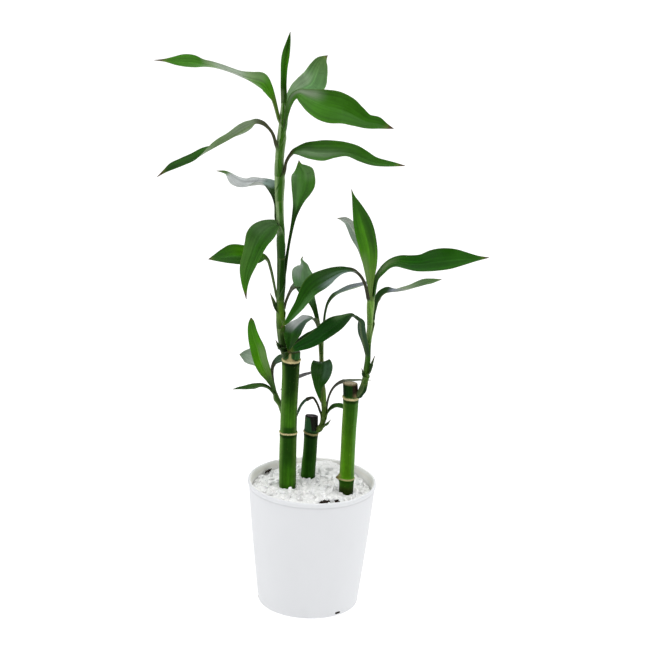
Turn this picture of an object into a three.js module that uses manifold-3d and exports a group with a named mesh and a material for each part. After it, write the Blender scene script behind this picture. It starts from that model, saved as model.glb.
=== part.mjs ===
// A potted lucky bamboo: three cut canes in a small white pot, four leafy shoots, soil and a
// topping of white stone chips. Millimetres, +Z up, pot axis on X = Y = 0, pot base on z = 0,
// front of the plant towards -Y.
import * as THREE from "three";
import { mergeVertices } from "three/addons/utils/BufferGeometryUtils.js";
import Module from "manifold-3d";

// Pot
const POT_HEIGHT = 103.3;
const POT_RIM_RADIUS = 50;
const POT_BASE_RADIUS = 39.8;
const POT_WALL = 2;
const POT_FLOOR = 2.4;
const POT_LIP_PROUD = 0.45; // how far the rounded lip stands out of the wall
const POT_LIP_HEIGHT = 2.6;
const POT_FOOT_ROUND = 2.2; // radius of the rounded bottom edge
const DRAIN_SLOTS = 3;
const DRAIN_SLOT_WIDTH = 6;
const DRAIN_SLOT_Z = [1.9, 4.5]; // lower and upper edge
const DRAIN_SLOT_FIRST_DEG = -52.5; // angle of the first slot about +Z, from +X

// Fill
const CLEARANCE = 0.3; // gap between touching pieces
const TOPPING_TOP = 97.8; // mean height of the stone chips
const TOPPING_DEPTH = 8;
const TOPPING_BUMP = 1.0;
const TOPPING_SLOPE = [-0.012, 0.035]; // rise per mm of x and y: a little higher at the back left
const TOPPING_MOUND = [8, 45, 19, 10, 3.4]; // heap behind the canes: x, y, spread along x and y, height
const SOIL_TOP = TOPPING_TOP - TOPPING_DEPTH - CLEARANCE;

// Canes: x, y, z and radius of the centre line; the node rings stand out a little.
const CANE_FOOT_Z = 42;
const CANE_SIDES = 18;
const NODE_RING_PROUD = 0.55;
const NODE_RING_HALF_HEIGHT = 1.5;
const CANES = {
  cane_left: {
    line: [[-18.9, 4.28, CANE_FOOT_Z, 6.3], [-19.35, 4.28, 95.4, 6.35], [-20.08, 4.28, 122.78, 6.45], [-20.22, 4.28, 139.36, 6.6], [-20.33, 4.28, 168.51, 6.65], [-20.03, 4.28, 189.48, 6.85], [-19.94, 4.28, 202.4, 6.95]],
    top: 209.4,
    topRadius: 6.2,
    topX: -19.0,
    rings: [62, 141.9, 202.4],
  },
  cane_middle: {
    line: [[-3.5, 25.66, CANE_FOOT_Z, 5.8], [-3.38, 25.66, 103.09, 5.75], [-2.63, 25.66, 118.67, 5.6], [-2.42, 25.66, 135.4, 5.5]],
    top: 148.3,
    topRadius: 5.3,
    topX: -2.4,
    rings: [70, 134],
  },
  cane_right: {
    line: [[27.4, -1.69, CANE_FOOT_Z, 5.7], [27.4, -1.69, 104.9, 5.75], [27.62, -1.69, 147.42, 5.85], [28.02, -1.69, 175, 6]],
    top: 186.9,
    topRadius: 5.85,
    topX: 27.1,
    rings: [56, 107, 175],
  },
};

// Shoots and leaves
const SHOOT_SIDES = 10;
const LEAF_SECTIONS = 15;
const LEAF_THICKNESS = 1.0; // at the midrib near the base
const LEAF_TIP_THICKNESS = 0.5;
// Shoot stems: x, y, z and radius of the centre line, from the cane upwards.
const SHOOTS = {
  tall_shoot: [
    [-23.92, 3.28, 203.5, 2.9],
    [-25.09, 1.88, 209.25, 3.2],
    [-27.14, 1.08, 217.72, 3.4],
    [-28.92, 1.48, 229.08, 3.3],
    [-29.95, 2.08, 243.64, 3.2],
    [-30.09, 3.08, 259.69, 3.1],
    [-30.43, 3.68, 279.86, 3.1],
    [-31.08, 4.08, 299.95, 3.1],
    [-32.57, 4.28, 319.94, 3.1],
    [-33.73, 4.28, 339.88, 3.45],
    [-34.18, 4.28, 351.79, 3.55],
    [-34.25, 4.28, 363.67, 3.45],
    [-33.96, 4.28, 376.31, 3.1],
    [-33.46, 4.28, 387.34, 2.7],
    [-32.97, 4.28, 398.33, 2.1],
    [-32.71, 4.28, 409.27, 1.2],
  ],
  right_shoot: [
    [31.67, -2.69, 176.12, 2.3],
    [34.49, -3.29, 178.38, 2.5],
    [36.55, -4.09, 181.76, 2.85],
    [37.87, -4.49, 186.13, 2.85],
    [38.75, -4.69, 191.32, 2.5],
    [39.39, -4.69, 198.42, 2.35],
    [39.9, -4.69, 206.73, 2.3],
    [39.88, -4.49, 216.59, 2.15],
    [39.97, -4.29, 225.59, 2.25],
    [40.4, -4.09, 233.77, 2.2],
    [40.29, -3.89, 241.9, 2.15],
    [40.18, -3.59, 249.99, 2.2],
    [40.03, -3.29, 257.23, 1.9],
    [39.68, -2.99, 263.64, 1.2],
  ],
  middle_shoot: [
    [2.71, 24.16, 136.21, 2.2],
    [5.17, 23.26, 139.65, 2.1],
    [6.76, 22.66, 144.64, 1.7],
    [7.23, 22.46, 153.69, 1.8],
    [6.64, 22.46, 163.01, 2],
    [5.61, 22.46, 171.45, 2],
    [4.77, 22.46, 181.56, 1.9],
    [4.08, 22.56, 191.61, 1.8],
    [3.33, 22.66, 203.31, 1.8],
    [2.49, 22.86, 213.25, 1.7],
    [1.21, 23.26, 222.25, 1.5],
    [-0.04, 23.46, 230.46, 0.9],
  ],
  side_shoot: [
    [-21.84, 11.08, 139.7, 1.9],
    [-23.78, 12.68, 146.67, 1.9],
    [-25.83, 13.78, 155.09, 1.8],
    [-28.11, 14.18, 161.62, 1.7],
    [-30.5, 14.38, 166.53, 1.6],
    [-32.4, 14.38, 171.51, 1.4],
    [-33.98, 14.38, 176.51, 1],
  ],
};
// Leaves: the shoot each grows from, the fold of the blade about its midrib in degrees, and
// rows from base to tip of centre x, y, z, half-width vector x, y, z and upper-face normal x, y, z.
const LEAVES = {
  tall_spear: { shoot: "tall_shoot", fold: 48, rows: [
    [-32.63, 2.48, 403.46, 1.52, -0.25, -0.06, -0.16, -0.99, -0.06],
    [-32.38, 1.88, 412.96, 2.21, -0.42, -0.01, -0.19, -0.98, -0.06],
    [-32.87, 1.28, 423.95, 2.29, -0.55, 0.02, -0.23, -0.97, -0.06],
    [-32.82, 0.68, 434.91, 2.5, -0.78, -0.14, -0.3, -0.95, -0.05],
    [-32.38, 0.08, 442.77, 2.92, -0.96, -0.35, -0.31, -0.95, -0.02],
    [-31.26, -0.22, 450.56, 2.59, -0.79, -0.43, -0.29, -0.96, 0],
    [-30.25, -0.52, 456.8, 1.7, -0.46, -0.28, -0.26, -0.97, 0],
    [-29.15, -0.72, 464.68, 0.15, -0.03, -0.02, -0.22, -0.98, 0.01],
  ] },
  tall_leaf_01: { shoot: "tall_shoot", fold: 11, rows: [
    [-34, 3.28, 386, 0.76, 1.72, 0.24, 0.9, -0.41, 0.11],
    [-35.32, 2.68, 394.32, 0.74, 1.61, 0.28, 0.89, -0.44, 0.15],
    [-37.54, 1.88, 403.02, 0.77, 1.53, 0.43, 0.86, -0.48, 0.17],
    [-40.11, 0.28, 411.48, 1.11, 1.99, 0.98, 0.83, -0.53, 0.14],
    [-43.13, -2.72, 418.89, 1.85, 3.69, 2.65, 0.83, -0.54, 0.17],
    [-47.75, -6.72, 426.27, 0.43, 5.94, 5.19, 0.74, -0.47, 0.47],
    [-54.33, -10.72, 429.54, -1.6, 5.97, 3.96, 0.55, -0.35, 0.76],
    [-61.78, -14.72, 432.69, -2.1, 5.89, 2.25, 0.49, -0.15, 0.86],
    [-69.22, -18.72, 436.66, -2.32, 5.64, 1.1, 0.43, 0, 0.9],
    [-76.62, -22.22, 439.82, -2.38, 5.67, 0.8, 0.36, 0.02, 0.93],
    [-83.97, -25.72, 442.44, -2.73, 5.93, 0.96, 0.31, -0.01, 0.95],
    [-91.25, -29.72, 444.55, -2.2, 5.57, 1.69, 0.32, -0.15, 0.93],
    [-98.55, -32.72, 446.36, -1.74, 5.7, 3.65, 0.32, -0.44, 0.84],
    [-105.8, -35.72, 447.04, -1.55, 5.11, 3.84, 0.22, -0.54, 0.81],
    [-113.08, -37.72, 447.12, -0.89, 3.66, 2.51, 0.18, -0.53, 0.83],
    [-120.36, -39.72, 447.72, -0.3, 1.51, 0.88, 0.16, -0.47, 0.87],
    [-128.39, -41.22, 447.88, -0.04, 0.2, 0.11, 0.1, -0.45, 0.89],
  ] },
  tall_leaf_02: { shoot: "tall_shoot", fold: 10, rows: [
    [-31.55, 5.48, 386.33, 1.31, -1.24, 0.03, -0.69, -0.72, 0.09],
    [-31.11, 6.18, 395.59, 1.15, -0.95, 0.04, -0.63, -0.76, 0.16],
    [-30.07, 8.08, 404.57, 1.46, -0.96, 0.03, -0.51, -0.75, 0.42],
    [-27.78, 11.78, 410.97, 3.19, -1.49, -0.56, -0.17, -0.64, 0.75],
    [-22.86, 19.28, 414.27, 5.13, -2.15, -3.56, 0.37, -0.45, 0.81],
    [-16.68, 30.28, 415.26, 6.31, -2.45, -6.71, 0.58, -0.41, 0.7],
    [-11.08, 41.28, 417.3, 9.11, -1.7, -4.94, 0.38, -0.39, 0.84],
    [-8.9, 51.28, 421.37, 8.71, -0.94, -1.97, 0.16, -0.38, 0.91],
    [-7.16, 61.28, 425.08, 6.92, -1.03, -1.37, 0.12, -0.41, 0.9],
    [-5.05, 68.78, 428.6, 3.94, -1.16, -1.57, 0.2, -0.47, 0.86],
    [-0.68, 75.28, 431.26, 0.14, -0.06, -0.08, 0.26, -0.51, 0.82],
  ] },
  tall_leaf_03: { shoot: "tall_shoot", fold: 9, rows: [
    [-31.3, 2.68, 380.76, 0.21, -1.98, -0.19, -0.99, -0.11, 0.05],
    [-30.8, 1.88, 389.61, 0.4, -2.35, -0.26, -0.98, -0.17, 0.06],
    [-29.6, 0.68, 400.9, 1.49, -3.14, -0.79, -0.89, -0.44, 0.07],
    [-27.85, -1.22, 409.21, 1.76, -2.54, -1.43, -0.81, -0.59, 0.06],
    [-25.03, -4.22, 415.77, 1.22, -2.05, -2.52, -0.78, -0.62, 0.12],
    [-20.89, -8.22, 419.04, -0.97, -2.05, -3.58, -0.63, -0.59, 0.51],
    [-15.87, -12.22, 417.94, -3.38, -2.74, -5.27, -0.35, -0.72, 0.6],
    [-9.31, -16.22, 415.75, -4.38, -3.73, -8.13, -0.3, -0.79, 0.53],
    [-1.67, -20.22, 414.08, -3.94, -4.72, -10.5, -0.31, -0.82, 0.48],
    [6.66, -23.72, 413.17, -3.64, -5.24, -11.1, -0.26, -0.84, 0.48],
    [14.99, -26.72, 411.68, -4.25, -4.92, -9.2, -0.13, -0.85, 0.51],
    [23.37, -29.22, 408.32, -3.67, -4.15, -6.34, -0.01, -0.83, 0.55],
    [30.98, -31.22, 405.35, -1.91, -3.57, -4.5, -0.05, -0.77, 0.63],
    [39.22, -33.22, 404.78, -1.44, -3.4, -3.73, -0.02, -0.73, 0.68],
    [45.27, -34.32, 402.99, -0.77, -1.74, -1.75, 0.07, -0.72, 0.69],
    [51.16, -35.22, 401.53, -0.05, -0.12, -0.12, 0.07, -0.7, 0.71],
  ] },
  tall_leaf_04: { shoot: "tall_shoot", fold: 16, rows: [
    [-35.74, 2.48, 366.45, -0.43, 1.75, 0.03, 0.96, 0.23, 0.15],
    [-36.89, 2.08, 374.39, -0.57, 1.6, 0.04, 0.93, 0.32, 0.19],
    [-38.3, 1.28, 381.15, -0.64, 1.36, 0.01, 0.85, 0.4, 0.33],
    [-40.41, 0.28, 386.33, -0.72, 1.19, -0.09, 0.71, 0.47, 0.53],
    [-43.85, -1.32, 390.82, -0.88, 1.18, -0.31, 0.46, 0.53, 0.71],
    [-48.66, -3.72, 394.5, -1.09, 1.41, -1.29, 0.02, 0.68, 0.73],
    [-53.19, -5.32, 395.33, -0.29, 1.72, -2.39, -0.34, 0.74, 0.58],
    [-57.62, -6.92, 393.05, 0.84, 2.9, -3.93, -0.51, 0.74, 0.44],
    [-64.24, -9.72, 389.9, 0.87, 4.09, -4.91, -0.52, 0.7, 0.49],
    [-72.71, -12.72, 385.32, 0.32, 5.35, -4.18, -0.53, 0.54, 0.65],
    [-81.54, -15.72, 380.89, -0.34, 6.15, -3.33, -0.53, 0.38, 0.76],
    [-90.35, -18.72, 376.08, -1.74, 6.72, -0.9, -0.52, -0.02, 0.86],
    [-99.12, -21.72, 370.03, -2.25, 5.3, 0.66, -0.37, -0.27, 0.89],
    [-107.18, -24.72, 366.75, -2.03, 4.89, 1.12, -0.28, -0.32, 0.9],
    [-114.54, -26.72, 363.55, -1.83, 3.81, 1.35, -0.33, -0.45, 0.83],
    [-119.67, -28.22, 360.15, -0.99, 1.88, 0.66, -0.41, -0.49, 0.77],
    [-125.52, -29.72, 355.63, -0.1, 0.2, 0.07, -0.45, -0.5, 0.74],
  ] },
  tall_leaf_05: { shoot: "tall_shoot", fold: 12, rows: [
    [-30.97, 2.08, 346.95, 0.17, -1.78, -0.16, -0.99, -0.1, 0.07],
    [-30.19, 1.28, 356.71, 0.29, -1.56, -0.22, -0.98, -0.19, 0.09],
    [-29.16, 0.28, 363.66, 0.26, -1.42, -0.4, -0.94, -0.24, 0.25],
    [-26.83, -1.12, 368.53, 0.14, -1.55, -0.68, -0.86, -0.26, 0.43],
    [-23.41, -3.32, 372.86, -0.39, -2.9, -1.64, -0.71, -0.27, 0.65],
    [-17.55, -6.72, 375.61, -2.06, -5.63, -3.57, -0.44, -0.36, 0.82],
    [-7.98, -11.72, 376.26, -3.4, -7.66, -5.3, -0.31, -0.44, 0.84],
    [1.9, -16.72, 377.63, -3, -8.16, -5.92, -0.38, -0.45, 0.81],
    [11.68, -21.72, 380.08, -3.55, -8.69, -4.2, -0.27, -0.33, 0.9],
    [20.74, -25.72, 380.39, -3.6, -7.51, -2.71, 0.02, -0.35, 0.94],
    [28.39, -28.72, 377.59, -3.11, -5.83, -2.73, 0.12, -0.47, 0.87],
    [36.77, -31.72, 374.98, -1.86, -4.3, -2.24, 0.01, -0.47, 0.88],
    [46.54, -34.72, 374.37, -0.91, -3, -1.7, -0.1, -0.47, 0.88],
    [54.03, -36.72, 374.27, -0.44, -1.74, -0.99, -0.09, -0.47, 0.88],
    [61.14, -38.22, 374.02, -0.04, -0.18, -0.1, -0.07, -0.48, 0.88],
  ] },
  tall_leaf_06: { shoot: "tall_shoot", fold: 14, rows: [
    [-35.04, 5.88, 318.58, 0.56, 2.02, -0.13, 0.96, -0.26, 0.13],
    [-35.95, 6.68, 327.14, 1.26, 3.16, -0.34, 0.92, -0.34, 0.21],
    [-37.37, 8.28, 333.84, 2.51, 4.3, -1.06, 0.83, -0.38, 0.41],
    [-39.66, 11.88, 339.48, 5.86, 5.89, -2.72, 0.6, -0.24, 0.76],
    [-43.96, 18.78, 341.28, 7.02, 4.72, -0.65, 0.09, 0, 1],
    [-50.12, 27.28, 339.54, 5.82, 4.63, 1.58, -0.3, 0.06, 0.95],
    [-55.8, 35.28, 336.59, 5.27, 4.72, 2.72, -0.45, -0.01, 0.89],
    [-61.53, 43.28, 333.87, 5.88, 4.87, 2.82, -0.39, -0.06, 0.92],
    [-66.52, 50.28, 332.84, 6.13, 4.39, 1.17, -0.11, -0.1, 0.99],
    [-71.61, 57.28, 334.18, 4.51, 3.39, -0.07, 0.13, -0.15, 0.98],
    [-75.44, 62.28, 335.63, 2.39, 1.99, 0.14, 0.05, -0.13, 0.99],
    [-80.05, 67.28, 335.92, 1.33, 1.36, 0.42, -0.18, -0.13, 0.98],
    [-85.61, 72.28, 335.02, 0.2, 0.23, 0.09, -0.27, -0.12, 0.96],
  ] },
  tall_leaf_07: { shoot: "tall_shoot", fold: 8, rows: [
    [-27.56, 5.08, 266.52, 0.62, -1.69, 0.09, -0.94, -0.34, 0.08],
    [-26.78, 6.08, 280.09, 0.92, -0.92, 0.03, -0.7, -0.7, 0.14],
    [-25.31, 8.08, 293.34, 0.77, -0.55, 0.02, -0.56, -0.79, 0.24],
    [-23.52, 11.28, 305.01, 1.01, -0.47, 0, -0.4, -0.84, 0.37],
    [-21.64, 15.78, 315.1, 1.71, -0.46, -0.09, -0.18, -0.8, 0.57],
    [-20.08, 20.78, 321.02, 2.95, -0.51, -0.26, -0.05, -0.69, 0.72],
    [-18.69, 27.28, 326.13, 4.93, -0.57, -0.72, 0.05, -0.59, 0.81],
    [-17.12, 34.28, 330.73, 7.55, -0.66, -1.24, 0.09, -0.52, 0.85],
    [-16, 41.78, 334.81, 9.38, -0.3, -0.67, 0.05, -0.44, 0.9],
    [-16.14, 50.28, 338.45, 9.33, 0.28, 0.65, -0.05, -0.35, 0.94],
    [-16.87, 58.28, 341.01, 7.85, 0.85, 2.27, -0.24, -0.29, 0.93],
    [-18.38, 64.28, 342.3, 4.45, 0.66, 1.96, -0.35, -0.27, 0.89],
    [-19.65, 69.78, 343.42, 1.99, 0.2, 0.52, -0.21, -0.31, 0.93],
    [-20.32, 75.28, 345.56, 0.16, 0.01, 0.02, -0.1, -0.37, 0.92],
  ] },
  tall_leaf_08: { shoot: "tall_shoot", fold: 11, rows: [
    [-31.49, 1.28, 300.75, -1.3, 0.96, 0.01, 0.59, 0.79, 0.17],
    [-32.34, 0.08, 309.12, -1.82, 1.97, 0.21, 0.71, 0.62, 0.34],
    [-34.14, -2.52, 314.93, -1.85, 3.07, 1.78, 0.64, -0.06, 0.76],
    [-38.77, -6.72, 314.51, -5.37, 4.61, 2.78, 0.13, -0.4, 0.91],
    [-43.72, -12.22, 311.58, -8.2, 4.58, 3.64, 0.02, -0.6, 0.8],
    [-47.58, -16.72, 307.47, -9.19, 3.63, 2.9, -0.05, -0.7, 0.71],
    [-50.17, -21.22, 302.31, -8.15, 2.36, 1.76, -0.09, -0.78, 0.62],
    [-52.77, -25.72, 295.1, -6.71, 1.52, 1.55, -0.08, -0.86, 0.51],
    [-54.86, -28.72, 289.22, -6.08, 1.12, 1.3, -0.07, -0.9, 0.43],
    [-56.09, -30.72, 284.35, -5.14, 0.61, 0.68, -0.06, -0.92, 0.38],
    [-56.63, -32.72, 279.2, -3.74, 0.19, 0.14, -0.04, -0.95, 0.32],
    [-56.64, -34.32, 273.62, -2.29, -0.03, -0.14, 0, -0.96, 0.28],
    [-56.07, -35.72, 268.88, -1.13, -0.08, -0.13, 0.04, -0.97, 0.24],
    [-55.28, -36.72, 263.62, -0.15, -0.01, -0.02, 0.05, -0.98, 0.19],
  ] },
  tall_leaf_09: { shoot: "tall_shoot", fold: 10, rows: [
    [-30.93, 3.08, 244.1, -0.28, 1.77, -0.12, 0.97, 0.16, 0.17],
    [-32.83, 3.48, 254.55, -0.16, 1.39, -0.05, 0.97, 0.12, 0.19],
    [-35.46, 3.28, 266.76, -0.1, 1.39, 0.08, 0.97, 0.06, 0.23],
    [-38.24, 1.78, 278.09, 0.03, 1.46, 0.36, 0.96, -0.09, 0.27],
    [-40.39, -0.22, 284.53, 0, 1.63, 0.76, 0.86, -0.22, 0.46],
    [-43.36, -2.12, 287.65, -0.71, 2.71, 1.46, 0.56, -0.27, 0.78],
    [-49, -4.72, 287.88, -1.69, 5.1, 3.15, 0.29, -0.43, 0.85],
    [-54.36, -6.72, 289.07, -1.11, 6.44, 4.99, 0.36, -0.53, 0.77],
    [-60.49, -8.72, 290.55, -1.11, 6.79, 6.09, 0.32, -0.6, 0.73],
    [-66.97, -10.72, 291.21, -2.2, 6.58, 6.11, 0.19, -0.63, 0.75],
    [-73.01, -12.72, 290.44, -2.3, 5.35, 4.3, 0.07, -0.61, 0.79],
    [-79.8, -14.72, 289.32, -1.19, 3.15, 2.16, 0.01, -0.56, 0.83],
    [-86.08, -16.22, 288.32, -0.06, 0.16, 0.1, -0.01, -0.54, 0.84],
  ] },
  tall_leaf_10: { shoot: "tall_shoot", fold: 10, rows: [
    [-27.45, 5.08, 241.13, 0.29, -1.39, 0.47, -0.97, -0.13, 0.21],
    [-26.45, 7.28, 247.03, 0.51, -0.98, 0.47, -0.88, -0.27, 0.39],
    [-24.48, 12.28, 252.09, 0.8, -0.65, 0.62, -0.7, -0.2, 0.69],
    [-22.11, 21.28, 254.44, 1.33, -0.4, 0.58, -0.4, 0, 0.92],
    [-19.21, 33.28, 253.43, 2.95, -0.83, -0.27, 0.11, 0.08, 0.99],
    [-15.61, 45.28, 251.64, 4.52, -1.73, -1.72, 0.36, 0.03, 0.93],
    [-11.79, 56.28, 249.86, 5.34, -2.47, -3.21, 0.51, -0.02, 0.86],
    [-8.29, 66.28, 247.72, 4.3, -2.57, -3.91, 0.65, -0.06, 0.76],
    [-4.73, 75.28, 245.23, 2.34, -2.03, -3.11, 0.75, -0.13, 0.65],
    [-0.7, 83.28, 242.38, 0.09, -0.1, -0.15, 0.78, -0.17, 0.61],
  ] },
  tall_leaf_11: { shoot: "tall_shoot", fold: 10, rows: [
    [-22.54, -3.92, 210.1, 0.49, -1.87, -0.5, -0.92, -0.31, 0.25],
    [-21.09, -4.72, 214.49, 0.28, -1.57, -0.13, -0.85, -0.19, 0.48],
    [-17.95, -3.72, 218.07, 0.42, -1.53, 0.21, -0.67, -0.08, 0.74],
    [-13.96, -1.72, 221.19, 0.71, -1.84, 0.35, -0.5, -0.03, 0.87],
    [-9, 0.78, 223.28, 1.67, -3.58, 0.31, -0.3, -0.06, 0.95],
    [-2.84, 3.78, 224.92, 2.53, -5.06, -0.33, -0.15, -0.14, 0.98],
    [3.35, 6.78, 226, 2.67, -5.69, -0.99, -0.07, -0.2, 0.98],
    [9.57, 9.28, 226.91, 1.72, -4.34, -1.08, -0.05, -0.26, 0.96],
    [15.8, 11.28, 227.82, 0.08, -0.23, -0.07, -0.04, -0.31, 0.95],
  ] },
  tall_bract_1: { shoot: "tall_shoot", fold: 20, rows: [
    [-30.21, 0.88, 235.81, 1.13, 1.8, 0.51, 0.82, -0.56, 0.15],
    [-31.96, 0.08, 242.57, 1.38, 1.37, 0.57, 0.67, -0.73, 0.12],
    [-34.67, -0.72, 250.09, 1.16, 0.99, 0.55, 0.6, -0.78, 0.14],
    [-38, -1.72, 258.44, 0.13, 0.1, 0.06, 0.58, -0.8, 0.14],
  ] },
  tall_bract_2: { shoot: "tall_shoot", fold: 20, rows: [
    [-28.1, -3.92, 212.77, 0.53, 2.19, 0.66, 0.86, -0.33, 0.39],
    [-29.91, -4.52, 216.2, 0.59, 1.36, 0.55, 0.81, -0.49, 0.33],
    [-32.54, -5.52, 221.38, 0.1, 0.15, 0.08, 0.74, -0.63, 0.25],
  ] },
  right_spear: { shoot: "right_shoot", fold: 12, rows: [
    [40.23, -5.29, 252.17, 1.32, 0, 0.07, 0, -1, -0.09],
    [39.65, -6.29, 263.87, 1.62, 0, 0.09, 0, -0.99, -0.11],
    [39.03, -7.69, 274.83, 3.16, 0, 0.18, 0.01, -0.99, -0.14],
    [38.36, -9.69, 286.73, 5.29, 0.24, 0.52, 0.06, -0.98, -0.18],
    [36.82, -12.19, 299.08, 6.67, 0.74, 1.36, 0.14, -0.98, -0.15],
    [34.84, -13.69, 307.85, 7.03, 1.19, 1.97, 0.2, -0.97, -0.12],
    [32.57, -15.19, 316.17, 7.05, 1.56, 2.28, 0.24, -0.97, -0.08],
    [30.08, -16.29, 324.34, 6.23, 1.69, 2.21, 0.27, -0.96, -0.03],
    [27.48, -17.09, 332, 4.33, 1.23, 1.67, 0.27, -0.96, 0],
    [25.25, -17.69, 338.01, 2.7, 0.79, 1.08, 0.27, -0.96, 0.02],
    [23.29, -18.09, 343.17, 1.12, 0.31, 0.41, 0.26, -0.96, 0.02],
    [21.54, -18.49, 348.88, 0.14, 0.04, 0.05, 0.25, -0.97, 0.01],
  ] },
  right_leaf_1: { shoot: "right_shoot", fold: 14, rows: [
    [39.89, -0.89, 251.56, 0.94, 0.52, -0.08, 0.49, -0.86, 0.16],
    [39.78, 0.91, 261.6, 1.09, 0.42, -0.07, 0.36, -0.9, 0.25],
    [39.08, 4.31, 271.11, 2.03, 0.62, -0.07, 0.28, -0.85, 0.44],
    [37.64, 9.81, 279.94, 3.75, 1.03, 0.14, 0.19, -0.76, 0.62],
    [35.01, 16.81, 287.49, 4.64, 1.33, 0.63, 0.08, -0.64, 0.76],
    [31.34, 25.31, 293.46, 4.86, 1.46, 1.18, -0.04, -0.54, 0.84],
    [27.39, 33.81, 297.99, 4.74, 1.49, 1.25, -0.09, -0.45, 0.89],
    [23.93, 42.31, 301.28, 4.08, 1.39, 0.98, -0.1, -0.37, 0.92],
    [20.82, 49.31, 303.66, 2.87, 1.45, 0.95, -0.16, -0.3, 0.94],
    [16.97, 54.81, 304.31, 1.72, 1.4, 1.11, -0.36, -0.27, 0.89],
    [11.89, 60.31, 303.2, 0.13, 0.14, 0.11, -0.47, -0.26, 0.84],
  ] },
  right_leaf_2: { shoot: "right_shoot", fold: 12, rows: [
    [42.05, -3.89, 253.43, 0.34, -1.96, -0.18, -0.98, -0.17, 0.03],
    [42.55, -4.89, 265.18, 0.94, -1.92, -0.34, -0.89, -0.45, 0.05],
    [44.41, -6.49, 275.65, 1.23, -2.55, -1.04, -0.85, -0.49, 0.2],
    [48.84, -8.89, 283.53, 0.97, -3.9, -2.16, -0.78, -0.44, 0.44],
    [54.12, -11.19, 288.96, -0.06, -4.39, -2.74, -0.63, -0.4, 0.66],
    [59.67, -13.69, 291.55, -1.27, -5.07, -3.11, -0.4, -0.4, 0.82],
    [67.28, -16.69, 292.13, -1.85, -5.77, -3.74, -0.25, -0.47, 0.85],
    [75.61, -19.69, 292.98, -1.15, -6.52, -4.95, -0.32, -0.54, 0.78],
    [84.62, -22.19, 295.55, -0.23, -7.16, -6.6, -0.36, -0.63, 0.69],
    [93.61, -24.69, 297.79, -0.22, -6.88, -6.71, -0.32, -0.66, 0.68],
    [102.61, -26.69, 299.56, -0.44, -5.94, -5.75, -0.26, -0.66, 0.7],
    [111.25, -28.69, 300.59, -0.43, -4.19, -3.77, -0.22, -0.64, 0.74],
    [119.14, -30.19, 301.53, -0.15, -2.15, -1.67, -0.21, -0.59, 0.78],
    [128.35, -31.69, 302.99, -0.01, -0.16, -0.11, -0.22, -0.54, 0.82],
  ] },
  right_leaf_3: { shoot: "right_shoot", fold: 14, rows: [
    [42.78, -0.89, 236.92, -0.11, -1.78, 0.23, -1, 0.06, 0.02],
    [42.99, 0.11, 244.81, -0.3, -1.72, 0.43, -0.98, 0.19, 0.08],
    [44.43, 2.31, 251.53, -1.19, -2.76, 1.6, -0.89, 0.44, 0.09],
    [46.72, 5.31, 256.89, -1.57, -2.97, 3.7, -0.8, 0.58, 0.13],
    [50.22, 8.81, 259.69, 0.95, -2.74, 4.32, -0.7, 0.52, 0.48],
    [54.87, 13.31, 259.77, 2.65, -2.77, 2.54, -0.34, 0.43, 0.83],
    [60.86, 18.31, 258.93, 2.44, -2.87, 1.35, -0.17, 0.3, 0.94],
    [67.23, 23.31, 258.77, 2.67, -3.43, 0.7, -0.11, 0.11, 0.99],
    [73.6, 28.31, 259.27, 2.87, -3.88, 0.29, -0.11, -0.01, 0.99],
    [79.17, 32.31, 260.15, 2.88, -3.94, -0.38, -0.04, -0.13, 0.99],
    [84.77, 36.31, 260.78, 2.35, -3.21, -1.04, 0.11, -0.23, 0.97],
    [90.42, 40.31, 260.84, 1.23, -1.84, -0.86, 0.21, -0.3, 0.93],
    [96.74, 44.31, 260.69, 0.11, -0.18, -0.09, 0.23, -0.33, 0.91],
  ] },
  right_leaf_4: { shoot: "right_shoot", fold: 17, rows: [
    [39.01, -5.09, 253.69, -1.04, 1.59, 0.03, 0.82, 0.53, 0.22],
    [37.18, -6.49, 263.84, -0.72, 1.42, 0.08, 0.86, 0.42, 0.27],
    [35.06, -8.09, 271.56, -0.66, 1.45, 0.16, 0.84, 0.33, 0.42],
    [31.78, -10.49, 278.08, -0.72, 1.52, 0.24, 0.73, 0.25, 0.64],
    [27.1, -13.69, 282.99, -1.12, 2.09, 0.39, 0.47, 0.09, 0.88],
    [21.5, -17.19, 284.64, -1.9, 3.52, 0.84, 0.2, -0.13, 0.97],
    [15.76, -20.19, 284.52, -2.38, 4.44, 1.42, 0, -0.3, 0.95],
    [10.24, -22.69, 282.98, -3.4, 5.79, 2.18, -0.14, -0.42, 0.9],
    [4.85, -25.09, 280.46, -4.56, 6.79, 3.04, -0.21, -0.51, 0.83],
    [-0.67, -27.49, 277.29, -5.36, 6.99, 3.52, -0.27, -0.59, 0.76],
    [-6.14, -29.69, 272.78, -5.41, 5.86, 2.91, -0.39, -0.67, 0.62],
    [-10.78, -31.49, 266.26, -4.58, 3.93, 2.01, -0.45, -0.76, 0.47],
    [-14.73, -32.89, 259.47, -3.48, 2.83, 1.62, -0.43, -0.79, 0.44],
    [-18.65, -34.09, 253.74, -2.57, 2.06, 1.4, -0.41, -0.8, 0.43],
    [-22.07, -34.89, 248.86, -1.73, 1.35, 1.05, -0.38, -0.82, 0.43],
    [-25.29, -35.69, 244.8, -0.78, 0.67, 0.56, -0.36, -0.81, 0.47],
    [-28.24, -36.29, 241.73, -0.11, 0.1, 0.08, -0.35, -0.8, 0.49],
  ] },
  right_leaf_5: { shoot: "right_shoot", fold: 12, rows: [
    [39.82, -6.59, 206.56, -1.33, 1.75, 0.06, 0.78, 0.59, 0.19],
    [38.56, -7.89, 216.04, -1.96, 1.45, -0.14, 0.56, 0.79, 0.25],
    [36.32, -9.69, 224.63, -2.61, 1.45, -0.36, 0.43, 0.85, 0.31],
    [34.39, -11.49, 231.89, -3.21, 1.58, -0.23, 0.41, 0.87, 0.29],
    [33.6, -12.89, 237.72, -3.02, 1.71, 0.17, 0.49, 0.83, 0.28],
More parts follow.
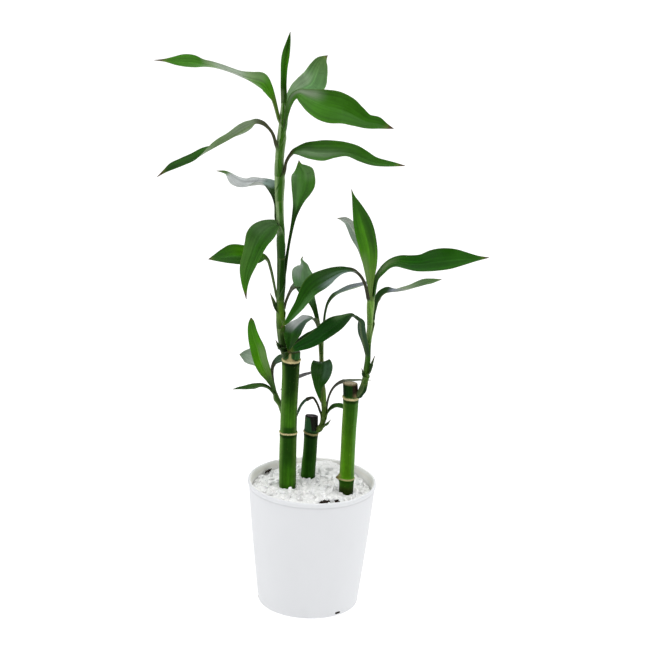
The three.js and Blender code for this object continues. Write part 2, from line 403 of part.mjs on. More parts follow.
    [33.25, -14.29, 242.25, -2.36, 1.84, -0.17, 0.52, 0.71, 0.48],
    [30.32, -16.19, 245.85, -1.35, 1.99, -0.08, 0.52, 0.39, 0.76],
    [27.12, -18.19, 248.57, -1.36, 2.21, 0.16, 0.28, 0.1, 0.96],
    [24.03, -20.19, 248.69, -2.08, 3.06, 0.25, -0.08, -0.14, 0.99],
    [20.4, -22.69, 246.93, -3.16, 4.16, 1.06, -0.21, -0.39, 0.9],
    [15.29, -25.49, 244.15, -4.12, 5.49, 2.56, -0.21, -0.54, 0.82],
    [9.44, -27.89, 240.56, -4.48, 5.74, 3.26, -0.24, -0.61, 0.75],
    [3.09, -30.49, 236.14, -4.13, 5.07, 3.14, -0.24, -0.65, 0.73],
    [-3.26, -32.89, 231.9, -3.16, 4.17, 3.01, -0.19, -0.67, 0.72],
    [-9.65, -34.89, 228.74, -2.26, 3.32, 2.76, -0.12, -0.68, 0.72],
    [-15.15, -36.49, 226.38, -1.54, 2.2, 1.98, -0.14, -0.71, 0.69],
    [-22.05, -38.09, 222.58, -0.08, 0.11, 0.1, -0.19, -0.73, 0.66],
  ] },
  right_bract_1: { shoot: "right_shoot", fold: 20, rows: [
    [39.96, -7.49, 194.03, 0.35, -1.64, -0.26, -0.95, -0.23, 0.22],
    [41.44, -8.09, 199.69, 0.72, -1.85, -0.42, -0.9, -0.39, 0.2],
    [43.21, -8.89, 205.84, 0.63, -1.36, -0.34, -0.87, -0.45, 0.2],
    [45.31, -9.69, 213.14, 0.12, -0.23, -0.06, -0.85, -0.48, 0.19],
  ] },
  right_bract_2: { shoot: "right_shoot", fold: 20, rows: [
    [38.5, -7.49, 191.47, 0.63, 1.44, 0.3, 0.88, -0.43, 0.21],
    [37.21, -7.89, 196.13, 0.62, 1.22, 0.31, 0.85, -0.48, 0.19],
    [35.39, -8.69, 202.14, 0.12, 0.21, 0.07, 0.82, -0.54, 0.18],
  ] },
  middle_leaf_1: { shoot: "middle_shoot", fold: 7, rows: [
    [6.14, 19.86, 173.25, -1.03, 0.01, -0.06, 0, 0.98, 0.2],
    [5.53, 17.66, 184.13, -1.19, 0.06, -0.05, 0.03, 0.96, 0.29],
    [5.05, 13.66, 194.25, -2.69, 0.09, -0.08, 0.01, 0.85, 0.53],
    [4.64, 7.66, 201.17, -4.98, -0.22, -0.81, -0.16, 0.48, 0.86],
    [4.43, 1.16, 202.74, -7.25, 0.21, -0.22, -0.03, -0.03, 1],
    [4.28, -5.34, 200.68, -8.54, 0.43, -0.01, -0.02, -0.42, 0.91],
    [3.85, -10.84, 197.28, -8.08, 0.5, 0.74, 0.03, -0.61, 0.79],
    [2.98, -15.34, 193.04, -6.08, 0.32, 0.92, 0.06, -0.75, 0.65],
    [2.23, -18.34, 189.11, -3.66, 0.04, 0.12, 0.01, -0.83, 0.55],
    [2.46, -20.34, 185.7, -2.16, -0.1, -0.28, -0.02, -0.88, 0.48],
    [3.49, -22.34, 181.66, -1.13, -0.1, -0.26, -0.01, -0.92, 0.39],
    [4.68, -23.84, 177.44, -0.15, -0.01, -0.04, 0, -0.94, 0.34],
  ] },
  middle_leaf_2: { shoot: "middle_shoot", fold: 10, rows: [
    [1.48, 25.66, 218.12, 1.05, 0.71, 0.17, 0.54, -0.83, 0.16],
    [-0.45, 26.26, 227.44, 1.34, 0.8, 0.25, 0.47, -0.86, 0.21],
    [-3.18, 27.66, 236.86, 1.76, 1.03, 0.41, 0.41, -0.84, 0.35],
    [-6.66, 30.16, 244.64, 3.36, 1.83, 0.88, 0.29, -0.79, 0.54],
    [-9.92, 33.66, 250.04, 5.89, 2.65, 1.18, 0.19, -0.72, 0.67],
    [-12.14, 37.66, 254.5, 8.07, 2.61, 0.4, 0.17, -0.64, 0.75],
    [-13.24, 42.66, 258.38, 9.17, 1.86, -0.97, 0.19, -0.51, 0.84],
    [-13.59, 47.66, 260.98, 8.56, 0.94, -2.05, 0.25, -0.4, 0.88],
    [-13.28, 52.66, 262.95, 5.82, 0.39, -1.52, 0.26, -0.35, 0.9],
    [-13.25, 56.66, 264.4, 3.36, 0.51, 0.23, 0, -0.4, 0.91],
    [-14.33, 59.66, 265.95, 1.45, 0.31, 0.4, -0.09, -0.59, 0.8],
    [-15.23, 61.66, 267.64, 0.8, 0.06, -0.08, 0.13, -0.67, 0.73],
    [-14.05, 63.66, 269.6, 0.14, -0.02, -0.07, 0.2, -0.74, 0.64],
  ] },
  middle_leaf_3: { shoot: "middle_shoot", fold: 14, rows: [
    [3.6, 24.46, 216.94, 0.26, -1.26, 0.19, -0.98, -0.19, 0.09],
    [4.25, 26.06, 226.86, 0.26, -0.96, 0.1, -0.96, -0.25, 0.1],
    [4.95, 26.86, 235.37, 0.28, -0.96, 0.09, -0.95, -0.26, 0.2],
    [6.73, 28.26, 242.47, 0.34, -1.24, 0.17, -0.88, -0.18, 0.44],
    [10.3, 30.06, 247.85, 0.6, -2.09, 0.3, -0.68, -0.09, 0.73],
    [15.53, 32.06, 251.25, 1.16, -4.01, 0.5, -0.44, -0.02, 0.9],
    [21.76, 34.06, 253.53, 1.32, -5.01, 0.42, -0.3, 0, 0.95],
    [28.81, 35.86, 255.41, 1.15, -5.07, 0.23, -0.25, -0.01, 0.97],
    [35.08, 37.26, 257.05, 0.83, -3.85, 0.01, -0.24, -0.05, 0.97],
    [39.78, 38.26, 258.26, 0.43, -2.07, -0.08, -0.23, -0.08, 0.97],
    [44.1, 39.06, 259.35, 0.08, -0.38, -0.03, -0.22, -0.12, 0.97],
  ] },
  middle_leaf_4: { shoot: "middle_shoot", fold: 12, rows: [
    [3.9, 24.66, 178.21, 0.15, 1.17, -0.2, 0.94, -0.06, 0.34],
    [1.93, 25.86, 183.79, 0.1, 0.88, -0.15, 0.65, 0.05, 0.76],
    [-1.4, 26.46, 185.13, 0.12, 0.98, -0.14, 0.15, 0.13, 0.98],
    [-6.93, 26.86, 183.58, 0.14, 1.49, -0.16, -0.32, 0.13, 0.94],
    [-12.83, 27.06, 181.07, 0.1, 2.29, -0.2, -0.41, 0.1, 0.91],
    [-19.1, 26.86, 178, -0.09, 2.39, -0.21, -0.54, 0.05, 0.84],
    [-24.14, 26.06, 174.01, -0.22, 1.68, -0.19, -0.7, -0.01, 0.71],
    [-28.17, 24.66, 168.92, -0.11, 0.64, -0.09, -0.78, -0.04, 0.63],
  ] },
  middle_leaf_5: { shoot: "middle_shoot", fold: 12, rows: [
    [9.12, 23.06, 147.58, 0.46, -1.21, 0.05, -0.91, -0.34, 0.22],
    [10.13, 23.66, 152.68, 0.35, -0.94, 0.05, -0.82, -0.28, 0.49],
    [12.41, 24.66, 155.48, 0.61, -1.48, -0.01, -0.56, -0.24, 0.8],
    [16.01, 26.06, 157.24, 1.04, -2.8, -0.42, -0.12, -0.19, 0.97],
    [20.83, 27.46, 156.67, 0.64, -3.59, -0.97, 0.3, -0.2, 0.93],
    [25.71, 28.46, 154.46, 0, -2.62, -0.73, 0.48, -0.24, 0.84],
    [30.64, 28.86, 151.45, -0.02, -0.29, -0.08, 0.52, -0.25, 0.82],
  ] },
  middle_leaf_6: { shoot: "middle_shoot", fold: 12, rows: [
    [5.5, 23.26, 148.21, 0.44, 1.22, -0.03, 0.91, -0.32, 0.27],
    [3.8, 24.06, 154.83, 0.22, 0.87, -0.02, 0.91, -0.22, 0.35],
    [1.02, 24.66, 160.79, 0.16, 0.89, 0.01, 0.81, -0.15, 0.57],
    [-1.66, 25.06, 163.94, 0.1, 1.1, -0.01, 0.23, -0.01, 0.97],
    [-4.67, 25.26, 163.23, 0.08, 1.7, 0.08, -0.4, -0.03, 0.92],
    [-7.64, 25.46, 161.08, -0.25, 2.33, 0.29, -0.67, -0.16, 0.73],
    [-10.25, 25.26, 157.98, -0.67, 2.27, 0.25, -0.78, -0.29, 0.56],
    [-12.19, 24.86, 154.38, -0.88, 2.06, 0.13, -0.83, -0.38, 0.4],
    [-13.27, 24.46, 151.08, -0.7, 1.44, 0.02, -0.86, -0.43, 0.28],
    [-14.02, 24.06, 147.27, -0.15, 0.28, 0, -0.87, -0.45, 0.22],
  ] },
  middle_leaf_7: { shoot: "middle_shoot", fold: 12, rows: [
    [9.14, 24.46, 153.03, 0.21, -1.28, 0.09, -0.99, -0.15, 0.06],
    [9.5, 25.06, 160.49, 0.15, -0.89, 0.05, -0.98, -0.15, 0.16],
    [11.16, 25.66, 167.31, 0.13, -0.89, 0.05, -0.92, -0.12, 0.37],
    [14.13, 26.46, 172.91, 0.13, -1.09, 0.12, -0.77, -0.03, 0.63],
    [18.3, 27.46, 176.54, 0.3, -1.86, 0.25, -0.48, 0.04, 0.88],
    [23.58, 28.66, 177.94, 0.51, -2.84, 0.32, -0.18, 0.08, 0.98],
    [29.56, 29.66, 178.34, 0.42, -2.76, 0.2, -0.05, 0.06, 1],
    [35.15, 30.46, 178.46, 0.27, -1.98, 0.08, 0.03, 0.05, 1],
    [39.96, 31.06, 178.02, 0.12, -1.09, 0.03, 0, 0.03, 1],
    [44.35, 31.46, 178.31, 0.05, -0.51, 0.02, -0.07, 0.03, 1],
  ] },
  middle_leaf_8: { shoot: "middle_shoot", fold: 10, rows: [
    [1.37, 20.66, 218.95, -1.17, 0.84, -0.1, 0.55, 0.8, 0.24],
    [-0.35, 19.26, 227.67, -1.44, 1.27, -0.11, 0.57, 0.68, 0.45],
    [-3.66, 16.16, 233.53, -1.72, 1.67, 0, 0.39, 0.4, 0.83],
    [-8.21, 11.16, 235.48, -3.69, 3.37, 0.35, 0.07, -0.02, 1],
    [-12.76, 6.16, 234.05, -4.07, 3.37, 0.39, -0.15, -0.29, 0.95],
    [-16.49, 1.66, 231.42, -5.69, 3.91, 0.97, -0.2, -0.5, 0.84],
    [-19.34, -1.84, 227.94, -6.85, 3.37, 0.93, -0.25, -0.7, 0.67],
    [-20.63, -4.34, 223.94, -5.81, 1.99, 0.29, -0.26, -0.82, 0.51],
    [-21.31, -6.34, 219.81, -3.8, 0.87, 0.19, -0.18, -0.89, 0.41],
    [-21.84, -7.84, 215.85, -1.79, 0.33, 0.05, -0.16, -0.94, 0.31],
    [-22, -8.84, 212.06, -0.16, 0.02, 0, -0.13, -0.96, 0.26],
  ] },
  middle_bract: { shoot: "middle_shoot", fold: 20, rows: [
    [7.4, 19.86, 141.02, 0.2, -1.2, -0.41, -0.73, -0.32, 0.6],
    [9.33, 19.46, 143.13, 0.19, -1.07, -0.36, -0.74, -0.33, 0.59],
    [11.25, 19.06, 145.4, 0.22, -0.87, -0.31, -0.76, -0.38, 0.53],
    [13.07, 18.66, 148.01, 0.07, -0.23, -0.09, -0.77, -0.42, 0.47],
  ] },
  side_leaf_1: { shoot: "side_shoot", fold: 14, rows: [
    [-31.82, 12.08, 170.26, 1.03, 0.59, 0.43, 0.48, -0.88, 0.05],
    [-33.88, 11.28, 176.36, 1.27, 0.71, 0.62, 0.48, -0.88, 0.02],
    [-37.05, 9.48, 183.59, 2.18, 1.2, 1.27, 0.49, -0.87, -0.02],
    [-40.45, 7.28, 191.34, 3.97, 1.95, 2.23, 0.47, -0.88, -0.07],
    [-44, 4.28, 200.58, 5.01, 1.93, 2.16, 0.41, -0.9, -0.16],
    [-46.29, 1.28, 210.24, 5.26, 1.71, 2.02, 0.37, -0.9, -0.21],
    [-49.17, -2.22, 219.59, 4.46, 1.24, 1.59, 0.34, -0.91, -0.24],
    [-51.02, -5.22, 228.34, 3.54, 0.68, 0.75, 0.24, -0.93, -0.28],
    [-51.65, -7.22, 234.31, 2.68, 0.44, 0.35, 0.19, -0.94, -0.29],
    [-51.86, -8.32, 237.7, 1.75, 0.3, 0.25, 0.2, -0.94, -0.29],
    [-52.13, -9.12, 240.16, 0.3, 0.05, 0.05, 0.21, -0.94, -0.28],
  ] },
  side_leaf_2: { shoot: "side_shoot", fold: 12, rows: [
    [-30.55, 12.18, 165.21, -0.01, 1.8, 0.07, 0.92, -0.01, 0.4],
    [-33.62, 11.88, 172.28, -0.1, 1.48, 0.2, 0.83, -0.02, 0.56],
    [-37.19, 10.68, 176.27, -0.34, 1.53, 0.32, 0.61, -0.03, 0.79],
    [-41.94, 8.68, 178.55, -1.04, 2.34, 0.45, 0.27, -0.06, 0.96],
    [-46.28, 6.28, 178.81, -1.58, 2.76, 0.66, 0.1, -0.18, 0.98],
    [-50.52, 3.78, 178.52, -1.8, 3.03, 0.83, 0.1, -0.21, 0.97],
    [-54.77, 1.28, 178.65, -1.33, 2.43, 0.79, 0.17, -0.22, 0.96],
    [-59.39, -1.22, 178.94, -0.8, 1.52, 0.51, 0.14, -0.24, 0.96],
    [-65.08, -4.22, 178.69, -0.12, 0.22, 0.07, 0.09, -0.25, 0.96],
  ] },
  side_leaf_3: { shoot: "side_shoot", fold: 12, rows: [
    [-32.8, 16.28, 172.08, 1.03, 0.62, 0.19, 0.41, -0.82, 0.4],
    [-35.83, 18.78, 180.34, 1.4, 0.72, 0.31, 0.28, -0.79, 0.55],
    [-39.84, 23.78, 186.51, 3.04, 1.44, 1.02, 0.02, -0.61, 0.79],
    [-45.32, 31.78, 189.83, 4.52, 2.28, 2.85, -0.33, -0.42, 0.85],
    [-50.96, 40.78, 190.46, 4.31, 2.75, 4.8, -0.61, -0.32, 0.73],
    [-55.6, 49.28, 189.13, 2.45, 2.47, 4.95, -0.79, -0.29, 0.54],
    [-59.22, 56.28, 187, 0.84, 1.48, 3.05, -0.85, -0.34, 0.4],
    [-62.82, 62.28, 184.87, 0.03, 0.07, 0.15, -0.85, -0.38, 0.37],
  ] },
  side_leaf_4: { shoot: "side_shoot", fold: 12, rows: [
    [-33.77, 16.28, 177.95, 0.66, -0.99, 0.15, -0.82, -0.56, -0.09],
    [-34.99, 16.68, 186.17, 0.73, -0.95, 0.08, -0.8, -0.6, 0.04],
    [-34.47, 17.28, 191.86, 0.99, -1.5, -0.1, -0.76, -0.52, 0.39],
    [-31.99, 18.28, 195.56, 1.71, -2.95, -0.54, -0.5, -0.43, 0.75],
    [-28.45, 19.78, 197.45, 2.24, -3.99, -0.99, -0.22, -0.35, 0.91],
    [-24.42, 21.78, 198.61, 2.09, -3.63, -1.05, -0.07, -0.32, 0.95],
    [-20.53, 23.78, 199.42, 1.11, -2.23, -0.73, -0.01, -0.32, 0.95],
    [-16.61, 25.28, 199.91, 0.09, -0.22, -0.08, 0.01, -0.33, 0.95],
  ] },
};

const wasm = await Module();
wasm.setup();
const { Manifold, Mesh } = wasm;

// ---- helpers ----
function toSolid(geometry) {
  const g = geometry.clone();
  g.deleteAttribute("normal");
  g.deleteAttribute("uv");
  const m = mergeVertices(g, 1e-4);
  return new Manifold(
    new Mesh({
      numProp: 3,
      vertProperties: new Float32Array(m.attributes.position.array),
      triVerts: new Uint32Array(m.index.array),
    }),
  );
}

function fromArrays(positions, indices) {
  return new Manifold(
    new Mesh({
      numProp: 3,
      vertProperties: new Float32Array(positions),
      triVerts: new Uint32Array(indices),
    }),
  );
}

function toGeometry(solid) {
  const m = solid.getMesh();
  const v = new Float32Array(m.numVert * 3);
  for (let i = 0; i < m.numVert; i++) {
    v.set(m.vertProperties.subarray(i * m.numProp, i * m.numProp + 3), i * 3);
  }
  const g = new THREE.BufferGeometry();
  g.setAttribute("position", new THREE.BufferAttribute(v, 3));
  g.setIndex(new THREE.BufferAttribute(new Uint32Array(m.triVerts), 1));
  g.computeVertexNormals();
  return g;
}

function largest(solid) {
  const pieces = solid.decompose();
  let best = pieces[0];
  for (const p of pieces) if (p.volume() > best.volume()) best = p;
  return best;
}

// Cubic interpolation of rows by the length of the line through their first three numbers.
function resample(rows, count) {
  const n = rows.length;
  const d = [0];
  for (let i = 1; i < n; i++) {
    d.push(d[i - 1] + Math.hypot(rows[i][0] - rows[i - 1][0], rows[i][1] - rows[i - 1][1], rows[i][2] - rows[i - 1][2]));
  }
  const slope = rows.map((row, i) =>
    row.map((_, k) => {
      if (i === 0) return (rows[1][k] - rows[0][k]) / (d[1] - d[0]);
      if (i === n - 1) return (rows[n - 1][k] - rows[n - 2][k]) / (d[n - 1] - d[n - 2]);
      const h0 = d[i] - d[i - 1];
      const h1 = d[i + 1] - d[i];
      const a = (rows[i][k] - rows[i - 1][k]) / h0;
      const b = (rows[i + 1][k] - rows[i][k]) / h1;
      return (a * h1 + b * h0) / (h0 + h1);
    }),
  );
  const out = [];
  for (let j = 0; j < count; j++) {
    const t = (d[n - 1] * j) / (count - 1);
    let i = 0;
    while (i < n - 2 && d[i + 1] <= t) i++;
    const h = d[i + 1] - d[i];
    const u = (t - d[i]) / h;
    const a = 2 * u ** 3 - 3 * u ** 2 + 1;
    const b = u ** 3 - 2 * u ** 2 + u;
    const c = -2 * u ** 3 + 3 * u ** 2;
    const e = u ** 3 - u ** 2;
    out.push(rows[i].map((_, k) => a * rows[i][k] + b * h * slope[i][k] + c * rows[i + 1][k] + e * h * slope[i + 1][k]));
  }
  return out;
}

// A closed tube of given sides through rows of x, y, z, radius.
function tube(rows, sides, grow = 0) {
  const positions = [];
  const indices = [];
  const tangent = new THREE.Vector3();
  let side = new THREE.Vector3(1, 0, 0);
  rows.forEach((row, i) => {
    const p = new THREE.Vector3(row[0], row[1], row[2]);
    const a = rows[Math.max(0, i - 1)];
    const b = rows[Math.min(rows.length - 1, i + 1)];
    tangent.set(b[0] - a[0], b[1] - a[1], b[2] - a[2]).normalize();
    side = side.clone().addScaledVector(tangent, -side.dot(tangent)).normalize();
    const up = new THREE.Vector3().crossVectors(tangent, side);
    const r = row[3] + grow;
    for (let k = 0; k < sides; k++) {
      const t = (2 * Math.PI * k) / sides;
      positions.push(
        p.x + r * (Math.cos(t) * side.x + Math.sin(t) * up.x),
        p.y + r * (Math.cos(t) * side.y + Math.sin(t) * up.y),
        p.z + r * (Math.cos(t) * side.z + Math.sin(t) * up.z),
      );
    }
  });
  const n = rows.length;
  for (let i = 0; i < n - 1; i++) {
    for (let k = 0; k < sides; k++) {
      const q = (k + 1) % sides;
      const a = i * sides + k;
      const b = i * sides + q;
      const c = a + sides;
      const d = b + sides;
      indices.push(a, b, d, a, d, c);
    }
  }
  for (let k = 1; k < sides - 1; k++) {
    indices.push(0, k + 1, k);
    indices.push((n - 1) * sides, (n - 1) * sides + k, (n - 1) * sides + k + 1);
  }
  return fromArrays(positions, indices);
}

// A leaf blade: left edge, upper midrib, right edge, lower midrib at every section, one point at the tip.
function blade(rows, fold, grow = 0) {
  const lines = resample(rows, LEAF_SECTIONS);
  const positions = [];
  const indices = [];
  const drop = Math.tan((fold * Math.PI) / 180);
  const last = lines.length - 1;
  lines.forEach((row, i) => {
    const m = new THREE.Vector3(row[0], row[1], row[2]);
    const b = new THREE.Vector3(row[3], row[4], row[5]);
    const w = Math.max(b.length(), 0.05);
    b.normalize();
    const nn = new THREE.Vector3(row[6], row[7], row[8]);
    nn.addScaledVector(b, -nn.dot(b)).normalize();
    const t = THREE.MathUtils.lerp(LEAF_THICKNESS, LEAF_TIP_THICKNESS, i / last) + 2 * grow;
    if (i === last) {
      positions.push(m.x, m.y, m.z);
      return;
    }
    const rib = m.clone().addScaledVector(nn, -w * drop);
    const half = w + 1.6 * grow;
    for (const p of [
      m.clone().addScaledVector(b, -half),
      rib.clone().addScaledVector(nn, t / 2),
      m.clone().addScaledVector(b, half),
      rib.clone().addScaledVector(nn, -t / 2),
    ]) positions.push(p.x, p.y, p.z);
  });
  // b x n points along the leaf when the frame is right handed; either way the volume is made positive below.
  for (let i = 0; i < last; i++) {
    for (let k = 0; k < 4; k++) {
      const q = (k + 1) % 4;
      const a = i * 4 + k;
      const b = i * 4 + q;
      if (i === last - 1) indices.push(a, b, last * 4);
      // Both faces of a half blade are split along the same diagonal, so that they don't cross where it twists.
      else if (k < 2) indices.push(a, b, b + 4, a, b + 4, a + 4);
      else indices.push(a, b, a + 4, b, b + 4, a + 4);
    }
  }
  indices.push(0, 2, 1, 0, 3, 2);
  let solid = fromArrays(positions, indices);
  if (solid.volume() < 0) {
    for (let i = 0; i < indices.length; i += 3) [indices[i + 1], indices[i + 2]] = [indices[i + 2], indices[i + 1]];
    solid = fromArrays(positions, indices);
  }
  return solid;
}

// ---- pot, soil and stone topping ----
const wallRadius = (z) => POT_BASE_RADIUS + ((POT_RIM_RADIUS - POT_LIP_PROUD - POT_BASE_RADIUS) * z) / POT_HEIGHT;

function potProfile() {
  const pts = [[0, 0]];
  for (let i = 0; i <= 4; i++) {
    const a = -Math.PI / 2 + (i / 4) * (Math.PI / 2);
    pts.push([wallRadius(POT_FOOT_ROUND) - POT_FOOT_ROUND + POT_FOOT_ROUND * Math.cos(a), POT_FOOT_ROUND + POT_FOOT_ROUND * Math.sin(a)]);
  }
  for (const z of [35, 70, POT_HEIGHT - POT_LIP_HEIGHT - 0.5]) pts.push([wallRadius(z), z]);
  pts.push([POT_RIM_RADIUS - 0.05, POT_HEIGHT - POT_LIP_HEIGHT]);
  pts.push([POT_RIM_RADIUS, POT_HEIGHT - 1]);
  pts.push([POT_RIM_RADIUS - 0.35, POT_HEIGHT - 0.3]);
  pts.push([POT_RIM_RADIUS - 1.1, POT_HEIGHT]);
  pts.push([POT_RIM_RADIUS - 1.9, POT_HEIGHT - 0.3]);
  pts.push([POT_RIM_RADIUS - 2.3, POT_HEIGHT - 1.1]);
  for (const z of [70, 35, POT_FLOOR + 1.4]) pts.push([wallRadius(z) - POT_WALL, z]);
  pts.push([wallRadius(0) - POT_WALL - 1.6, POT_FLOOR]);
  pts.push([0, POT_FLOOR]);
  return pts.map(([r, z]) => new THREE.Vector2(r, z));
}

function lathe(profile, segments) {
  const g = new THREE.LatheGeometry(profile, segments);
  g.rotateX(Math.PI / 2); // the turning axis becomes +Z
  let s = toSolid(g);
  if (s.volume() < 0) {
    const flipped = g.index.array;
    for (let i = 0; i < flipped.length; i += 3) [flipped[i + 1], flipped[i + 2]] = [flipped[i + 2], flipped[i + 1]];
    s = toSolid(g);
  }
  return s;
}

let pot = lathe(potProfile(), 60);
for (let i = 0; i < DRAIN_SLOTS; i++) {
  const slot = Manifold.cube([16, DRAIN_SLOT_WIDTH, DRAIN_SLOT_Z[1] - DRAIN_SLOT_Z[0]], true)
    .translate([POT_BASE_RADIUS, 0, (DRAIN_SLOT_Z[0] + DRAIN_SLOT_Z[1]) / 2])
    .rotate([0, 0, DRAIN_SLOT_FIRST_DEG + (360 / DRAIN_SLOTS) * i]);
  pot = pot.subtract(slot);
}

// The stone layer: a disc with a low, irregular upper surface.
function bump(x, y) {
  const [mx, my, sx, sy, height] = TOPPING_MOUND;
  return (
    TOPPING_SLOPE[0] * x +
    TOPPING_SLOPE[1] * y +
    height * Math.exp(-0.5 * (((x - mx) / sx) ** 2 + ((y - my) / sy) ** 2)) +
    TOPPING_BUMP *
      (0.5 * Math.sin(0.61 * x + 1.3) * Math.cos(0.53 * y - 0.4) +
        0.35 * Math.sin(0.97 * x - 0.71 * y + 2.1) +
        0.25 * Math.cos(1.21 * y + 0.37 * x))
  );
}

function toppingSolid() {
  const rings = 9;
  const seg = 40;
  const bottom = TOPPING_TOP - TOPPING_DEPTH;
  const topR = wallRadius(TOPPING_TOP) - POT_WALL - CLEARANCE - 0.15;
  const botR = wallRadius(bottom) - POT_WALL - CLEARANCE - 0.15;
  const positions = [0, 0, TOPPING_TOP + bump(0, 0), 0, 0, bottom];
  const indices = [];
  for (let r = 1; r <= rings; r++) {
    for (let k = 0; k < seg; k++) {
      const a = (2 * Math.PI * k) / seg;
      const rr = (topR * r) / rings;
      const x = rr * Math.cos(a);
      const y = rr * Math.sin(a);
      positions.push(x, y, TOPPING_TOP + bump(x, y));
    }
  }
  for (let k = 0; k < seg; k++) {
    const a = (2 * Math.PI * k) / seg;
    positions.push(botR * Math.cos(a), botR * Math.sin(a), bottom);
  }
  const at = (r, k) => 2 + (r - 1) * seg + ((k + seg) % seg);
  for (let k = 0; k < seg; k++) {
    indices.push(0, at(1, k), at(1, k + 1));
    for (let r = 1; r < rings; r++) indices.push(at(r, k), at(r + 1, k), at(r + 1, k + 1), at(r, k), at(r + 1, k + 1), at(r, k + 1));
    const o = 2 + rings * seg;
    const b0 = o + k;
    const b1 = o + ((k + 1) % seg);
    indices.push(at(rings, k), b0, b1, at(rings, k), b1, at(rings, k + 1));
    indices.push(1, b1, b0);
  }
  return fromArrays(positions, indices);
}

function soilSolid() {
  const inner = (z) => wallRadius(z) - POT_WALL - CLEARANCE - 0.15;
  const z0 = POT_FLOOR + CLEARANCE;
  const profile = [[0, z0], [inner(z0) - 2, z0], [inner(z0 + 2) , z0 + 2], [inner(45), 45], [inner(SOIL_TOP), SOIL_TOP], [0, SOIL_TOP]];
  return lathe(profile.map(([r, z]) => new THREE.Vector2(r, z)), 40);
}

// ---- canes ----
function caneRows(spec) {
  const zs = new Set();
  const low = spec.line[0][2];
  for (const row of spec.line) zs.add(row[2]);
  for (const ring of spec.rings) {
    for (const dz of [-NODE_RING_HALF_HEIGHT - 0.6, -NODE_RING_HALF_HEIGHT * 0.6, 0, NODE_RING_HALF_HEIGHT * 0.6, NODE_RING_HALF_HEIGHT + 0.6]) zs.add(ring + dz);
  }
  zs.add(spec.top);
  const list = [...zs].filter((z) => z >= low && z <= spec.top).sort((a, b) => a - b).filter((z, i, l) => i === 0 || z - l[i - 1] > 0.45 || z === spec.top);
  return list.map((z) => {
    const L = spec.line;
    let x, y, r;
    if (z >= L[L.length - 1][2]) {
      const e = L[L.length - 1];
      const u = (z - e[2]) / (spec.top - e[2]);
      [x, y] = e;
      x = THREE.MathUtils.lerp(x, spec.topX, u);
      r = THREE.MathUtils.lerp(e[3], spec.topRadius, u);
    } else {
      let i = 0;
      while (i < L.length - 2 && L[i + 1][2] <= z) i++;
      const u = (z - L[i][2]) / (L[i + 1][2] - L[i][2]);
      [x, y, r] = [0, 1, 3].map((k) => THREE.MathUtils.lerp(L[i][k], L[i + 1][k], u));
    }
    for (const ring of spec.rings) {
      const q = Math.abs(z - ring) / NODE_RING_HALF_HEIGHT;
      if (q < 1) r += NODE_RING_PROUD * (1 - q * q);
    }
    return [x, y, z, r];
  });
}

const solids = new Map();
const grown = new Map();

for (const [name, rows] of Object.entries(SHOOTS)) {
  const line = resample(rows, rows.length + 3);
  solids.set(name, tube(line, SHOOT_SIDES));
  grown.set(name, tube(line, SHOOT_SIDES, CLEARANCE + 0.05));
}

let topping = toppingSolid();
let soil = soilSolid();
for (const [name, spec] of Object.entries(CANES)) {
  const rows = caneRows(spec);
  const fat = tube(rows, CANE_SIDES, CLEARANCE + 0.05);
  const foot = tube([[rows[0][0], rows[0][1], rows[0][2] - CLEARANCE, rows[0][3]], ...rows], CANE_SIDES, CLEARANCE + 0.05);
  topping = topping.subtract(foot);
  soil = soil.subtract(foot);
  let cane = tube(rows, CANE_SIDES);
  for (const shoot of Object.keys(SHOOTS)) cane = cane.subtract(grown.get(shoot));
  solids.set(name, largest(cane));
  grown.set(name, fat);
}

for (const [name, spec] of Object.entries(LEAVES)) {
  let solid = blade(spec.rows, spec.fold);
  for (const [other, fat] of grown) {
    if (solid.intersect(fat).volume() > 1e-6) solid = solid.subtract(fat);
  }
  solids.set(name, largest(solid));
  grown.set(name, blade(spec.rows, spec.fold, CLEARANCE));
}

const group = new THREE.Group();
group.name = "lucky_bamboo";

const LOOKS = {
  pot: [0xeceef0, 0.5],
  soil: [0x2b1f16, 1],
  topping: [0xe9e9e6, 0.7],
  cane: [0x3f7d20, 0.45],
  shoot: [0x5b8a3a, 0.5],
  leaf: [0x2f6f1e, 0.45],
};

function add(name, solid, look) {
  const mesh = new THREE.Mesh(
    toGeometry(solid),
    new THREE.MeshStandardMaterial({ color: look[0], roughness: look[1], name: name + "_material" }),
  );
  mesh.name = name;
  group.add(mesh);
}

add("pot", pot, LOOKS.pot);
add("potting_soil", soil, LOOKS.soil);
add("stone_topping", topping, LOOKS.topping);
for (const [name, solid] of solids) {
  add(name, solid, name in CANES ? LOOKS.cane : name in SHOOTS ? LOOKS.shoot : LOOKS.leaf);
}

export default group;
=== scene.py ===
import math

import bpy
import numpy as np
from mathutils import Matrix, Vector


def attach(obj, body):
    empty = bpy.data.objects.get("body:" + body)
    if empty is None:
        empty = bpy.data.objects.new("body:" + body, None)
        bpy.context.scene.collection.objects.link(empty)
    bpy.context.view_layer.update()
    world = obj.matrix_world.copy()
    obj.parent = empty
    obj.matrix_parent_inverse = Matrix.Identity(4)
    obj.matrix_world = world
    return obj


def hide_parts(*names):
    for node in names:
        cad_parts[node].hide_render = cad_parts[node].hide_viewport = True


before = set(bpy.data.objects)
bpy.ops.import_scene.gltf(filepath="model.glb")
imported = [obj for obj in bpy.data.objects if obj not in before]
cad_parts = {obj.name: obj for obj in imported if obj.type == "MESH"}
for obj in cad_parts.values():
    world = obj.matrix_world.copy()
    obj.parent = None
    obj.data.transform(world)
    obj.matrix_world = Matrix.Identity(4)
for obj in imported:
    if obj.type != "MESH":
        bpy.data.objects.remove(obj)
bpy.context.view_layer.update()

MM = 0.001

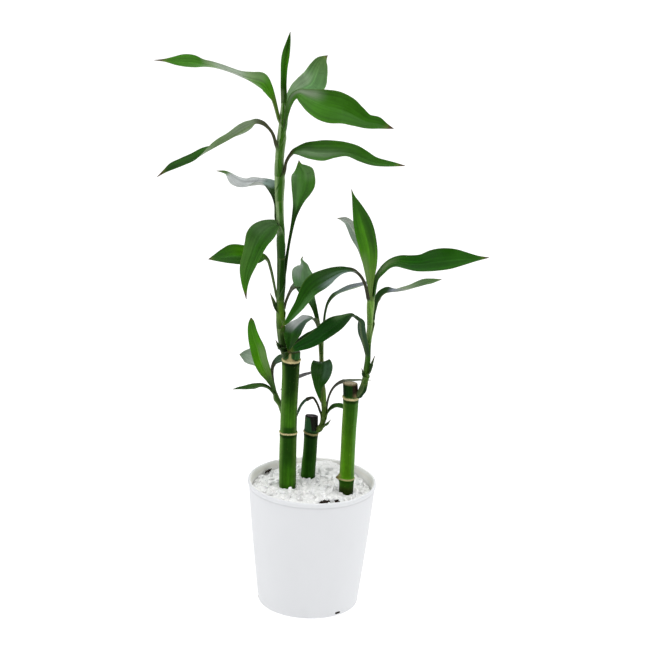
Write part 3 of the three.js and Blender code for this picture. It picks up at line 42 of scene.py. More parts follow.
# ------------------------------------------------------------------ sizes in mm, as in the CAD model
POT_HEIGHT = 103.3
POT_RIM_RADIUS = 51.1
POT_BASE_RADIUS = 39.8
POT_WALL = 2.0
POT_FLOOR = 2.4
POT_LIP_PROUD = 0.45
POT_LIP_HEIGHT = 2.6
POT_FOOT_ROUND = 2.2
DRAIN_SLOTS = 3
DRAIN_SLOT_WIDTH = 5.0
DRAIN_SLOT_Z = (2.1, 4.0)
DRAIN_SLOT_FIRST_DEG = -52.5
TOPPING_TOP = 97.8
SOIL_TOP = 89.5

CANES = {
    "cane_left": dict(
        line=[(-18.9, 4.28, 84, 6.3), (-19.35, 4.28, 95.4, 6.35), (-20.08, 4.28, 122.78, 6.45), (-20.22, 4.28, 139.36, 6.6),
              (-20.33, 4.28, 168.51, 6.65), (-20.03, 4.28, 189.48, 6.85), (-19.94, 4.28, 202.4, 6.95), (-19.0, 4.28, 209.4, 6.2)],
        rings=[141.9, 202.4]),
    "cane_middle": dict(
        line=[(-3.5, 25.66, 84, 5.8), (-3.38, 25.66, 103.09, 5.75), (-2.63, 25.66, 118.67, 5.6), (-2.42, 25.66, 135.4, 5.5), (-2.4, 25.66, 148.3, 5.3)],
        rings=[134.0]),
    "cane_right": dict(
        line=[(27.4, -1.69, 84, 5.7), (27.4, -1.69, 104.9, 5.75), (27.62, -1.69, 147.42, 5.85), (28.02, -1.69, 175, 6.0), (27.1, -1.69, 186.9, 5.85)],
        rings=[107.0, 175.0]),
}

SHOOTS = {
    "tall_shoot": [
        [-23.92, 3.28, 203.5, 2.9],
        [-25.09, 1.88, 209.25, 3.2],
        [-27.14, 1.08, 217.72, 3.4],
        [-28.92, 1.48, 229.08, 3.3],
        [-29.95, 2.08, 243.64, 3.2],
        [-30.09, 3.08, 259.69, 3.1],
        [-30.43, 3.68, 279.86, 3.1],
        [-31.08, 4.08, 299.95, 3.1],
        [-32.57, 4.28, 319.94, 3.1],
        [-33.73, 4.28, 339.88, 3.45],
        [-34.18, 4.28, 351.79, 3.55],
        [-34.25, 4.28, 363.67, 3.45],
        [-33.96, 4.28, 376.31, 3.1],
        [-33.46, 4.28, 387.34, 2.7],
        [-32.97, 4.28, 398.33, 2.1],
        [-32.71, 4.28, 409.27, 1.2],
    ],
    "right_shoot": [
        [31.67, -2.69, 176.12, 2.3],
        [34.49, -3.29, 178.38, 2.5],
        [36.55, -4.09, 181.76, 2.85],
        [37.87, -4.49, 186.13, 2.85],
        [38.75, -4.69, 191.32, 2.5],
        [39.39, -4.69, 198.42, 2.35],
        [39.9, -4.69, 206.73, 2.3],
        [39.88, -4.49, 216.59, 2.15],
        [39.97, -4.29, 225.59, 2.25],
        [40.4, -4.09, 233.77, 2.2],
        [40.29, -3.89, 241.9, 2.15],
        [40.18, -3.59, 249.99, 2.2],
        [40.03, -3.29, 257.23, 1.9],
        [39.68, -2.99, 263.64, 1.2],
    ],
    "middle_shoot": [
        [2.71, 24.16, 136.21, 2.2],
        [5.17, 23.26, 139.65, 2.1],
        [6.76, 22.66, 144.64, 1.7],
        [7.23, 22.46, 153.69, 1.8],
        [6.64, 22.46, 163.01, 2],
        [5.61, 22.46, 171.45, 2],
        [4.77, 22.46, 181.56, 1.9],
        [4.08, 22.56, 191.61, 1.8],
        [3.33, 22.66, 203.31, 1.8],
        [2.49, 22.86, 213.25, 1.7],
        [1.21, 23.26, 222.25, 1.5],
        [-0.04, 23.46, 230.46, 0.9],
    ],
    "side_shoot": [
        [-21.84, 11.08, 139.7, 1.9],
        [-23.78, 12.68, 146.67, 1.9],
        [-25.83, 13.78, 155.09, 1.8],
        [-28.11, 14.18, 161.62, 1.7],
        [-30.5, 14.38, 166.53, 1.6],
        [-32.4, 14.38, 171.51, 1.4],
        [-33.98, 14.38, 176.51, 1],
    ],
}
LEAVES = {
    "tall_spear": ("tall_shoot", 48, [
        [-32.63, 2.48, 403.46, 1.52, -0.25, -0.06, -0.16, -0.99, -0.06],
        [-32.38, 1.88, 412.96, 2.21, -0.42, -0.01, -0.19, -0.98, -0.06],
        [-32.87, 1.28, 423.95, 2.29, -0.55, 0.02, -0.23, -0.97, -0.06],
        [-32.82, 0.68, 434.91, 2.5, -0.78, -0.14, -0.3, -0.95, -0.05],
        [-32.38, 0.08, 442.77, 2.92, -0.96, -0.35, -0.31, -0.95, -0.02],
        [-31.26, -0.22, 450.56, 2.59, -0.79, -0.43, -0.29, -0.96, 0],
        [-30.25, -0.52, 456.8, 1.7, -0.46, -0.28, -0.26, -0.97, 0],
        [-29.15, -0.72, 464.68, 0.15, -0.03, -0.02, -0.22, -0.98, 0.01],
    ]),
    "tall_leaf_01": ("tall_shoot", 11, [
        [-34, 3.28, 386, 0.76, 1.72, 0.24, 0.9, -0.41, 0.11],
        [-35.32, 2.68, 394.32, 0.74, 1.61, 0.28, 0.89, -0.44, 0.15],
        [-37.54, 1.88, 403.02, 0.77, 1.53, 0.43, 0.86, -0.48, 0.17],
        [-40.11, 0.28, 411.48, 1.11, 1.99, 0.98, 0.83, -0.53, 0.14],
        [-43.13, -2.72, 418.89, 1.85, 3.69, 2.65, 0.83, -0.54, 0.17],
        [-47.75, -6.72, 426.27, 0.43, 5.94, 5.19, 0.74, -0.47, 0.47],
        [-54.33, -10.72, 429.54, -1.6, 5.97, 3.96, 0.55, -0.35, 0.76],
        [-61.78, -14.72, 432.69, -2.1, 5.89, 2.25, 0.49, -0.15, 0.86],
        [-69.22, -18.72, 436.66, -2.32, 5.64, 1.1, 0.43, 0, 0.9],
        [-76.62, -22.22, 439.82, -2.38, 5.67, 0.8, 0.36, 0.02, 0.93],
        [-83.97, -25.72, 442.44, -2.73, 5.93, 0.96, 0.31, -0.01, 0.95],
        [-91.25, -29.72, 444.55, -2.2, 5.57, 1.69, 0.32, -0.15, 0.93],
        [-98.55, -32.72, 446.36, -1.74, 5.7, 3.65, 0.32, -0.44, 0.84],
        [-105.8, -35.72, 447.04, -1.55, 5.11, 3.84, 0.22, -0.54, 0.81],
        [-113.08, -37.72, 447.12, -0.89, 3.66, 2.51, 0.18, -0.53, 0.83],
        [-120.36, -39.72, 447.72, -0.3, 1.51, 0.88, 0.16, -0.47, 0.87],
        [-128.39, -41.22, 447.88, -0.04, 0.2, 0.11, 0.1, -0.45, 0.89],
    ]),
    "tall_leaf_02": ("tall_shoot", 10, [
        [-31.55, 5.48, 386.33, 1.31, -1.24, 0.03, -0.69, -0.72, 0.09],
        [-31.11, 6.18, 395.59, 1.15, -0.95, 0.04, -0.63, -0.76, 0.16],
        [-30.07, 8.08, 404.57, 1.46, -0.96, 0.03, -0.51, -0.75, 0.42],
        [-27.78, 11.78, 410.97, 3.19, -1.49, -0.56, -0.17, -0.64, 0.75],
        [-22.86, 19.28, 414.27, 5.13, -2.15, -3.56, 0.37, -0.45, 0.81],
        [-16.68, 30.28, 415.26, 6.31, -2.45, -6.71, 0.58, -0.41, 0.7],
        [-11.08, 41.28, 417.3, 9.11, -1.7, -4.94, 0.38, -0.39, 0.84],
        [-8.9, 51.28, 421.37, 8.71, -0.94, -1.97, 0.16, -0.38, 0.91],
        [-7.16, 61.28, 425.08, 6.92, -1.03, -1.37, 0.12, -0.41, 0.9],
        [-5.05, 68.78, 428.6, 3.94, -1.16, -1.57, 0.2, -0.47, 0.86],
        [-0.68, 75.28, 431.26, 0.14, -0.06, -0.08, 0.26, -0.51, 0.82],
    ]),
    "tall_leaf_03": ("tall_shoot", 9, [
        [-31.3, 2.68, 380.76, 0.21, -1.98, -0.19, -0.99, -0.11, 0.05],
        [-30.8, 1.88, 389.61, 0.4, -2.35, -0.26, -0.98, -0.17, 0.06],
        [-29.6, 0.68, 400.9, 1.49, -3.14, -0.79, -0.89, -0.44, 0.07],
        [-27.85, -1.22, 409.21, 1.76, -2.54, -1.43, -0.81, -0.59, 0.06],
        [-25.03, -4.22, 415.77, 1.22, -2.05, -2.52, -0.78, -0.62, 0.12],
        [-20.89, -8.22, 419.04, -0.97, -2.05, -3.58, -0.63, -0.59, 0.51],
        [-15.87, -12.22, 417.94, -3.38, -2.74, -5.27, -0.35, -0.72, 0.6],
        [-9.31, -16.22, 415.75, -4.38, -3.73, -8.13, -0.3, -0.79, 0.53],
        [-1.67, -20.22, 414.08, -3.94, -4.72, -10.5, -0.31, -0.82, 0.48],
        [6.66, -23.72, 413.17, -3.64, -5.24, -11.1, -0.26, -0.84, 0.48],
        [14.99, -26.72, 411.68, -4.25, -4.92, -9.2, -0.13, -0.85, 0.51],
        [23.37, -29.22, 408.32, -3.67, -4.15, -6.34, -0.01, -0.83, 0.55],
        [30.98, -31.22, 405.35, -1.91, -3.57, -4.5, -0.05, -0.77, 0.63],
        [39.22, -33.22, 404.78, -1.44, -3.4, -3.73, -0.02, -0.73, 0.68],
        [45.27, -34.32, 402.99, -0.77, -1.74, -1.75, 0.07, -0.72, 0.69],
        [51.16, -35.22, 401.53, -0.05, -0.12, -0.12, 0.07, -0.7, 0.71],
    ]),
    "tall_leaf_04": ("tall_shoot", 16, [
        [-35.74, 2.48, 366.45, -0.43, 1.75, 0.03, 0.96, 0.23, 0.15],
        [-36.89, 2.08, 374.39, -0.57, 1.6, 0.04, 0.93, 0.32, 0.19],
        [-38.3, 1.28, 381.15, -0.64, 1.36, 0.01, 0.85, 0.4, 0.33],
        [-40.41, 0.28, 386.33, -0.72, 1.19, -0.09, 0.71, 0.47, 0.53],
        [-43.85, -1.32, 390.82, -0.88, 1.18, -0.31, 0.46, 0.53, 0.71],
        [-48.66, -3.72, 394.5, -1.09, 1.41, -1.29, 0.02, 0.68, 0.73],
        [-53.19, -5.32, 395.33, -0.29, 1.72, -2.39, -0.34, 0.74, 0.58],
        [-57.62, -6.92, 393.05, 0.84, 2.9, -3.93, -0.51, 0.74, 0.44],
        [-64.24, -9.72, 389.9, 0.87, 4.09, -4.91, -0.52, 0.7, 0.49],
        [-72.71, -12.72, 385.32, 0.32, 5.35, -4.18, -0.53, 0.54, 0.65],
        [-81.54, -15.72, 380.89, -0.34, 6.15, -3.33, -0.53, 0.38, 0.76],
        [-90.35, -18.72, 376.08, -1.74, 6.72, -0.9, -0.52, -0.02, 0.86],
        [-99.12, -21.72, 370.03, -2.25, 5.3, 0.66, -0.37, -0.27, 0.89],
        [-107.18, -24.72, 366.75, -2.03, 4.89, 1.12, -0.28, -0.32, 0.9],
        [-114.54, -26.72, 363.55, -1.83, 3.81, 1.35, -0.33, -0.45, 0.83],
        [-119.67, -28.22, 360.15, -0.99, 1.88, 0.66, -0.41, -0.49, 0.77],
        [-125.52, -29.72, 355.63, -0.1, 0.2, 0.07, -0.45, -0.5, 0.74],
    ]),
    "tall_leaf_05": ("tall_shoot", 12, [
        [-30.97, 2.08, 346.95, 0.17, -1.78, -0.16, -0.99, -0.1, 0.07],
        [-30.19, 1.28, 356.71, 0.29, -1.56, -0.22, -0.98, -0.19, 0.09],
        [-29.16, 0.28, 363.66, 0.26, -1.42, -0.4, -0.94, -0.24, 0.25],
        [-26.83, -1.12, 368.53, 0.14, -1.55, -0.68, -0.86, -0.26, 0.43],
        [-23.41, -3.32, 372.86, -0.39, -2.9, -1.64, -0.71, -0.27, 0.65],
        [-17.55, -6.72, 375.61, -2.06, -5.63, -3.57, -0.44, -0.36, 0.82],
        [-7.98, -11.72, 376.26, -3.4, -7.66, -5.3, -0.31, -0.44, 0.84],
        [1.9, -16.72, 377.63, -3, -8.16, -5.92, -0.38, -0.45, 0.81],
        [11.68, -21.72, 380.08, -3.55, -8.69, -4.2, -0.27, -0.33, 0.9],
        [20.74, -25.72, 380.39, -3.6, -7.51, -2.71, 0.02, -0.35, 0.94],
        [28.39, -28.72, 377.59, -3.11, -5.83, -2.73, 0.12, -0.47, 0.87],
        [36.77, -31.72, 374.98, -1.86, -4.3, -2.24, 0.01, -0.47, 0.88],
        [46.54, -34.72, 374.37, -0.91, -3, -1.7, -0.1, -0.47, 0.88],
        [54.03, -36.72, 374.27, -0.44, -1.74, -0.99, -0.09, -0.47, 0.88],
        [61.14, -38.22, 374.02, -0.04, -0.18, -0.1, -0.07, -0.48, 0.88],
    ]),
    "tall_leaf_06": ("tall_shoot", 14, [
        [-35.04, 5.88, 318.58, 0.56, 2.02, -0.13, 0.96, -0.26, 0.13],
        [-35.95, 6.68, 327.14, 1.26, 3.16, -0.34, 0.92, -0.34, 0.21],
        [-37.37, 8.28, 333.84, 2.51, 4.3, -1.06, 0.83, -0.38, 0.41],
        [-39.66, 11.88, 339.48, 5.86, 5.89, -2.72, 0.6, -0.24, 0.76],
        [-43.96, 18.78, 341.28, 7.02, 4.72, -0.65, 0.09, 0, 1],
        [-50.12, 27.28, 339.54, 5.82, 4.63, 1.58, -0.3, 0.06, 0.95],
        [-55.8, 35.28, 336.59, 5.27, 4.72, 2.72, -0.45, -0.01, 0.89],
        [-61.53, 43.28, 333.87, 5.88, 4.87, 2.82, -0.39, -0.06, 0.92],
        [-66.52, 50.28, 332.84, 6.13, 4.39, 1.17, -0.11, -0.1, 0.99],
        [-71.61, 57.28, 334.18, 4.51, 3.39, -0.07, 0.13, -0.15, 0.98],
        [-75.44, 62.28, 335.63, 2.39, 1.99, 0.14, 0.05, -0.13, 0.99],
        [-80.05, 67.28, 335.92, 1.33, 1.36, 0.42, -0.18, -0.13, 0.98],
        [-85.61, 72.28, 335.02, 0.2, 0.23, 0.09, -0.27, -0.12, 0.96],
    ]),
    "tall_leaf_07": ("tall_shoot", 8, [
        [-27.56, 5.08, 266.52, 0.62, -1.69, 0.09, -0.94, -0.34, 0.08],
        [-26.78, 6.08, 280.09, 0.92, -0.92, 0.03, -0.7, -0.7, 0.14],
        [-25.31, 8.08, 293.34, 0.77, -0.55, 0.02, -0.56, -0.79, 0.24],
        [-23.52, 11.28, 305.01, 1.01, -0.47, 0, -0.4, -0.84, 0.37],
        [-21.64, 15.78, 315.1, 1.71, -0.46, -0.09, -0.18, -0.8, 0.57],
        [-20.08, 20.78, 321.02, 2.95, -0.51, -0.26, -0.05, -0.69, 0.72],
        [-18.69, 27.28, 326.13, 4.93, -0.57, -0.72, 0.05, -0.59, 0.81],
        [-17.12, 34.28, 330.73, 7.55, -0.66, -1.24, 0.09, -0.52, 0.85],
        [-16, 41.78, 334.81, 9.38, -0.3, -0.67, 0.05, -0.44, 0.9],
        [-16.14, 50.28, 338.45, 9.33, 0.28, 0.65, -0.05, -0.35, 0.94],
        [-16.87, 58.28, 341.01, 7.85, 0.85, 2.27, -0.24, -0.29, 0.93],
        [-18.38, 64.28, 342.3, 4.45, 0.66, 1.96, -0.35, -0.27, 0.89],
        [-19.65, 69.78, 343.42, 1.99, 0.2, 0.52, -0.21, -0.31, 0.93],
        [-20.32, 75.28, 345.56, 0.16, 0.01, 0.02, -0.1, -0.37, 0.92],
    ]),
    "tall_leaf_08": ("tall_shoot", 11, [
        [-31.49, 1.28, 300.75, -1.3, 0.96, 0.01, 0.59, 0.79, 0.17],
        [-32.34, 0.08, 309.12, -1.82, 1.97, 0.21, 0.71, 0.62, 0.34],
        [-34.14, -2.52, 314.93, -1.85, 3.07, 1.78, 0.64, -0.06, 0.76],
        [-38.77, -6.72, 314.51, -5.37, 4.61, 2.78, 0.13, -0.4, 0.91],
        [-43.72, -12.22, 311.58, -8.2, 4.58, 3.64, 0.02, -0.6, 0.8],
        [-47.58, -16.72, 307.47, -9.19, 3.63, 2.9, -0.05, -0.7, 0.71],
        [-50.17, -21.22, 302.31, -8.15, 2.36, 1.76, -0.09, -0.78, 0.62],
        [-52.77, -25.72, 295.1, -6.71, 1.52, 1.55, -0.08, -0.86, 0.51],
        [-54.86, -28.72, 289.22, -6.08, 1.12, 1.3, -0.07, -0.9, 0.43],
        [-56.09, -30.72, 284.35, -5.14, 0.61, 0.68, -0.06, -0.92, 0.38],
        [-56.63, -32.72, 279.2, -3.74, 0.19, 0.14, -0.04, -0.95, 0.32],
        [-56.64, -34.32, 273.62, -2.29, -0.03, -0.14, 0, -0.96, 0.28],
        [-56.07, -35.72, 268.88, -1.13, -0.08, -0.13, 0.04, -0.97, 0.24],
        [-55.28, -36.72, 263.62, -0.15, -0.01, -0.02, 0.05, -0.98, 0.19],
    ]),
    "tall_leaf_09": ("tall_shoot", 10, [
        [-30.93, 3.08, 244.1, -0.28, 1.77, -0.12, 0.97, 0.16, 0.17],
        [-32.83, 3.48, 254.55, -0.16, 1.39, -0.05, 0.97, 0.12, 0.19],
        [-35.46, 3.28, 266.76, -0.1, 1.39, 0.08, 0.97, 0.06, 0.23],
        [-38.24, 1.78, 278.09, 0.03, 1.46, 0.36, 0.96, -0.09, 0.27],
        [-40.39, -0.22, 284.53, 0, 1.63, 0.76, 0.86, -0.22, 0.46],
        [-43.36, -2.12, 287.65, -0.71, 2.71, 1.46, 0.56, -0.27, 0.78],
        [-49, -4.72, 287.88, -1.69, 5.1, 3.15, 0.29, -0.43, 0.85],
        [-54.36, -6.72, 289.07, -1.11, 6.44, 4.99, 0.36, -0.53, 0.77],
        [-60.49, -8.72, 290.55, -1.11, 6.79, 6.09, 0.32, -0.6, 0.73],
        [-66.97, -10.72, 291.21, -2.2, 6.58, 6.11, 0.19, -0.63, 0.75],
        [-73.01, -12.72, 290.44, -2.3, 5.35, 4.3, 0.07, -0.61, 0.79],
        [-79.8, -14.72, 289.32, -1.19, 3.15, 2.16, 0.01, -0.56, 0.83],
        [-86.08, -16.22, 288.32, -0.06, 0.16, 0.1, -0.01, -0.54, 0.84],
    ]),
    "tall_leaf_10": ("tall_shoot", 10, [
        [-27.45, 5.08, 241.13, 0.29, -1.39, 0.47, -0.97, -0.13, 0.21],
        [-26.45, 7.28, 247.03, 0.51, -0.98, 0.47, -0.88, -0.27, 0.39],
        [-24.48, 12.28, 252.09, 0.8, -0.65, 0.62, -0.7, -0.2, 0.69],
        [-22.11, 21.28, 254.44, 1.33, -0.4, 0.58, -0.4, 0, 0.92],
        [-19.21, 33.28, 253.43, 2.95, -0.83, -0.27, 0.11, 0.08, 0.99],
        [-15.61, 45.28, 251.64, 4.52, -1.73, -1.72, 0.36, 0.03, 0.93],
        [-11.79, 56.28, 249.86, 5.34, -2.47, -3.21, 0.51, -0.02, 0.86],
        [-8.29, 66.28, 247.72, 4.3, -2.57, -3.91, 0.65, -0.06, 0.76],
        [-4.73, 75.28, 245.23, 2.34, -2.03, -3.11, 0.75, -0.13, 0.65],
        [-0.7, 83.28, 242.38, 0.09, -0.1, -0.15, 0.78, -0.17, 0.61],
    ]),
    "tall_leaf_11": ("tall_shoot", 10, [
        [-22.54, -3.92, 210.1, 0.49, -1.87, -0.5, -0.92, -0.31, 0.25],
        [-21.09, -4.72, 214.49, 0.28, -1.57, -0.13, -0.85, -0.19, 0.48],
        [-17.95, -3.72, 218.07, 0.42, -1.53, 0.21, -0.67, -0.08, 0.74],
        [-13.96, -1.72, 221.19, 0.71, -1.84, 0.35, -0.5, -0.03, 0.87],
        [-9, 0.78, 223.28, 1.67, -3.58, 0.31, -0.3, -0.06, 0.95],
        [-2.84, 3.78, 224.92, 2.53, -5.06, -0.33, -0.15, -0.14, 0.98],
        [3.35, 6.78, 226, 2.67, -5.69, -0.99, -0.07, -0.2, 0.98],
        [9.57, 9.28, 226.91, 1.72, -4.34, -1.08, -0.05, -0.26, 0.96],
        [15.8, 11.28, 227.82, 0.08, -0.23, -0.07, -0.04, -0.31, 0.95],
    ]),
    "tall_bract_1": ("tall_shoot", 20, [
        [-30.21, 0.88, 235.81, 1.13, 1.8, 0.51, 0.82, -0.56, 0.15],
        [-31.96, 0.08, 242.57, 1.38, 1.37, 0.57, 0.67, -0.73, 0.12],
        [-34.67, -0.72, 250.09, 1.16, 0.99, 0.55, 0.6, -0.78, 0.14],
        [-38, -1.72, 258.44, 0.13, 0.1, 0.06, 0.58, -0.8, 0.14],
    ]),
    "tall_bract_2": ("tall_shoot", 20, [
        [-28.1, -3.92, 212.77, 0.53, 2.19, 0.66, 0.86, -0.33, 0.39],
        [-29.91, -4.52, 216.2, 0.59, 1.36, 0.55, 0.81, -0.49, 0.33],
        [-32.54, -5.52, 221.38, 0.1, 0.15, 0.08, 0.74, -0.63, 0.25],
    ]),
    "right_spear": ("right_shoot", 12, [
        [40.23, -5.29, 252.17, 1.32, 0, 0.07, 0, -1, -0.09],
        [39.65, -6.29, 263.87, 1.62, 0, 0.09, 0, -0.99, -0.11],
        [39.03, -7.69, 274.83, 3.16, 0, 0.18, 0.01, -0.99, -0.14],
        [38.36, -9.69, 286.73, 5.29, 0.24, 0.52, 0.06, -0.98, -0.18],
        [36.82, -12.19, 299.08, 6.67, 0.74, 1.36, 0.14, -0.98, -0.15],
        [34.84, -13.69, 307.85, 7.03, 1.19, 1.97, 0.2, -0.97, -0.12],
        [32.57, -15.19, 316.17, 7.05, 1.56, 2.28, 0.24, -0.97, -0.08],
        [30.08, -16.29, 324.34, 6.23, 1.69, 2.21, 0.27, -0.96, -0.03],
        [27.48, -17.09, 332, 4.33, 1.23, 1.67, 0.27, -0.96, 0],
        [25.25, -17.69, 338.01, 2.7, 0.79, 1.08, 0.27, -0.96, 0.02],
        [23.29, -18.09, 343.17, 1.12, 0.31, 0.41, 0.26, -0.96, 0.02],
        [21.54, -18.49, 348.88, 0.14, 0.04, 0.05, 0.25, -0.97, 0.01],
    ]),
    "right_leaf_1": ("right_shoot", 14, [
        [39.89, -0.89, 251.56, 0.94, 0.52, -0.08, 0.49, -0.86, 0.16],
        [39.78, 0.91, 261.6, 1.09, 0.42, -0.07, 0.36, -0.9, 0.25],
        [39.08, 4.31, 271.11, 2.03, 0.62, -0.07, 0.28, -0.85, 0.44],
        [37.64, 9.81, 279.94, 3.75, 1.03, 0.14, 0.19, -0.76, 0.62],
        [35.01, 16.81, 287.49, 4.64, 1.33, 0.63, 0.08, -0.64, 0.76],
        [31.34, 25.31, 293.46, 4.86, 1.46, 1.18, -0.04, -0.54, 0.84],
        [27.39, 33.81, 297.99, 4.74, 1.49, 1.25, -0.09, -0.45, 0.89],
        [23.93, 42.31, 301.28, 4.08, 1.39, 0.98, -0.1, -0.37, 0.92],
        [20.82, 49.31, 303.66, 2.87, 1.45, 0.95, -0.16, -0.3, 0.94],
        [16.97, 54.81, 304.31, 1.72, 1.4, 1.11, -0.36, -0.27, 0.89],
        [11.89, 60.31, 303.2, 0.13, 0.14, 0.11, -0.47, -0.26, 0.84],
    ]),
    "right_leaf_2": ("right_shoot", 12, [
        [42.05, -3.89, 253.43, 0.34, -1.96, -0.18, -0.98, -0.17, 0.03],
        [42.55, -4.89, 265.18, 0.94, -1.92, -0.34, -0.89, -0.45, 0.05],
        [44.41, -6.49, 275.65, 1.23, -2.55, -1.04, -0.85, -0.49, 0.2],
        [48.84, -8.89, 283.53, 0.97, -3.9, -2.16, -0.78, -0.44, 0.44],
        [54.12, -11.19, 288.96, -0.06, -4.39, -2.74, -0.63, -0.4, 0.66],
        [59.67, -13.69, 291.55, -1.27, -5.07, -3.11, -0.4, -0.4, 0.82],
        [67.28, -16.69, 292.13, -1.85, -5.77, -3.74, -0.25, -0.47, 0.85],
        [75.61, -19.69, 292.98, -1.15, -6.52, -4.95, -0.32, -0.54, 0.78],
        [84.62, -22.19, 295.55, -0.23, -7.16, -6.6, -0.36, -0.63, 0.69],
        [93.61, -24.69, 297.79, -0.22, -6.88, -6.71, -0.32, -0.66, 0.68],
        [102.61, -26.69, 299.56, -0.44, -5.94, -5.75, -0.26, -0.66, 0.7],
        [111.25, -28.69, 300.59, -0.43, -4.19, -3.77, -0.22, -0.64, 0.74],
        [119.14, -30.19, 301.53, -0.15, -2.15, -1.67, -0.21, -0.59, 0.78],
        [128.35, -31.69, 302.99, -0.01, -0.16, -0.11, -0.22, -0.54, 0.82],
    ]),
    "right_leaf_3": ("right_shoot", 14, [
        [42.78, -0.89, 236.92, -0.11, -1.78, 0.23, -1, 0.06, 0.02],
        [42.99, 0.11, 244.81, -0.3, -1.72, 0.43, -0.98, 0.19, 0.08],
        [44.43, 2.31, 251.53, -1.19, -2.76, 1.6, -0.89, 0.44, 0.09],
        [46.72, 5.31, 256.89, -1.57, -2.97, 3.7, -0.8, 0.58, 0.13],
        [50.22, 8.81, 259.69, 0.95, -2.74, 4.32, -0.7, 0.52, 0.48],
        [54.87, 13.31, 259.77, 2.65, -2.77, 2.54, -0.34, 0.43, 0.83],
        [60.86, 18.31, 258.93, 2.44, -2.87, 1.35, -0.17, 0.3, 0.94],
        [67.23, 23.31, 258.77, 2.67, -3.43, 0.7, -0.11, 0.11, 0.99],
        [73.6, 28.31, 259.27, 2.87, -3.88, 0.29, -0.11, -0.01, 0.99],
        [79.17, 32.31, 260.15, 2.88, -3.94, -0.38, -0.04, -0.13, 0.99],
        [84.77, 36.31, 260.78, 2.35, -3.21, -1.04, 0.11, -0.23, 0.97],
        [90.42, 40.31, 260.84, 1.23, -1.84, -0.86, 0.21, -0.3, 0.93],
        [96.74, 44.31, 260.69, 0.11, -0.18, -0.09, 0.23, -0.33, 0.91],
    ]),
    "right_leaf_4": ("right_shoot", 17, [
        [39.01, -5.09, 253.69, -1.04, 1.59, 0.03, 0.82, 0.53, 0.22],
        [37.18, -6.49, 263.84, -0.72, 1.42, 0.08, 0.86, 0.42, 0.27],
        [35.06, -8.09, 271.56, -0.66, 1.45, 0.16, 0.84, 0.33, 0.42],
        [31.78, -10.49, 278.08, -0.72, 1.52, 0.24, 0.73, 0.25, 0.64],
        [27.1, -13.69, 282.99, -1.12, 2.09, 0.39, 0.47, 0.09, 0.88],
        [21.5, -17.19, 284.64, -1.9, 3.52, 0.84, 0.2, -0.13, 0.97],
        [15.76, -20.19, 284.52, -2.38, 4.44, 1.42, 0, -0.3, 0.95],
        [10.24, -22.69, 282.98, -3.4, 5.79, 2.18, -0.14, -0.42, 0.9],
        [4.85, -25.09, 280.46, -4.56, 6.79, 3.04, -0.21, -0.51, 0.83],
        [-0.67, -27.49, 277.29, -5.36, 6.99, 3.52, -0.27, -0.59, 0.76],
        [-6.14, -29.69, 272.78, -5.41, 5.86, 2.91, -0.39, -0.67, 0.62],
        [-10.78, -31.49, 266.26, -4.58, 3.93, 2.01, -0.45, -0.76, 0.47],
        [-14.73, -32.89, 259.47, -3.48, 2.83, 1.62, -0.43, -0.79, 0.44],
        [-18.65, -34.09, 253.74, -2.57, 2.06, 1.4, -0.41, -0.8, 0.43],
        [-22.07, -34.89, 248.86, -1.73, 1.35, 1.05, -0.38, -0.82, 0.43],
        [-25.29, -35.69, 244.8, -0.78, 0.67, 0.56, -0.36, -0.81, 0.47],
        [-28.24, -36.29, 241.73, -0.11, 0.1, 0.08, -0.35, -0.8, 0.49],
    ]),
    "right_leaf_5": ("right_shoot", 12, [
        [39.82, -6.59, 206.56, -1.33, 1.75, 0.06, 0.78, 0.59, 0.19],
        [38.56, -7.89, 216.04, -1.96, 1.45, -0.14, 0.56, 0.79, 0.25],
        [36.32, -9.69, 224.63, -2.61, 1.45, -0.36, 0.43, 0.85, 0.31],
        [34.39, -11.49, 231.89, -3.21, 1.58, -0.23, 0.41, 0.87, 0.29],
        [33.6, -12.89, 237.72, -3.02, 1.71, 0.17, 0.49, 0.83, 0.28],
        [33.25, -14.29, 242.25, -2.36, 1.84, -0.17, 0.52, 0.71, 0.48],
        [30.32, -16.19, 245.85, -1.35, 1.99, -0.08, 0.52, 0.39, 0.76],
        [27.12, -18.19, 248.57, -1.36, 2.21, 0.16, 0.28, 0.1, 0.96],
        [24.03, -20.19, 248.69, -2.08, 3.06, 0.25, -0.08, -0.14, 0.99],
        [20.4, -22.69, 246.93, -3.16, 4.16, 1.06, -0.21, -0.39, 0.9],
        [15.29, -25.49, 244.15, -4.12, 5.49, 2.56, -0.21, -0.54, 0.82],
        [9.44, -27.89, 240.56, -4.48, 5.74, 3.26, -0.24, -0.61, 0.75],
        [3.09, -30.49, 236.14, -4.13, 5.07, 3.14, -0.24, -0.65, 0.73],
        [-3.26, -32.89, 231.9, -3.16, 4.17, 3.01, -0.19, -0.67, 0.72],
        [-9.65, -34.89, 228.74, -2.26, 3.32, 2.76, -0.12, -0.68, 0.72],
        [-15.15, -36.49, 226.38, -1.54, 2.2, 1.98, -0.14, -0.71, 0.69],
        [-22.05, -38.09, 222.58, -0.08, 0.11, 0.1, -0.19, -0.73, 0.66],
    ]),
    "right_bract_1": ("right_shoot", 20, [
        [39.96, -7.49, 194.03, 0.35, -1.64, -0.26, -0.95, -0.23, 0.22],
        [41.44, -8.09, 199.69, 0.72, -1.85, -0.42, -0.9, -0.39, 0.2],
        [43.21, -8.89, 205.84, 0.63, -1.36, -0.34, -0.87, -0.45, 0.2],
        [45.31, -9.69, 213.14, 0.12, -0.23, -0.06, -0.85, -0.48, 0.19],
    ]),
    "right_bract_2": ("right_shoot", 20, [
        [38.5, -7.49, 191.47, 0.63, 1.44, 0.3, 0.88, -0.43, 0.21],
        [37.21, -7.89, 196.13, 0.62, 1.22, 0.31, 0.85, -0.48, 0.19],
        [35.39, -8.69, 202.14, 0.12, 0.21, 0.07, 0.82, -0.54, 0.18],
    ]),
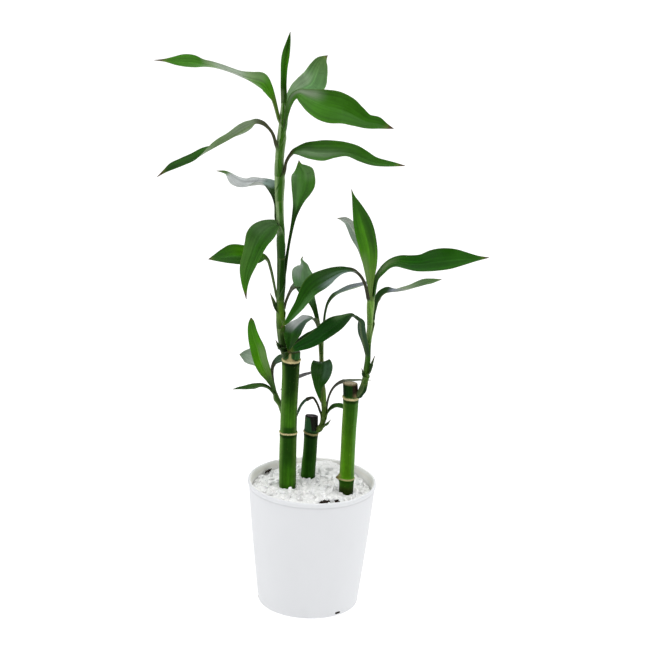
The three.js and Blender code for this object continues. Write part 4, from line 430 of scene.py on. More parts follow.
    "middle_leaf_1": ("middle_shoot", 7, [
        [6.14, 19.86, 173.25, -1.03, 0.01, -0.06, 0, 0.98, 0.2],
        [5.53, 17.66, 184.13, -1.19, 0.06, -0.05, 0.03, 0.96, 0.29],
        [5.05, 13.66, 194.25, -2.69, 0.09, -0.08, 0.01, 0.85, 0.53],
        [4.64, 7.66, 201.17, -4.98, -0.22, -0.81, -0.16, 0.48, 0.86],
        [4.43, 1.16, 202.74, -7.25, 0.21, -0.22, -0.03, -0.03, 1],
        [4.28, -5.34, 200.68, -8.54, 0.43, -0.01, -0.02, -0.42, 0.91],
        [3.85, -10.84, 197.28, -8.08, 0.5, 0.74, 0.03, -0.61, 0.79],
        [2.98, -15.34, 193.04, -6.08, 0.32, 0.92, 0.06, -0.75, 0.65],
        [2.23, -18.34, 189.11, -3.66, 0.04, 0.12, 0.01, -0.83, 0.55],
        [2.46, -20.34, 185.7, -2.16, -0.1, -0.28, -0.02, -0.88, 0.48],
        [3.49, -22.34, 181.66, -1.13, -0.1, -0.26, -0.01, -0.92, 0.39],
        [4.68, -23.84, 177.44, -0.15, -0.01, -0.04, 0, -0.94, 0.34],
    ]),
    "middle_leaf_2": ("middle_shoot", 10, [
        [1.48, 25.66, 218.12, 1.05, 0.71, 0.17, 0.54, -0.83, 0.16],
        [-0.45, 26.26, 227.44, 1.34, 0.8, 0.25, 0.47, -0.86, 0.21],
        [-3.18, 27.66, 236.86, 1.76, 1.03, 0.41, 0.41, -0.84, 0.35],
        [-6.66, 30.16, 244.64, 3.36, 1.83, 0.88, 0.29, -0.79, 0.54],
        [-9.92, 33.66, 250.04, 5.89, 2.65, 1.18, 0.19, -0.72, 0.67],
        [-12.14, 37.66, 254.5, 8.07, 2.61, 0.4, 0.17, -0.64, 0.75],
        [-13.24, 42.66, 258.38, 9.17, 1.86, -0.97, 0.19, -0.51, 0.84],
        [-13.59, 47.66, 260.98, 8.56, 0.94, -2.05, 0.25, -0.4, 0.88],
        [-13.28, 52.66, 262.95, 5.82, 0.39, -1.52, 0.26, -0.35, 0.9],
        [-13.25, 56.66, 264.4, 3.36, 0.51, 0.23, 0, -0.4, 0.91],
        [-14.33, 59.66, 265.95, 1.45, 0.31, 0.4, -0.09, -0.59, 0.8],
        [-15.23, 61.66, 267.64, 0.8, 0.06, -0.08, 0.13, -0.67, 0.73],
        [-14.05, 63.66, 269.6, 0.14, -0.02, -0.07, 0.2, -0.74, 0.64],
    ]),
    "middle_leaf_3": ("middle_shoot", 14, [
        [3.6, 24.46, 216.94, 0.26, -1.26, 0.19, -0.98, -0.19, 0.09],
        [4.25, 26.06, 226.86, 0.26, -0.96, 0.1, -0.96, -0.25, 0.1],
        [4.95, 26.86, 235.37, 0.28, -0.96, 0.09, -0.95, -0.26, 0.2],
        [6.73, 28.26, 242.47, 0.34, -1.24, 0.17, -0.88, -0.18, 0.44],
        [10.3, 30.06, 247.85, 0.6, -2.09, 0.3, -0.68, -0.09, 0.73],
        [15.53, 32.06, 251.25, 1.16, -4.01, 0.5, -0.44, -0.02, 0.9],
        [21.76, 34.06, 253.53, 1.32, -5.01, 0.42, -0.3, 0, 0.95],
        [28.81, 35.86, 255.41, 1.15, -5.07, 0.23, -0.25, -0.01, 0.97],
        [35.08, 37.26, 257.05, 0.83, -3.85, 0.01, -0.24, -0.05, 0.97],
        [39.78, 38.26, 258.26, 0.43, -2.07, -0.08, -0.23, -0.08, 0.97],
        [44.1, 39.06, 259.35, 0.08, -0.38, -0.03, -0.22, -0.12, 0.97],
    ]),
    "middle_leaf_4": ("middle_shoot", 12, [
        [3.9, 24.66, 178.21, 0.15, 1.17, -0.2, 0.94, -0.06, 0.34],
        [1.93, 25.86, 183.79, 0.1, 0.88, -0.15, 0.65, 0.05, 0.76],
        [-1.4, 26.46, 185.13, 0.12, 0.98, -0.14, 0.15, 0.13, 0.98],
        [-6.93, 26.86, 183.58, 0.14, 1.49, -0.16, -0.32, 0.13, 0.94],
        [-12.83, 27.06, 181.07, 0.1, 2.29, -0.2, -0.41, 0.1, 0.91],
        [-19.1, 26.86, 178, -0.09, 2.39, -0.21, -0.54, 0.05, 0.84],
        [-24.14, 26.06, 174.01, -0.22, 1.68, -0.19, -0.7, -0.01, 0.71],
        [-28.17, 24.66, 168.92, -0.11, 0.64, -0.09, -0.78, -0.04, 0.63],
    ]),
    "middle_leaf_5": ("middle_shoot", 12, [
        [9.12, 23.06, 147.58, 0.46, -1.21, 0.05, -0.91, -0.34, 0.22],
        [10.13, 23.66, 152.68, 0.35, -0.94, 0.05, -0.82, -0.28, 0.49],
        [12.41, 24.66, 155.48, 0.61, -1.48, -0.01, -0.56, -0.24, 0.8],
        [16.01, 26.06, 157.24, 1.04, -2.8, -0.42, -0.12, -0.19, 0.97],
        [20.83, 27.46, 156.67, 0.64, -3.59, -0.97, 0.3, -0.2, 0.93],
        [25.71, 28.46, 154.46, 0, -2.62, -0.73, 0.48, -0.24, 0.84],
        [30.64, 28.86, 151.45, -0.02, -0.29, -0.08, 0.52, -0.25, 0.82],
    ]),
    "middle_leaf_6": ("middle_shoot", 12, [
        [5.5, 23.26, 148.21, 0.44, 1.22, -0.03, 0.91, -0.32, 0.27],
        [3.8, 24.06, 154.83, 0.22, 0.87, -0.02, 0.91, -0.22, 0.35],
        [1.02, 24.66, 160.79, 0.16, 0.89, 0.01, 0.81, -0.15, 0.57],
        [-1.66, 25.06, 163.94, 0.1, 1.1, -0.01, 0.23, -0.01, 0.97],
        [-4.67, 25.26, 163.23, 0.08, 1.7, 0.08, -0.4, -0.03, 0.92],
        [-7.64, 25.46, 161.08, -0.25, 2.33, 0.29, -0.67, -0.16, 0.73],
        [-10.25, 25.26, 157.98, -0.67, 2.27, 0.25, -0.78, -0.29, 0.56],
        [-12.19, 24.86, 154.38, -0.88, 2.06, 0.13, -0.83, -0.38, 0.4],
        [-13.27, 24.46, 151.08, -0.7, 1.44, 0.02, -0.86, -0.43, 0.28],
        [-14.02, 24.06, 147.27, -0.15, 0.28, 0, -0.87, -0.45, 0.22],
    ]),
    "middle_leaf_7": ("middle_shoot", 12, [
        [9.14, 24.46, 153.03, 0.21, -1.28, 0.09, -0.99, -0.15, 0.06],
        [9.5, 25.06, 160.49, 0.15, -0.89, 0.05, -0.98, -0.15, 0.16],
        [11.16, 25.66, 167.31, 0.13, -0.89, 0.05, -0.92, -0.12, 0.37],
        [14.13, 26.46, 172.91, 0.13, -1.09, 0.12, -0.77, -0.03, 0.63],
        [18.3, 27.46, 176.54, 0.3, -1.86, 0.25, -0.48, 0.04, 0.88],
        [23.58, 28.66, 177.94, 0.51, -2.84, 0.32, -0.18, 0.08, 0.98],
        [29.56, 29.66, 178.34, 0.42, -2.76, 0.2, -0.05, 0.06, 1],
        [35.15, 30.46, 178.46, 0.27, -1.98, 0.08, 0.03, 0.05, 1],
        [39.96, 31.06, 178.02, 0.12, -1.09, 0.03, 0, 0.03, 1],
        [44.35, 31.46, 178.31, 0.05, -0.51, 0.02, -0.07, 0.03, 1],
    ]),
    "middle_leaf_8": ("middle_shoot", 10, [
        [1.37, 20.66, 218.95, -1.17, 0.84, -0.1, 0.55, 0.8, 0.24],
        [-0.35, 19.26, 227.67, -1.44, 1.27, -0.11, 0.57, 0.68, 0.45],
        [-3.66, 16.16, 233.53, -1.72, 1.67, 0, 0.39, 0.4, 0.83],
        [-8.21, 11.16, 235.48, -3.69, 3.37, 0.35, 0.07, -0.02, 1],
        [-12.76, 6.16, 234.05, -4.07, 3.37, 0.39, -0.15, -0.29, 0.95],
        [-16.49, 1.66, 231.42, -5.69, 3.91, 0.97, -0.2, -0.5, 0.84],
        [-19.34, -1.84, 227.94, -6.85, 3.37, 0.93, -0.25, -0.7, 0.67],
        [-20.63, -4.34, 223.94, -5.81, 1.99, 0.29, -0.26, -0.82, 0.51],
        [-21.31, -6.34, 219.81, -3.8, 0.87, 0.19, -0.18, -0.89, 0.41],
        [-21.84, -7.84, 215.85, -1.79, 0.33, 0.05, -0.16, -0.94, 0.31],
        [-22, -8.84, 212.06, -0.16, 0.02, 0, -0.13, -0.96, 0.26],
    ]),
    "middle_bract": ("middle_shoot", 20, [
        [7.4, 19.86, 141.02, 0.2, -1.2, -0.41, -0.73, -0.32, 0.6],
        [9.33, 19.46, 143.13, 0.19, -1.07, -0.36, -0.74, -0.33, 0.59],
        [11.25, 19.06, 145.4, 0.22, -0.87, -0.31, -0.76, -0.38, 0.53],
        [13.07, 18.66, 148.01, 0.07, -0.23, -0.09, -0.77, -0.42, 0.47],
    ]),
    "side_leaf_1": ("side_shoot", 14, [
        [-31.82, 12.08, 170.26, 1.03, 0.59, 0.43, 0.48, -0.88, 0.05],
        [-33.88, 11.28, 176.36, 1.27, 0.71, 0.62, 0.48, -0.88, 0.02],
        [-37.05, 9.48, 183.59, 2.18, 1.2, 1.27, 0.49, -0.87, -0.02],
        [-40.45, 7.28, 191.34, 3.97, 1.95, 2.23, 0.47, -0.88, -0.07],
        [-44, 4.28, 200.58, 5.01, 1.93, 2.16, 0.41, -0.9, -0.16],
        [-46.29, 1.28, 210.24, 5.26, 1.71, 2.02, 0.37, -0.9, -0.21],
        [-49.17, -2.22, 219.59, 4.46, 1.24, 1.59, 0.34, -0.91, -0.24],
        [-51.02, -5.22, 228.34, 3.54, 0.68, 0.75, 0.24, -0.93, -0.28],
        [-51.65, -7.22, 234.31, 2.68, 0.44, 0.35, 0.19, -0.94, -0.29],
        [-51.86, -8.32, 237.7, 1.75, 0.3, 0.25, 0.2, -0.94, -0.29],
        [-52.13, -9.12, 240.16, 0.3, 0.05, 0.05, 0.21, -0.94, -0.28],
    ]),
    "side_leaf_2": ("side_shoot", 12, [
        [-30.55, 12.18, 165.21, -0.01, 1.8, 0.07, 0.92, -0.01, 0.4],
        [-33.62, 11.88, 172.28, -0.1, 1.48, 0.2, 0.83, -0.02, 0.56],
        [-37.19, 10.68, 176.27, -0.34, 1.53, 0.32, 0.61, -0.03, 0.79],
        [-41.94, 8.68, 178.55, -1.04, 2.34, 0.45, 0.27, -0.06, 0.96],
        [-46.28, 6.28, 178.81, -1.58, 2.76, 0.66, 0.1, -0.18, 0.98],
        [-50.52, 3.78, 178.52, -1.8, 3.03, 0.83, 0.1, -0.21, 0.97],
        [-54.77, 1.28, 178.65, -1.33, 2.43, 0.79, 0.17, -0.22, 0.96],
        [-59.39, -1.22, 178.94, -0.8, 1.52, 0.51, 0.14, -0.24, 0.96],
        [-65.08, -4.22, 178.69, -0.12, 0.22, 0.07, 0.09, -0.25, 0.96],
    ]),
    "side_leaf_3": ("side_shoot", 12, [
        [-32.8, 16.28, 172.08, 1.03, 0.62, 0.19, 0.41, -0.82, 0.4],
        [-35.83, 18.78, 180.34, 1.4, 0.72, 0.31, 0.28, -0.79, 0.55],
        [-39.84, 23.78, 186.51, 3.04, 1.44, 1.02, 0.02, -0.61, 0.79],
        [-45.32, 31.78, 189.83, 4.52, 2.28, 2.85, -0.33, -0.42, 0.85],
        [-50.96, 40.78, 190.46, 4.31, 2.75, 4.8, -0.61, -0.32, 0.73],
        [-55.6, 49.28, 189.13, 2.45, 2.47, 4.95, -0.79, -0.29, 0.54],
        [-59.22, 56.28, 187, 0.84, 1.48, 3.05, -0.85, -0.34, 0.4],
        [-62.82, 62.28, 184.87, 0.03, 0.07, 0.15, -0.85, -0.38, 0.37],
    ]),
    "side_leaf_4": ("side_shoot", 12, [
        [-33.77, 16.28, 177.95, 0.66, -0.99, 0.15, -0.82, -0.56, -0.09],
        [-34.99, 16.68, 186.17, 0.73, -0.95, 0.08, -0.8, -0.6, 0.04],
        [-34.47, 17.28, 191.86, 0.99, -1.5, -0.1, -0.76, -0.52, 0.39],
        [-31.99, 18.28, 195.56, 1.71, -2.95, -0.54, -0.5, -0.43, 0.75],
        [-28.45, 19.78, 197.45, 2.24, -3.99, -0.99, -0.22, -0.35, 0.91],
        [-24.42, 21.78, 198.61, 2.09, -3.63, -1.05, -0.07, -0.32, 0.95],
        [-20.53, 23.78, 199.42, 1.11, -2.23, -0.73, -0.01, -0.32, 0.95],
        [-16.61, 25.28, 199.91, 0.09, -0.22, -0.08, 0.01, -0.33, 0.95],
    ]),
}


# ------------------------------------------------------------------ numbers, noise and curves
def lin(rgb):
    """Display colour 0..1 to linear."""
    c = np.asarray(rgb, float)
    return np.where(c <= 0.04045, c / 12.92, ((c + 0.055) / 1.055) ** 2.4)


def hexc(h):
    return lin([((h >> 16) & 255) / 255.0, ((h >> 8) & 255) / 255.0, (h & 255) / 255.0])


def smooth(a, b, x):
    t = np.clip((np.asarray(x, float) - a) / (b - a), 0, 1)
    return t * t * (3 - 2 * t)


def lattice(ix, iy, iz, seed):
    h = (ix.astype(np.int64) * 374761393 + iy.astype(np.int64) * 668265263 + iz.astype(np.int64) * 1440662683 + seed * 974711) & 0xFFFFFFFF
    h = ((h ^ (h >> 13)) * 1274126177) & 0xFFFFFFFF
    h = (h ^ (h >> 16)) & 0xFFFFFF
    return h / float(0xFFFFFF) * 2 - 1


def noise3(p, seed=0):
    """Smooth value noise in -1..1 at points p (..., 3)."""
    p = np.asarray(p, float)
    i = np.floor(p).astype(np.int64)
    f = p - i
    f = f * f * (3 - 2 * f)
    out = 0.0
    for dx in (0, 1):
        wx = f[..., 0] if dx else 1 - f[..., 0]
        for dy in (0, 1):
            wy = f[..., 1] if dy else 1 - f[..., 1]
            for dz in (0, 1):
                wz = f[..., 2] if dz else 1 - f[..., 2]
                out = out + wx * wy * wz * lattice(i[..., 0] + dx, i[..., 1] + dy, i[..., 2] + dz, seed)
    return out


def fbm(p, seed=0, octaves=3):
    p = np.asarray(p, float)
    out, amp, tot = 0.0, 1.0, 0.0
    for o in range(octaves):
        out = out + amp * noise3(p * 2**o + 17.3 * o, seed + o)
        tot += amp
        amp *= 0.5
    return out / tot


def resample(rows, count):
    """Cubic curve through the rows (first three numbers are a point), in equal steps of chord length."""
    P = np.asarray(rows, float)
    n = len(P)
    d = np.r_[0, np.cumsum(np.linalg.norm(np.diff(P[:, :3], axis=0), axis=1))]
    T = np.zeros_like(P)
    for i in range(n):
        if i == 0:
            T[i] = (P[1] - P[0]) / (d[1] - d[0])
        elif i == n - 1:
            T[i] = (P[-1] - P[-2]) / (d[-1] - d[-2])
        else:
            h0, h1 = d[i] - d[i - 1], d[i + 1] - d[i]
            T[i] = ((P[i] - P[i - 1]) / h0 * h1 + (P[i + 1] - P[i]) / h1 * h0) / (h0 + h1)
    t = np.linspace(0, d[-1], count) if np.isscalar(count) else np.asarray(count, float) * d[-1]
    k = np.clip(np.searchsorted(d, t, side="right") - 1, 0, n - 2)
    h = (d[k + 1] - d[k])[:, None]
    u = ((t - d[k]) / (d[k + 1] - d[k]))[:, None]
    return (2 * u**3 - 3 * u**2 + 1) * P[k] + (u**3 - 2 * u**2 + u) * h * T[k] + (-2 * u**3 + 3 * u**2) * P[k + 1] + (u**3 - u**2) * h * T[k + 1]


def unit(v):
    return v / np.maximum(np.linalg.norm(v, axis=-1, keepdims=True), 1e-12)


def tangents(P):
    return unit(np.gradient(P, axis=0))


# ------------------------------------------------------------------ meshes
def build(name, co, quads=None, tris=None, uv=None, col=None, attrs=None, material=None, sharp=None):
    """A mesh object from points in mm, with one uv and one colour per point."""
    me = bpy.data.meshes.new(name)
    co = np.asarray(co, np.float32) * MM
    me.vertices.add(len(co))
    me.vertices.foreach_set("co", np.ascontiguousarray(co, np.float32).ravel())
    parts, starts, at = [], [], 0
    for faces in (quads, tris):
        if faces is None or not len(faces):
            continue
        f = np.asarray(faces, np.int32)
        parts.append(f.ravel())
        starts.append(at + np.arange(len(f), dtype=np.int32) * f.shape[1])
        at += f.size
    loops = np.concatenate(parts)
    starts = np.concatenate(starts)
    me.loops.add(len(loops))
    me.loops.foreach_set("vertex_index", loops)
    me.polygons.add(len(starts))
    me.polygons.foreach_set("loop_start", starts)
    me.polygons.foreach_set("use_smooth", np.ones(len(starts), bool))
    me.update(calc_edges=True)
    if uv is not None:
        layer = me.uv_layers.new(name="UVMap")
        layer.data.foreach_set("uv", np.asarray(uv, np.float32)[loops].ravel())
    if col is not None:
        rgba = np.ones((len(co), 4), np.float32)
        rgba[:, :3] = np.clip(col, 0, 1)
        a = me.color_attributes.new(name="col", type="FLOAT_COLOR", domain="POINT")
        a.data.foreach_set("color", rgba.ravel())
    for key, value in (attrs or {}).items():
        a = me.attributes.new(name=key, type="FLOAT", domain="POINT")
        a.data.foreach_set("value", np.asarray(value, np.float32))
    if sharp is not None:
        me.set_sharp_from_angle(angle=math.radians(sharp))
    o = bpy.data.objects.new(name, me)
    bpy.context.scene.collection.objects.link(o)
    if material is not None:
        me.materials.append(material)
    return o


def grid_quads(rows, cols, closed=False, start=0, flip=False):
    """Quads of a rows x cols grid of points; closed joins the last column to the first."""
    r = np.arange(rows - 1)[:, None]
    c = np.arange(cols if closed else cols - 1)[None, :]
    a = start + r * cols + c
    b = start + r * cols + (c + 1) % cols
    q = np.stack([a, b, b + cols, a + cols], -1).reshape(-1, 4)
    return q[:, ::-1] if flip else q


def place(obj, node):
    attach(obj, "root")
    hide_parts(node)
    return obj


# ------------------------------------------------------------------ materials
class Mat:
    """A Principled material with small helpers for its nodes."""

    def __init__(self, name):
        self.m = bpy.data.materials.new(name)
        self.m.use_nodes = True
        self.t = self.m.node_tree
        self.t.nodes.clear()
        self.out = self.t.nodes.new("ShaderNodeOutputMaterial")
        self.b = self.t.nodes.new("ShaderNodeBsdfPrincipled")
        self.t.links.new(self.b.outputs[0], self.out.inputs[0])

    def n(self, kind, **kw):
        node = self.t.nodes.new(kind)
        for k, v in kw.items():
            setattr(node, k, v)
        return node

    def link(self, a, b):
        self.t.links.new(a, b)

    def set(self, **kw):
        for k, v in kw.items():
            self.b.inputs[k.replace("_", " ")].default_value = v

    def coords(self, kind="Object", scale=(1, 1, 1), rot=(0, 0, 0)):
        t = self.n("ShaderNodeTexCoord")
        m = self.n("ShaderNodeMapping")
        m.inputs["Scale"].default_value = scale
        m.inputs["Rotation"].default_value = rot
        self.link(t.outputs[kind], m.inputs["Vector"])
        return m.outputs[0]

    def noise(self, vec, scale, detail=2.0, rough=0.5, distortion=0.0):
        x = self.n("ShaderNodeTexNoise")
        x.inputs["Scale"].default_value = scale
        x.inputs["Detail"].default_value = detail
        x.inputs["Roughness"].default_value = rough
        x.inputs["Distortion"].default_value = distortion
        self.link(vec, x.inputs["Vector"])
        return x.outputs["Fac"]

    def rng(self, x, a, b, lo, hi):
        r = self.n("ShaderNodeMapRange")
        for k, v in (("From Min", a), ("From Max", b), ("To Min", lo), ("To Max", hi)):
            r.inputs[k].default_value = v
        self.link(x, r.inputs["Value"])
        return r.outputs[0]

    def math(self, op, a, b=None):
        x = self.n("ShaderNodeMath", operation=op)
        for i, v in enumerate((a, b)):
            if v is None:
                continue
            if isinstance(v, (int, float)):
                x.inputs[i].default_value = v
            else:
                self.link(v, x.inputs[i])
        return x.outputs[0]

    def mix(self, blend, fac, a, b):
        x = self.n("ShaderNodeMix", data_type="RGBA", blend_type=blend)
        for key, v in (("Factor_Float", fac), ("A_Color", a), ("B_Color", b)):
            s = next(i for i in x.inputs if i.identifier == key)
            if isinstance(v, (int, float)):
                s.default_value = v
            elif isinstance(v, (tuple, list)):
                s.default_value = (*v, 1.0)
            else:
                self.link(v, s)
        return next(o for o in x.outputs if o.identifier == "Result_Color")

    def ramp(self, x, stops):
        r = self.n("ShaderNodeValToRGB")
        e = r.color_ramp.elements
        while len(e) < len(stops):
            e.new(0.5)
        for k, (pos, c) in enumerate(stops):
            e[k].position = pos
            e[k].color = (*c, 1.0) if len(c) == 3 else c
        self.link(x, r.inputs[0])
        return r.outputs[0]

    def grey(self, x):
        c = self.n("ShaderNodeCombineColor")
        for i in range(3):
            self.link(x, c.inputs[i])
        return c.outputs[0]

    def bump(self, height, strength, distance, normal=None):
        x = self.n("ShaderNodeBump")
        x.inputs["Strength"].default_value = strength
        x.inputs["Distance"].default_value = distance
        self.link(height, x.inputs["Height"])
        if normal is not None:
            self.link(normal, x.inputs["Normal"])
        return x.outputs[0]

    def attr(self, name, out="Color"):
        a = self.n("ShaderNodeAttribute", attribute_name=name)
        return a.outputs[out]


def leaf_material(name, rough):
    m = Mat(name)
    col = m.attr("col")
    uv = m.coords("UV", (1, 1, 1))
    # parallel veins: fine lines along the blade, closer together towards the tip as the blade narrows
    streak = m.noise(m.coords("UV", (46, 1.4, 1)), 1.0, 3.0, 0.55)
    fine = m.noise(m.coords("UV", (130, 3.0, 1)), 1.0, 2.0, 0.5)
    mottle = m.noise(m.coords("Object"), 95.0, 3.0, 0.55)
    v = m.math("ADD", m.rng(streak, 0.25, 0.75, -0.20, 0.20), m.rng(mottle, 0.3, 0.7, -0.10, 0.10))
    v = m.math("ADD", v, m.rng(fine, 0.3, 0.7, -0.10, 0.10))
    v = m.math("ADD", v, 1.0)
    c = m.mix("MULTIPLY", 1.0, col, m.grey(v))
    m.link(c, m.b.inputs["Base Color"])
    m.link(m.rng(mottle, 0.3, 0.7, rough - 0.05, rough + 0.08), m.b.inputs["Roughness"])
    h = m.math("ADD", m.math("MULTIPLY", fine, 0.6), m.math("MULTIPLY", streak, 1.0))
    m.link(m.bump(h, 0.35, 0.00012), m.b.inputs["Normal"])
    m.set(Specular_IOR_Level=0.07)
    return m.m


def stem_material(name, rough=0.36):
    m = Mat(name)
    col = m.attr("col")
    streak = m.noise(m.coords("UV", (26, 14, 1)), 1.0, 3.0, 0.6)
    fine = m.noise(m.coords("UV", (110, 30, 1)), 1.0, 2.0, 0.5)
    mottle = m.noise(m.coords("Object"), 260.0, 3.0, 0.6)
    v = m.math("ADD", m.rng(streak, 0.25, 0.75, -0.16, 0.16), m.rng(mottle, 0.3, 0.7, -0.08, 0.08))
    v = m.math("ADD", m.math("ADD", v, m.rng(fine, 0.3, 0.7, -0.05, 0.05)), 1.0)
    c = m.mix("MULTIPLY", 1.0, col, m.grey(v))
    m.link(c, m.b.inputs["Base Color"])
    m.link(m.rng(mottle, 0.3, 0.7, rough - 0.05, rough + 0.1), m.b.inputs["Roughness"])
    h = m.math("ADD", streak, m.math("MULTIPLY", fine, 0.5))
    m.link(m.bump(h, 0.3, 0.00015), m.b.inputs["Normal"])
    m.set(Specular_IOR_Level=0.03)
    return m.m


def cane_material():
    m = Mat("cane_skin")
    col = m.attr("col")
    streak = m.noise(m.coords("UV", (60, 10, 1)), 1.0, 4.0, 0.6)
    fine = m.noise(m.coords("UV", (260, 34, 1)), 1.0, 2.0, 0.5)
    speck = m.noise(m.coords("Object"), 900.0, 2.0, 0.6)
    mottle = m.noise(m.coords("Object"), 130.0, 4.0, 0.6)
    v = m.math("ADD", m.rng(streak, 0.25, 0.75, -0.20, 0.20), m.rng(mottle, 0.3, 0.7, -0.16, 0.16))
    v = m.math("ADD", m.math("ADD", v, m.rng(fine, 0.3, 0.7, -0.07, 0.07)), 1.0)
    c = m.mix("MULTIPLY", 1.0, col, m.grey(v))
    # scattered paler corky specks
    s = m.rng(speck, 0.70, 0.76, 0.0, 0.35)
    c = m.mix("MIX", s, c, tuple(hexc(0x9A9160)))
    m.link(c, m.b.inputs["Base Color"])
    m.link(m.rng(mottle, 0.3, 0.7, 0.26, 0.46), m.b.inputs["Roughness"])
    h = m.math("ADD", m.math("ADD", streak, m.math("MULTIPLY", fine, 0.5)), m.math("MULTIPLY", speck, 0.35))
    m.link(m.bump(h, 0.4, 0.0002), m.b.inputs["Normal"])
    m.set(Specular_IOR_Level=0.03)
    return m.m


def pot_material():
    m = Mat("white_plastic")
    obj = m.coords("Object")
    broad = m.noise(obj, 22.0, 3.0, 0.5)
    grain = m.noise(obj, 2600.0, 2.0, 0.6)
    col = m.attr("col")
    v = m.math("ADD", m.rng(broad, 0.3, 0.7, -0.010, 0.010), m.rng(grain, 0.3, 0.7, -0.006, 0.006))
    v = m.math("ADD", v, 1.0)
    m.link(m.mix("MULTIPLY", 1.0, col, m.grey(v)), m.b.inputs["Base Color"])
    m.link(m.rng(broad, 0.3, 0.7, 0.46, 0.58), m.b.inputs["Roughness"])
    m.link(m.bump(grain, 0.10, 0.00006), m.b.inputs["Normal"])
    m.set(Specular_IOR_Level=0.40)
    return m.m


def stone_material():
    m = Mat("white_marble_chips")
    col = m.attr("col")
    obj = m.coords("Object")
    vein = m.noise(obj, 420.0, 4.0, 0.6, 0.6)
    grain = m.noise(obj, 2400.0, 3.0, 0.6)
    v = m.math("ADD", m.rng(vein, 0.3, 0.62, -0.09, 0.03), m.rng(grain, 0.3, 0.7, -0.03, 0.03))
    v = m.math("ADD", v, 1.0)
    m.link(m.mix("MULTIPLY", 1.0, col, m.grey(v)), m.b.inputs["Base Color"])
    m.link(m.rng(grain, 0.3, 0.7, 0.35, 0.65), m.b.inputs["Roughness"])
    m.link(m.bump(m.math("ADD", grain, vein), 0.35, 0.00018), m.b.inputs["Normal"])
    m.set(Specular_IOR_Level=0.5)
    return m.m


def soil_material():
    m = Mat("potting_mix")
    col = m.attr("col")
    obj = m.coords("Object")
    crumb = m.noise(obj, 520.0, 5.0, 0.65)
    fibre = m.noise(m.coords("Object", (1, 4, 1), (0.3, 0.4, 0.9)), 700.0, 3.0, 0.6)
    c = m.ramp(crumb, [(0.25, tuple(hexc(0x17110C))), (0.55, tuple(hexc(0x3A2A1D))), (0.8, tuple(hexc(0x6B5237)))])
    m.link(m.mix("MULTIPLY", 0.6, c, col), m.b.inputs["Base Color"])
    m.link(m.rng(fibre, 0.3, 0.7, 0.75, 0.95), m.b.inputs["Roughness"])
    m.link(m.bump(m.math("ADD", crumb, m.math("MULTIPLY", fibre, 0.5)), 0.8, 0.0006), m.b.inputs["Normal"])
    m.set(Specular_IOR_Level=0.25)
    return m.m


def slot_material():
    m = Mat("slot_shade_plastic")
    obj = m.coords("Object")
    # painted shade: darker greys for the faces inside the drain slots
    slot_shade_noise = m.noise(obj, 700.0, 4.0, 0.6)
    m.link(m.ramp(slot_shade_noise, [(0.3, tuple(hexc(0x5E5850))), (0.6, tuple(hexc(0x8C867E))), (0.85, tuple(hexc(0xB4AFA6)))]), m.b.inputs["Base Color"])
    m.link(m.rng(slot_shade_noise, 0.3, 0.7, 0.6, 0.85), m.b.inputs["Roughness"])
    m.link(m.bump(slot_shade_noise, 0.5, 0.0003), m.b.inputs["Normal"])
    m.set(Specular_IOR_Level=0.2)
    return m.m


MAT = {
    "leaf": leaf_material("leaf_blade", 0.30),
    "stem": stem_material("shoot_skin"),
    "cane": cane_material(),
    "pot": pot_material(),
    "slot": slot_material(),
    "stone": stone_material(),
    "soil": soil_material(),
}


# ------------------------------------------------------------------ pot
def wall(z):
    t = z / POT_HEIGHT
    return POT_BASE_RADIUS + (POT_RIM_RADIUS - POT_LIP_PROUD - POT_BASE_RADIUS) * t + 0.5 * np.sin(np.pi * np.clip(t, 0, 1))


def arc(cx, cz, r, a0, a1, n):
    a = np.radians(np.linspace(a0, a1, n))
    return [(cx + r * math.cos(t), cz + r * math.sin(t)) for t in a]


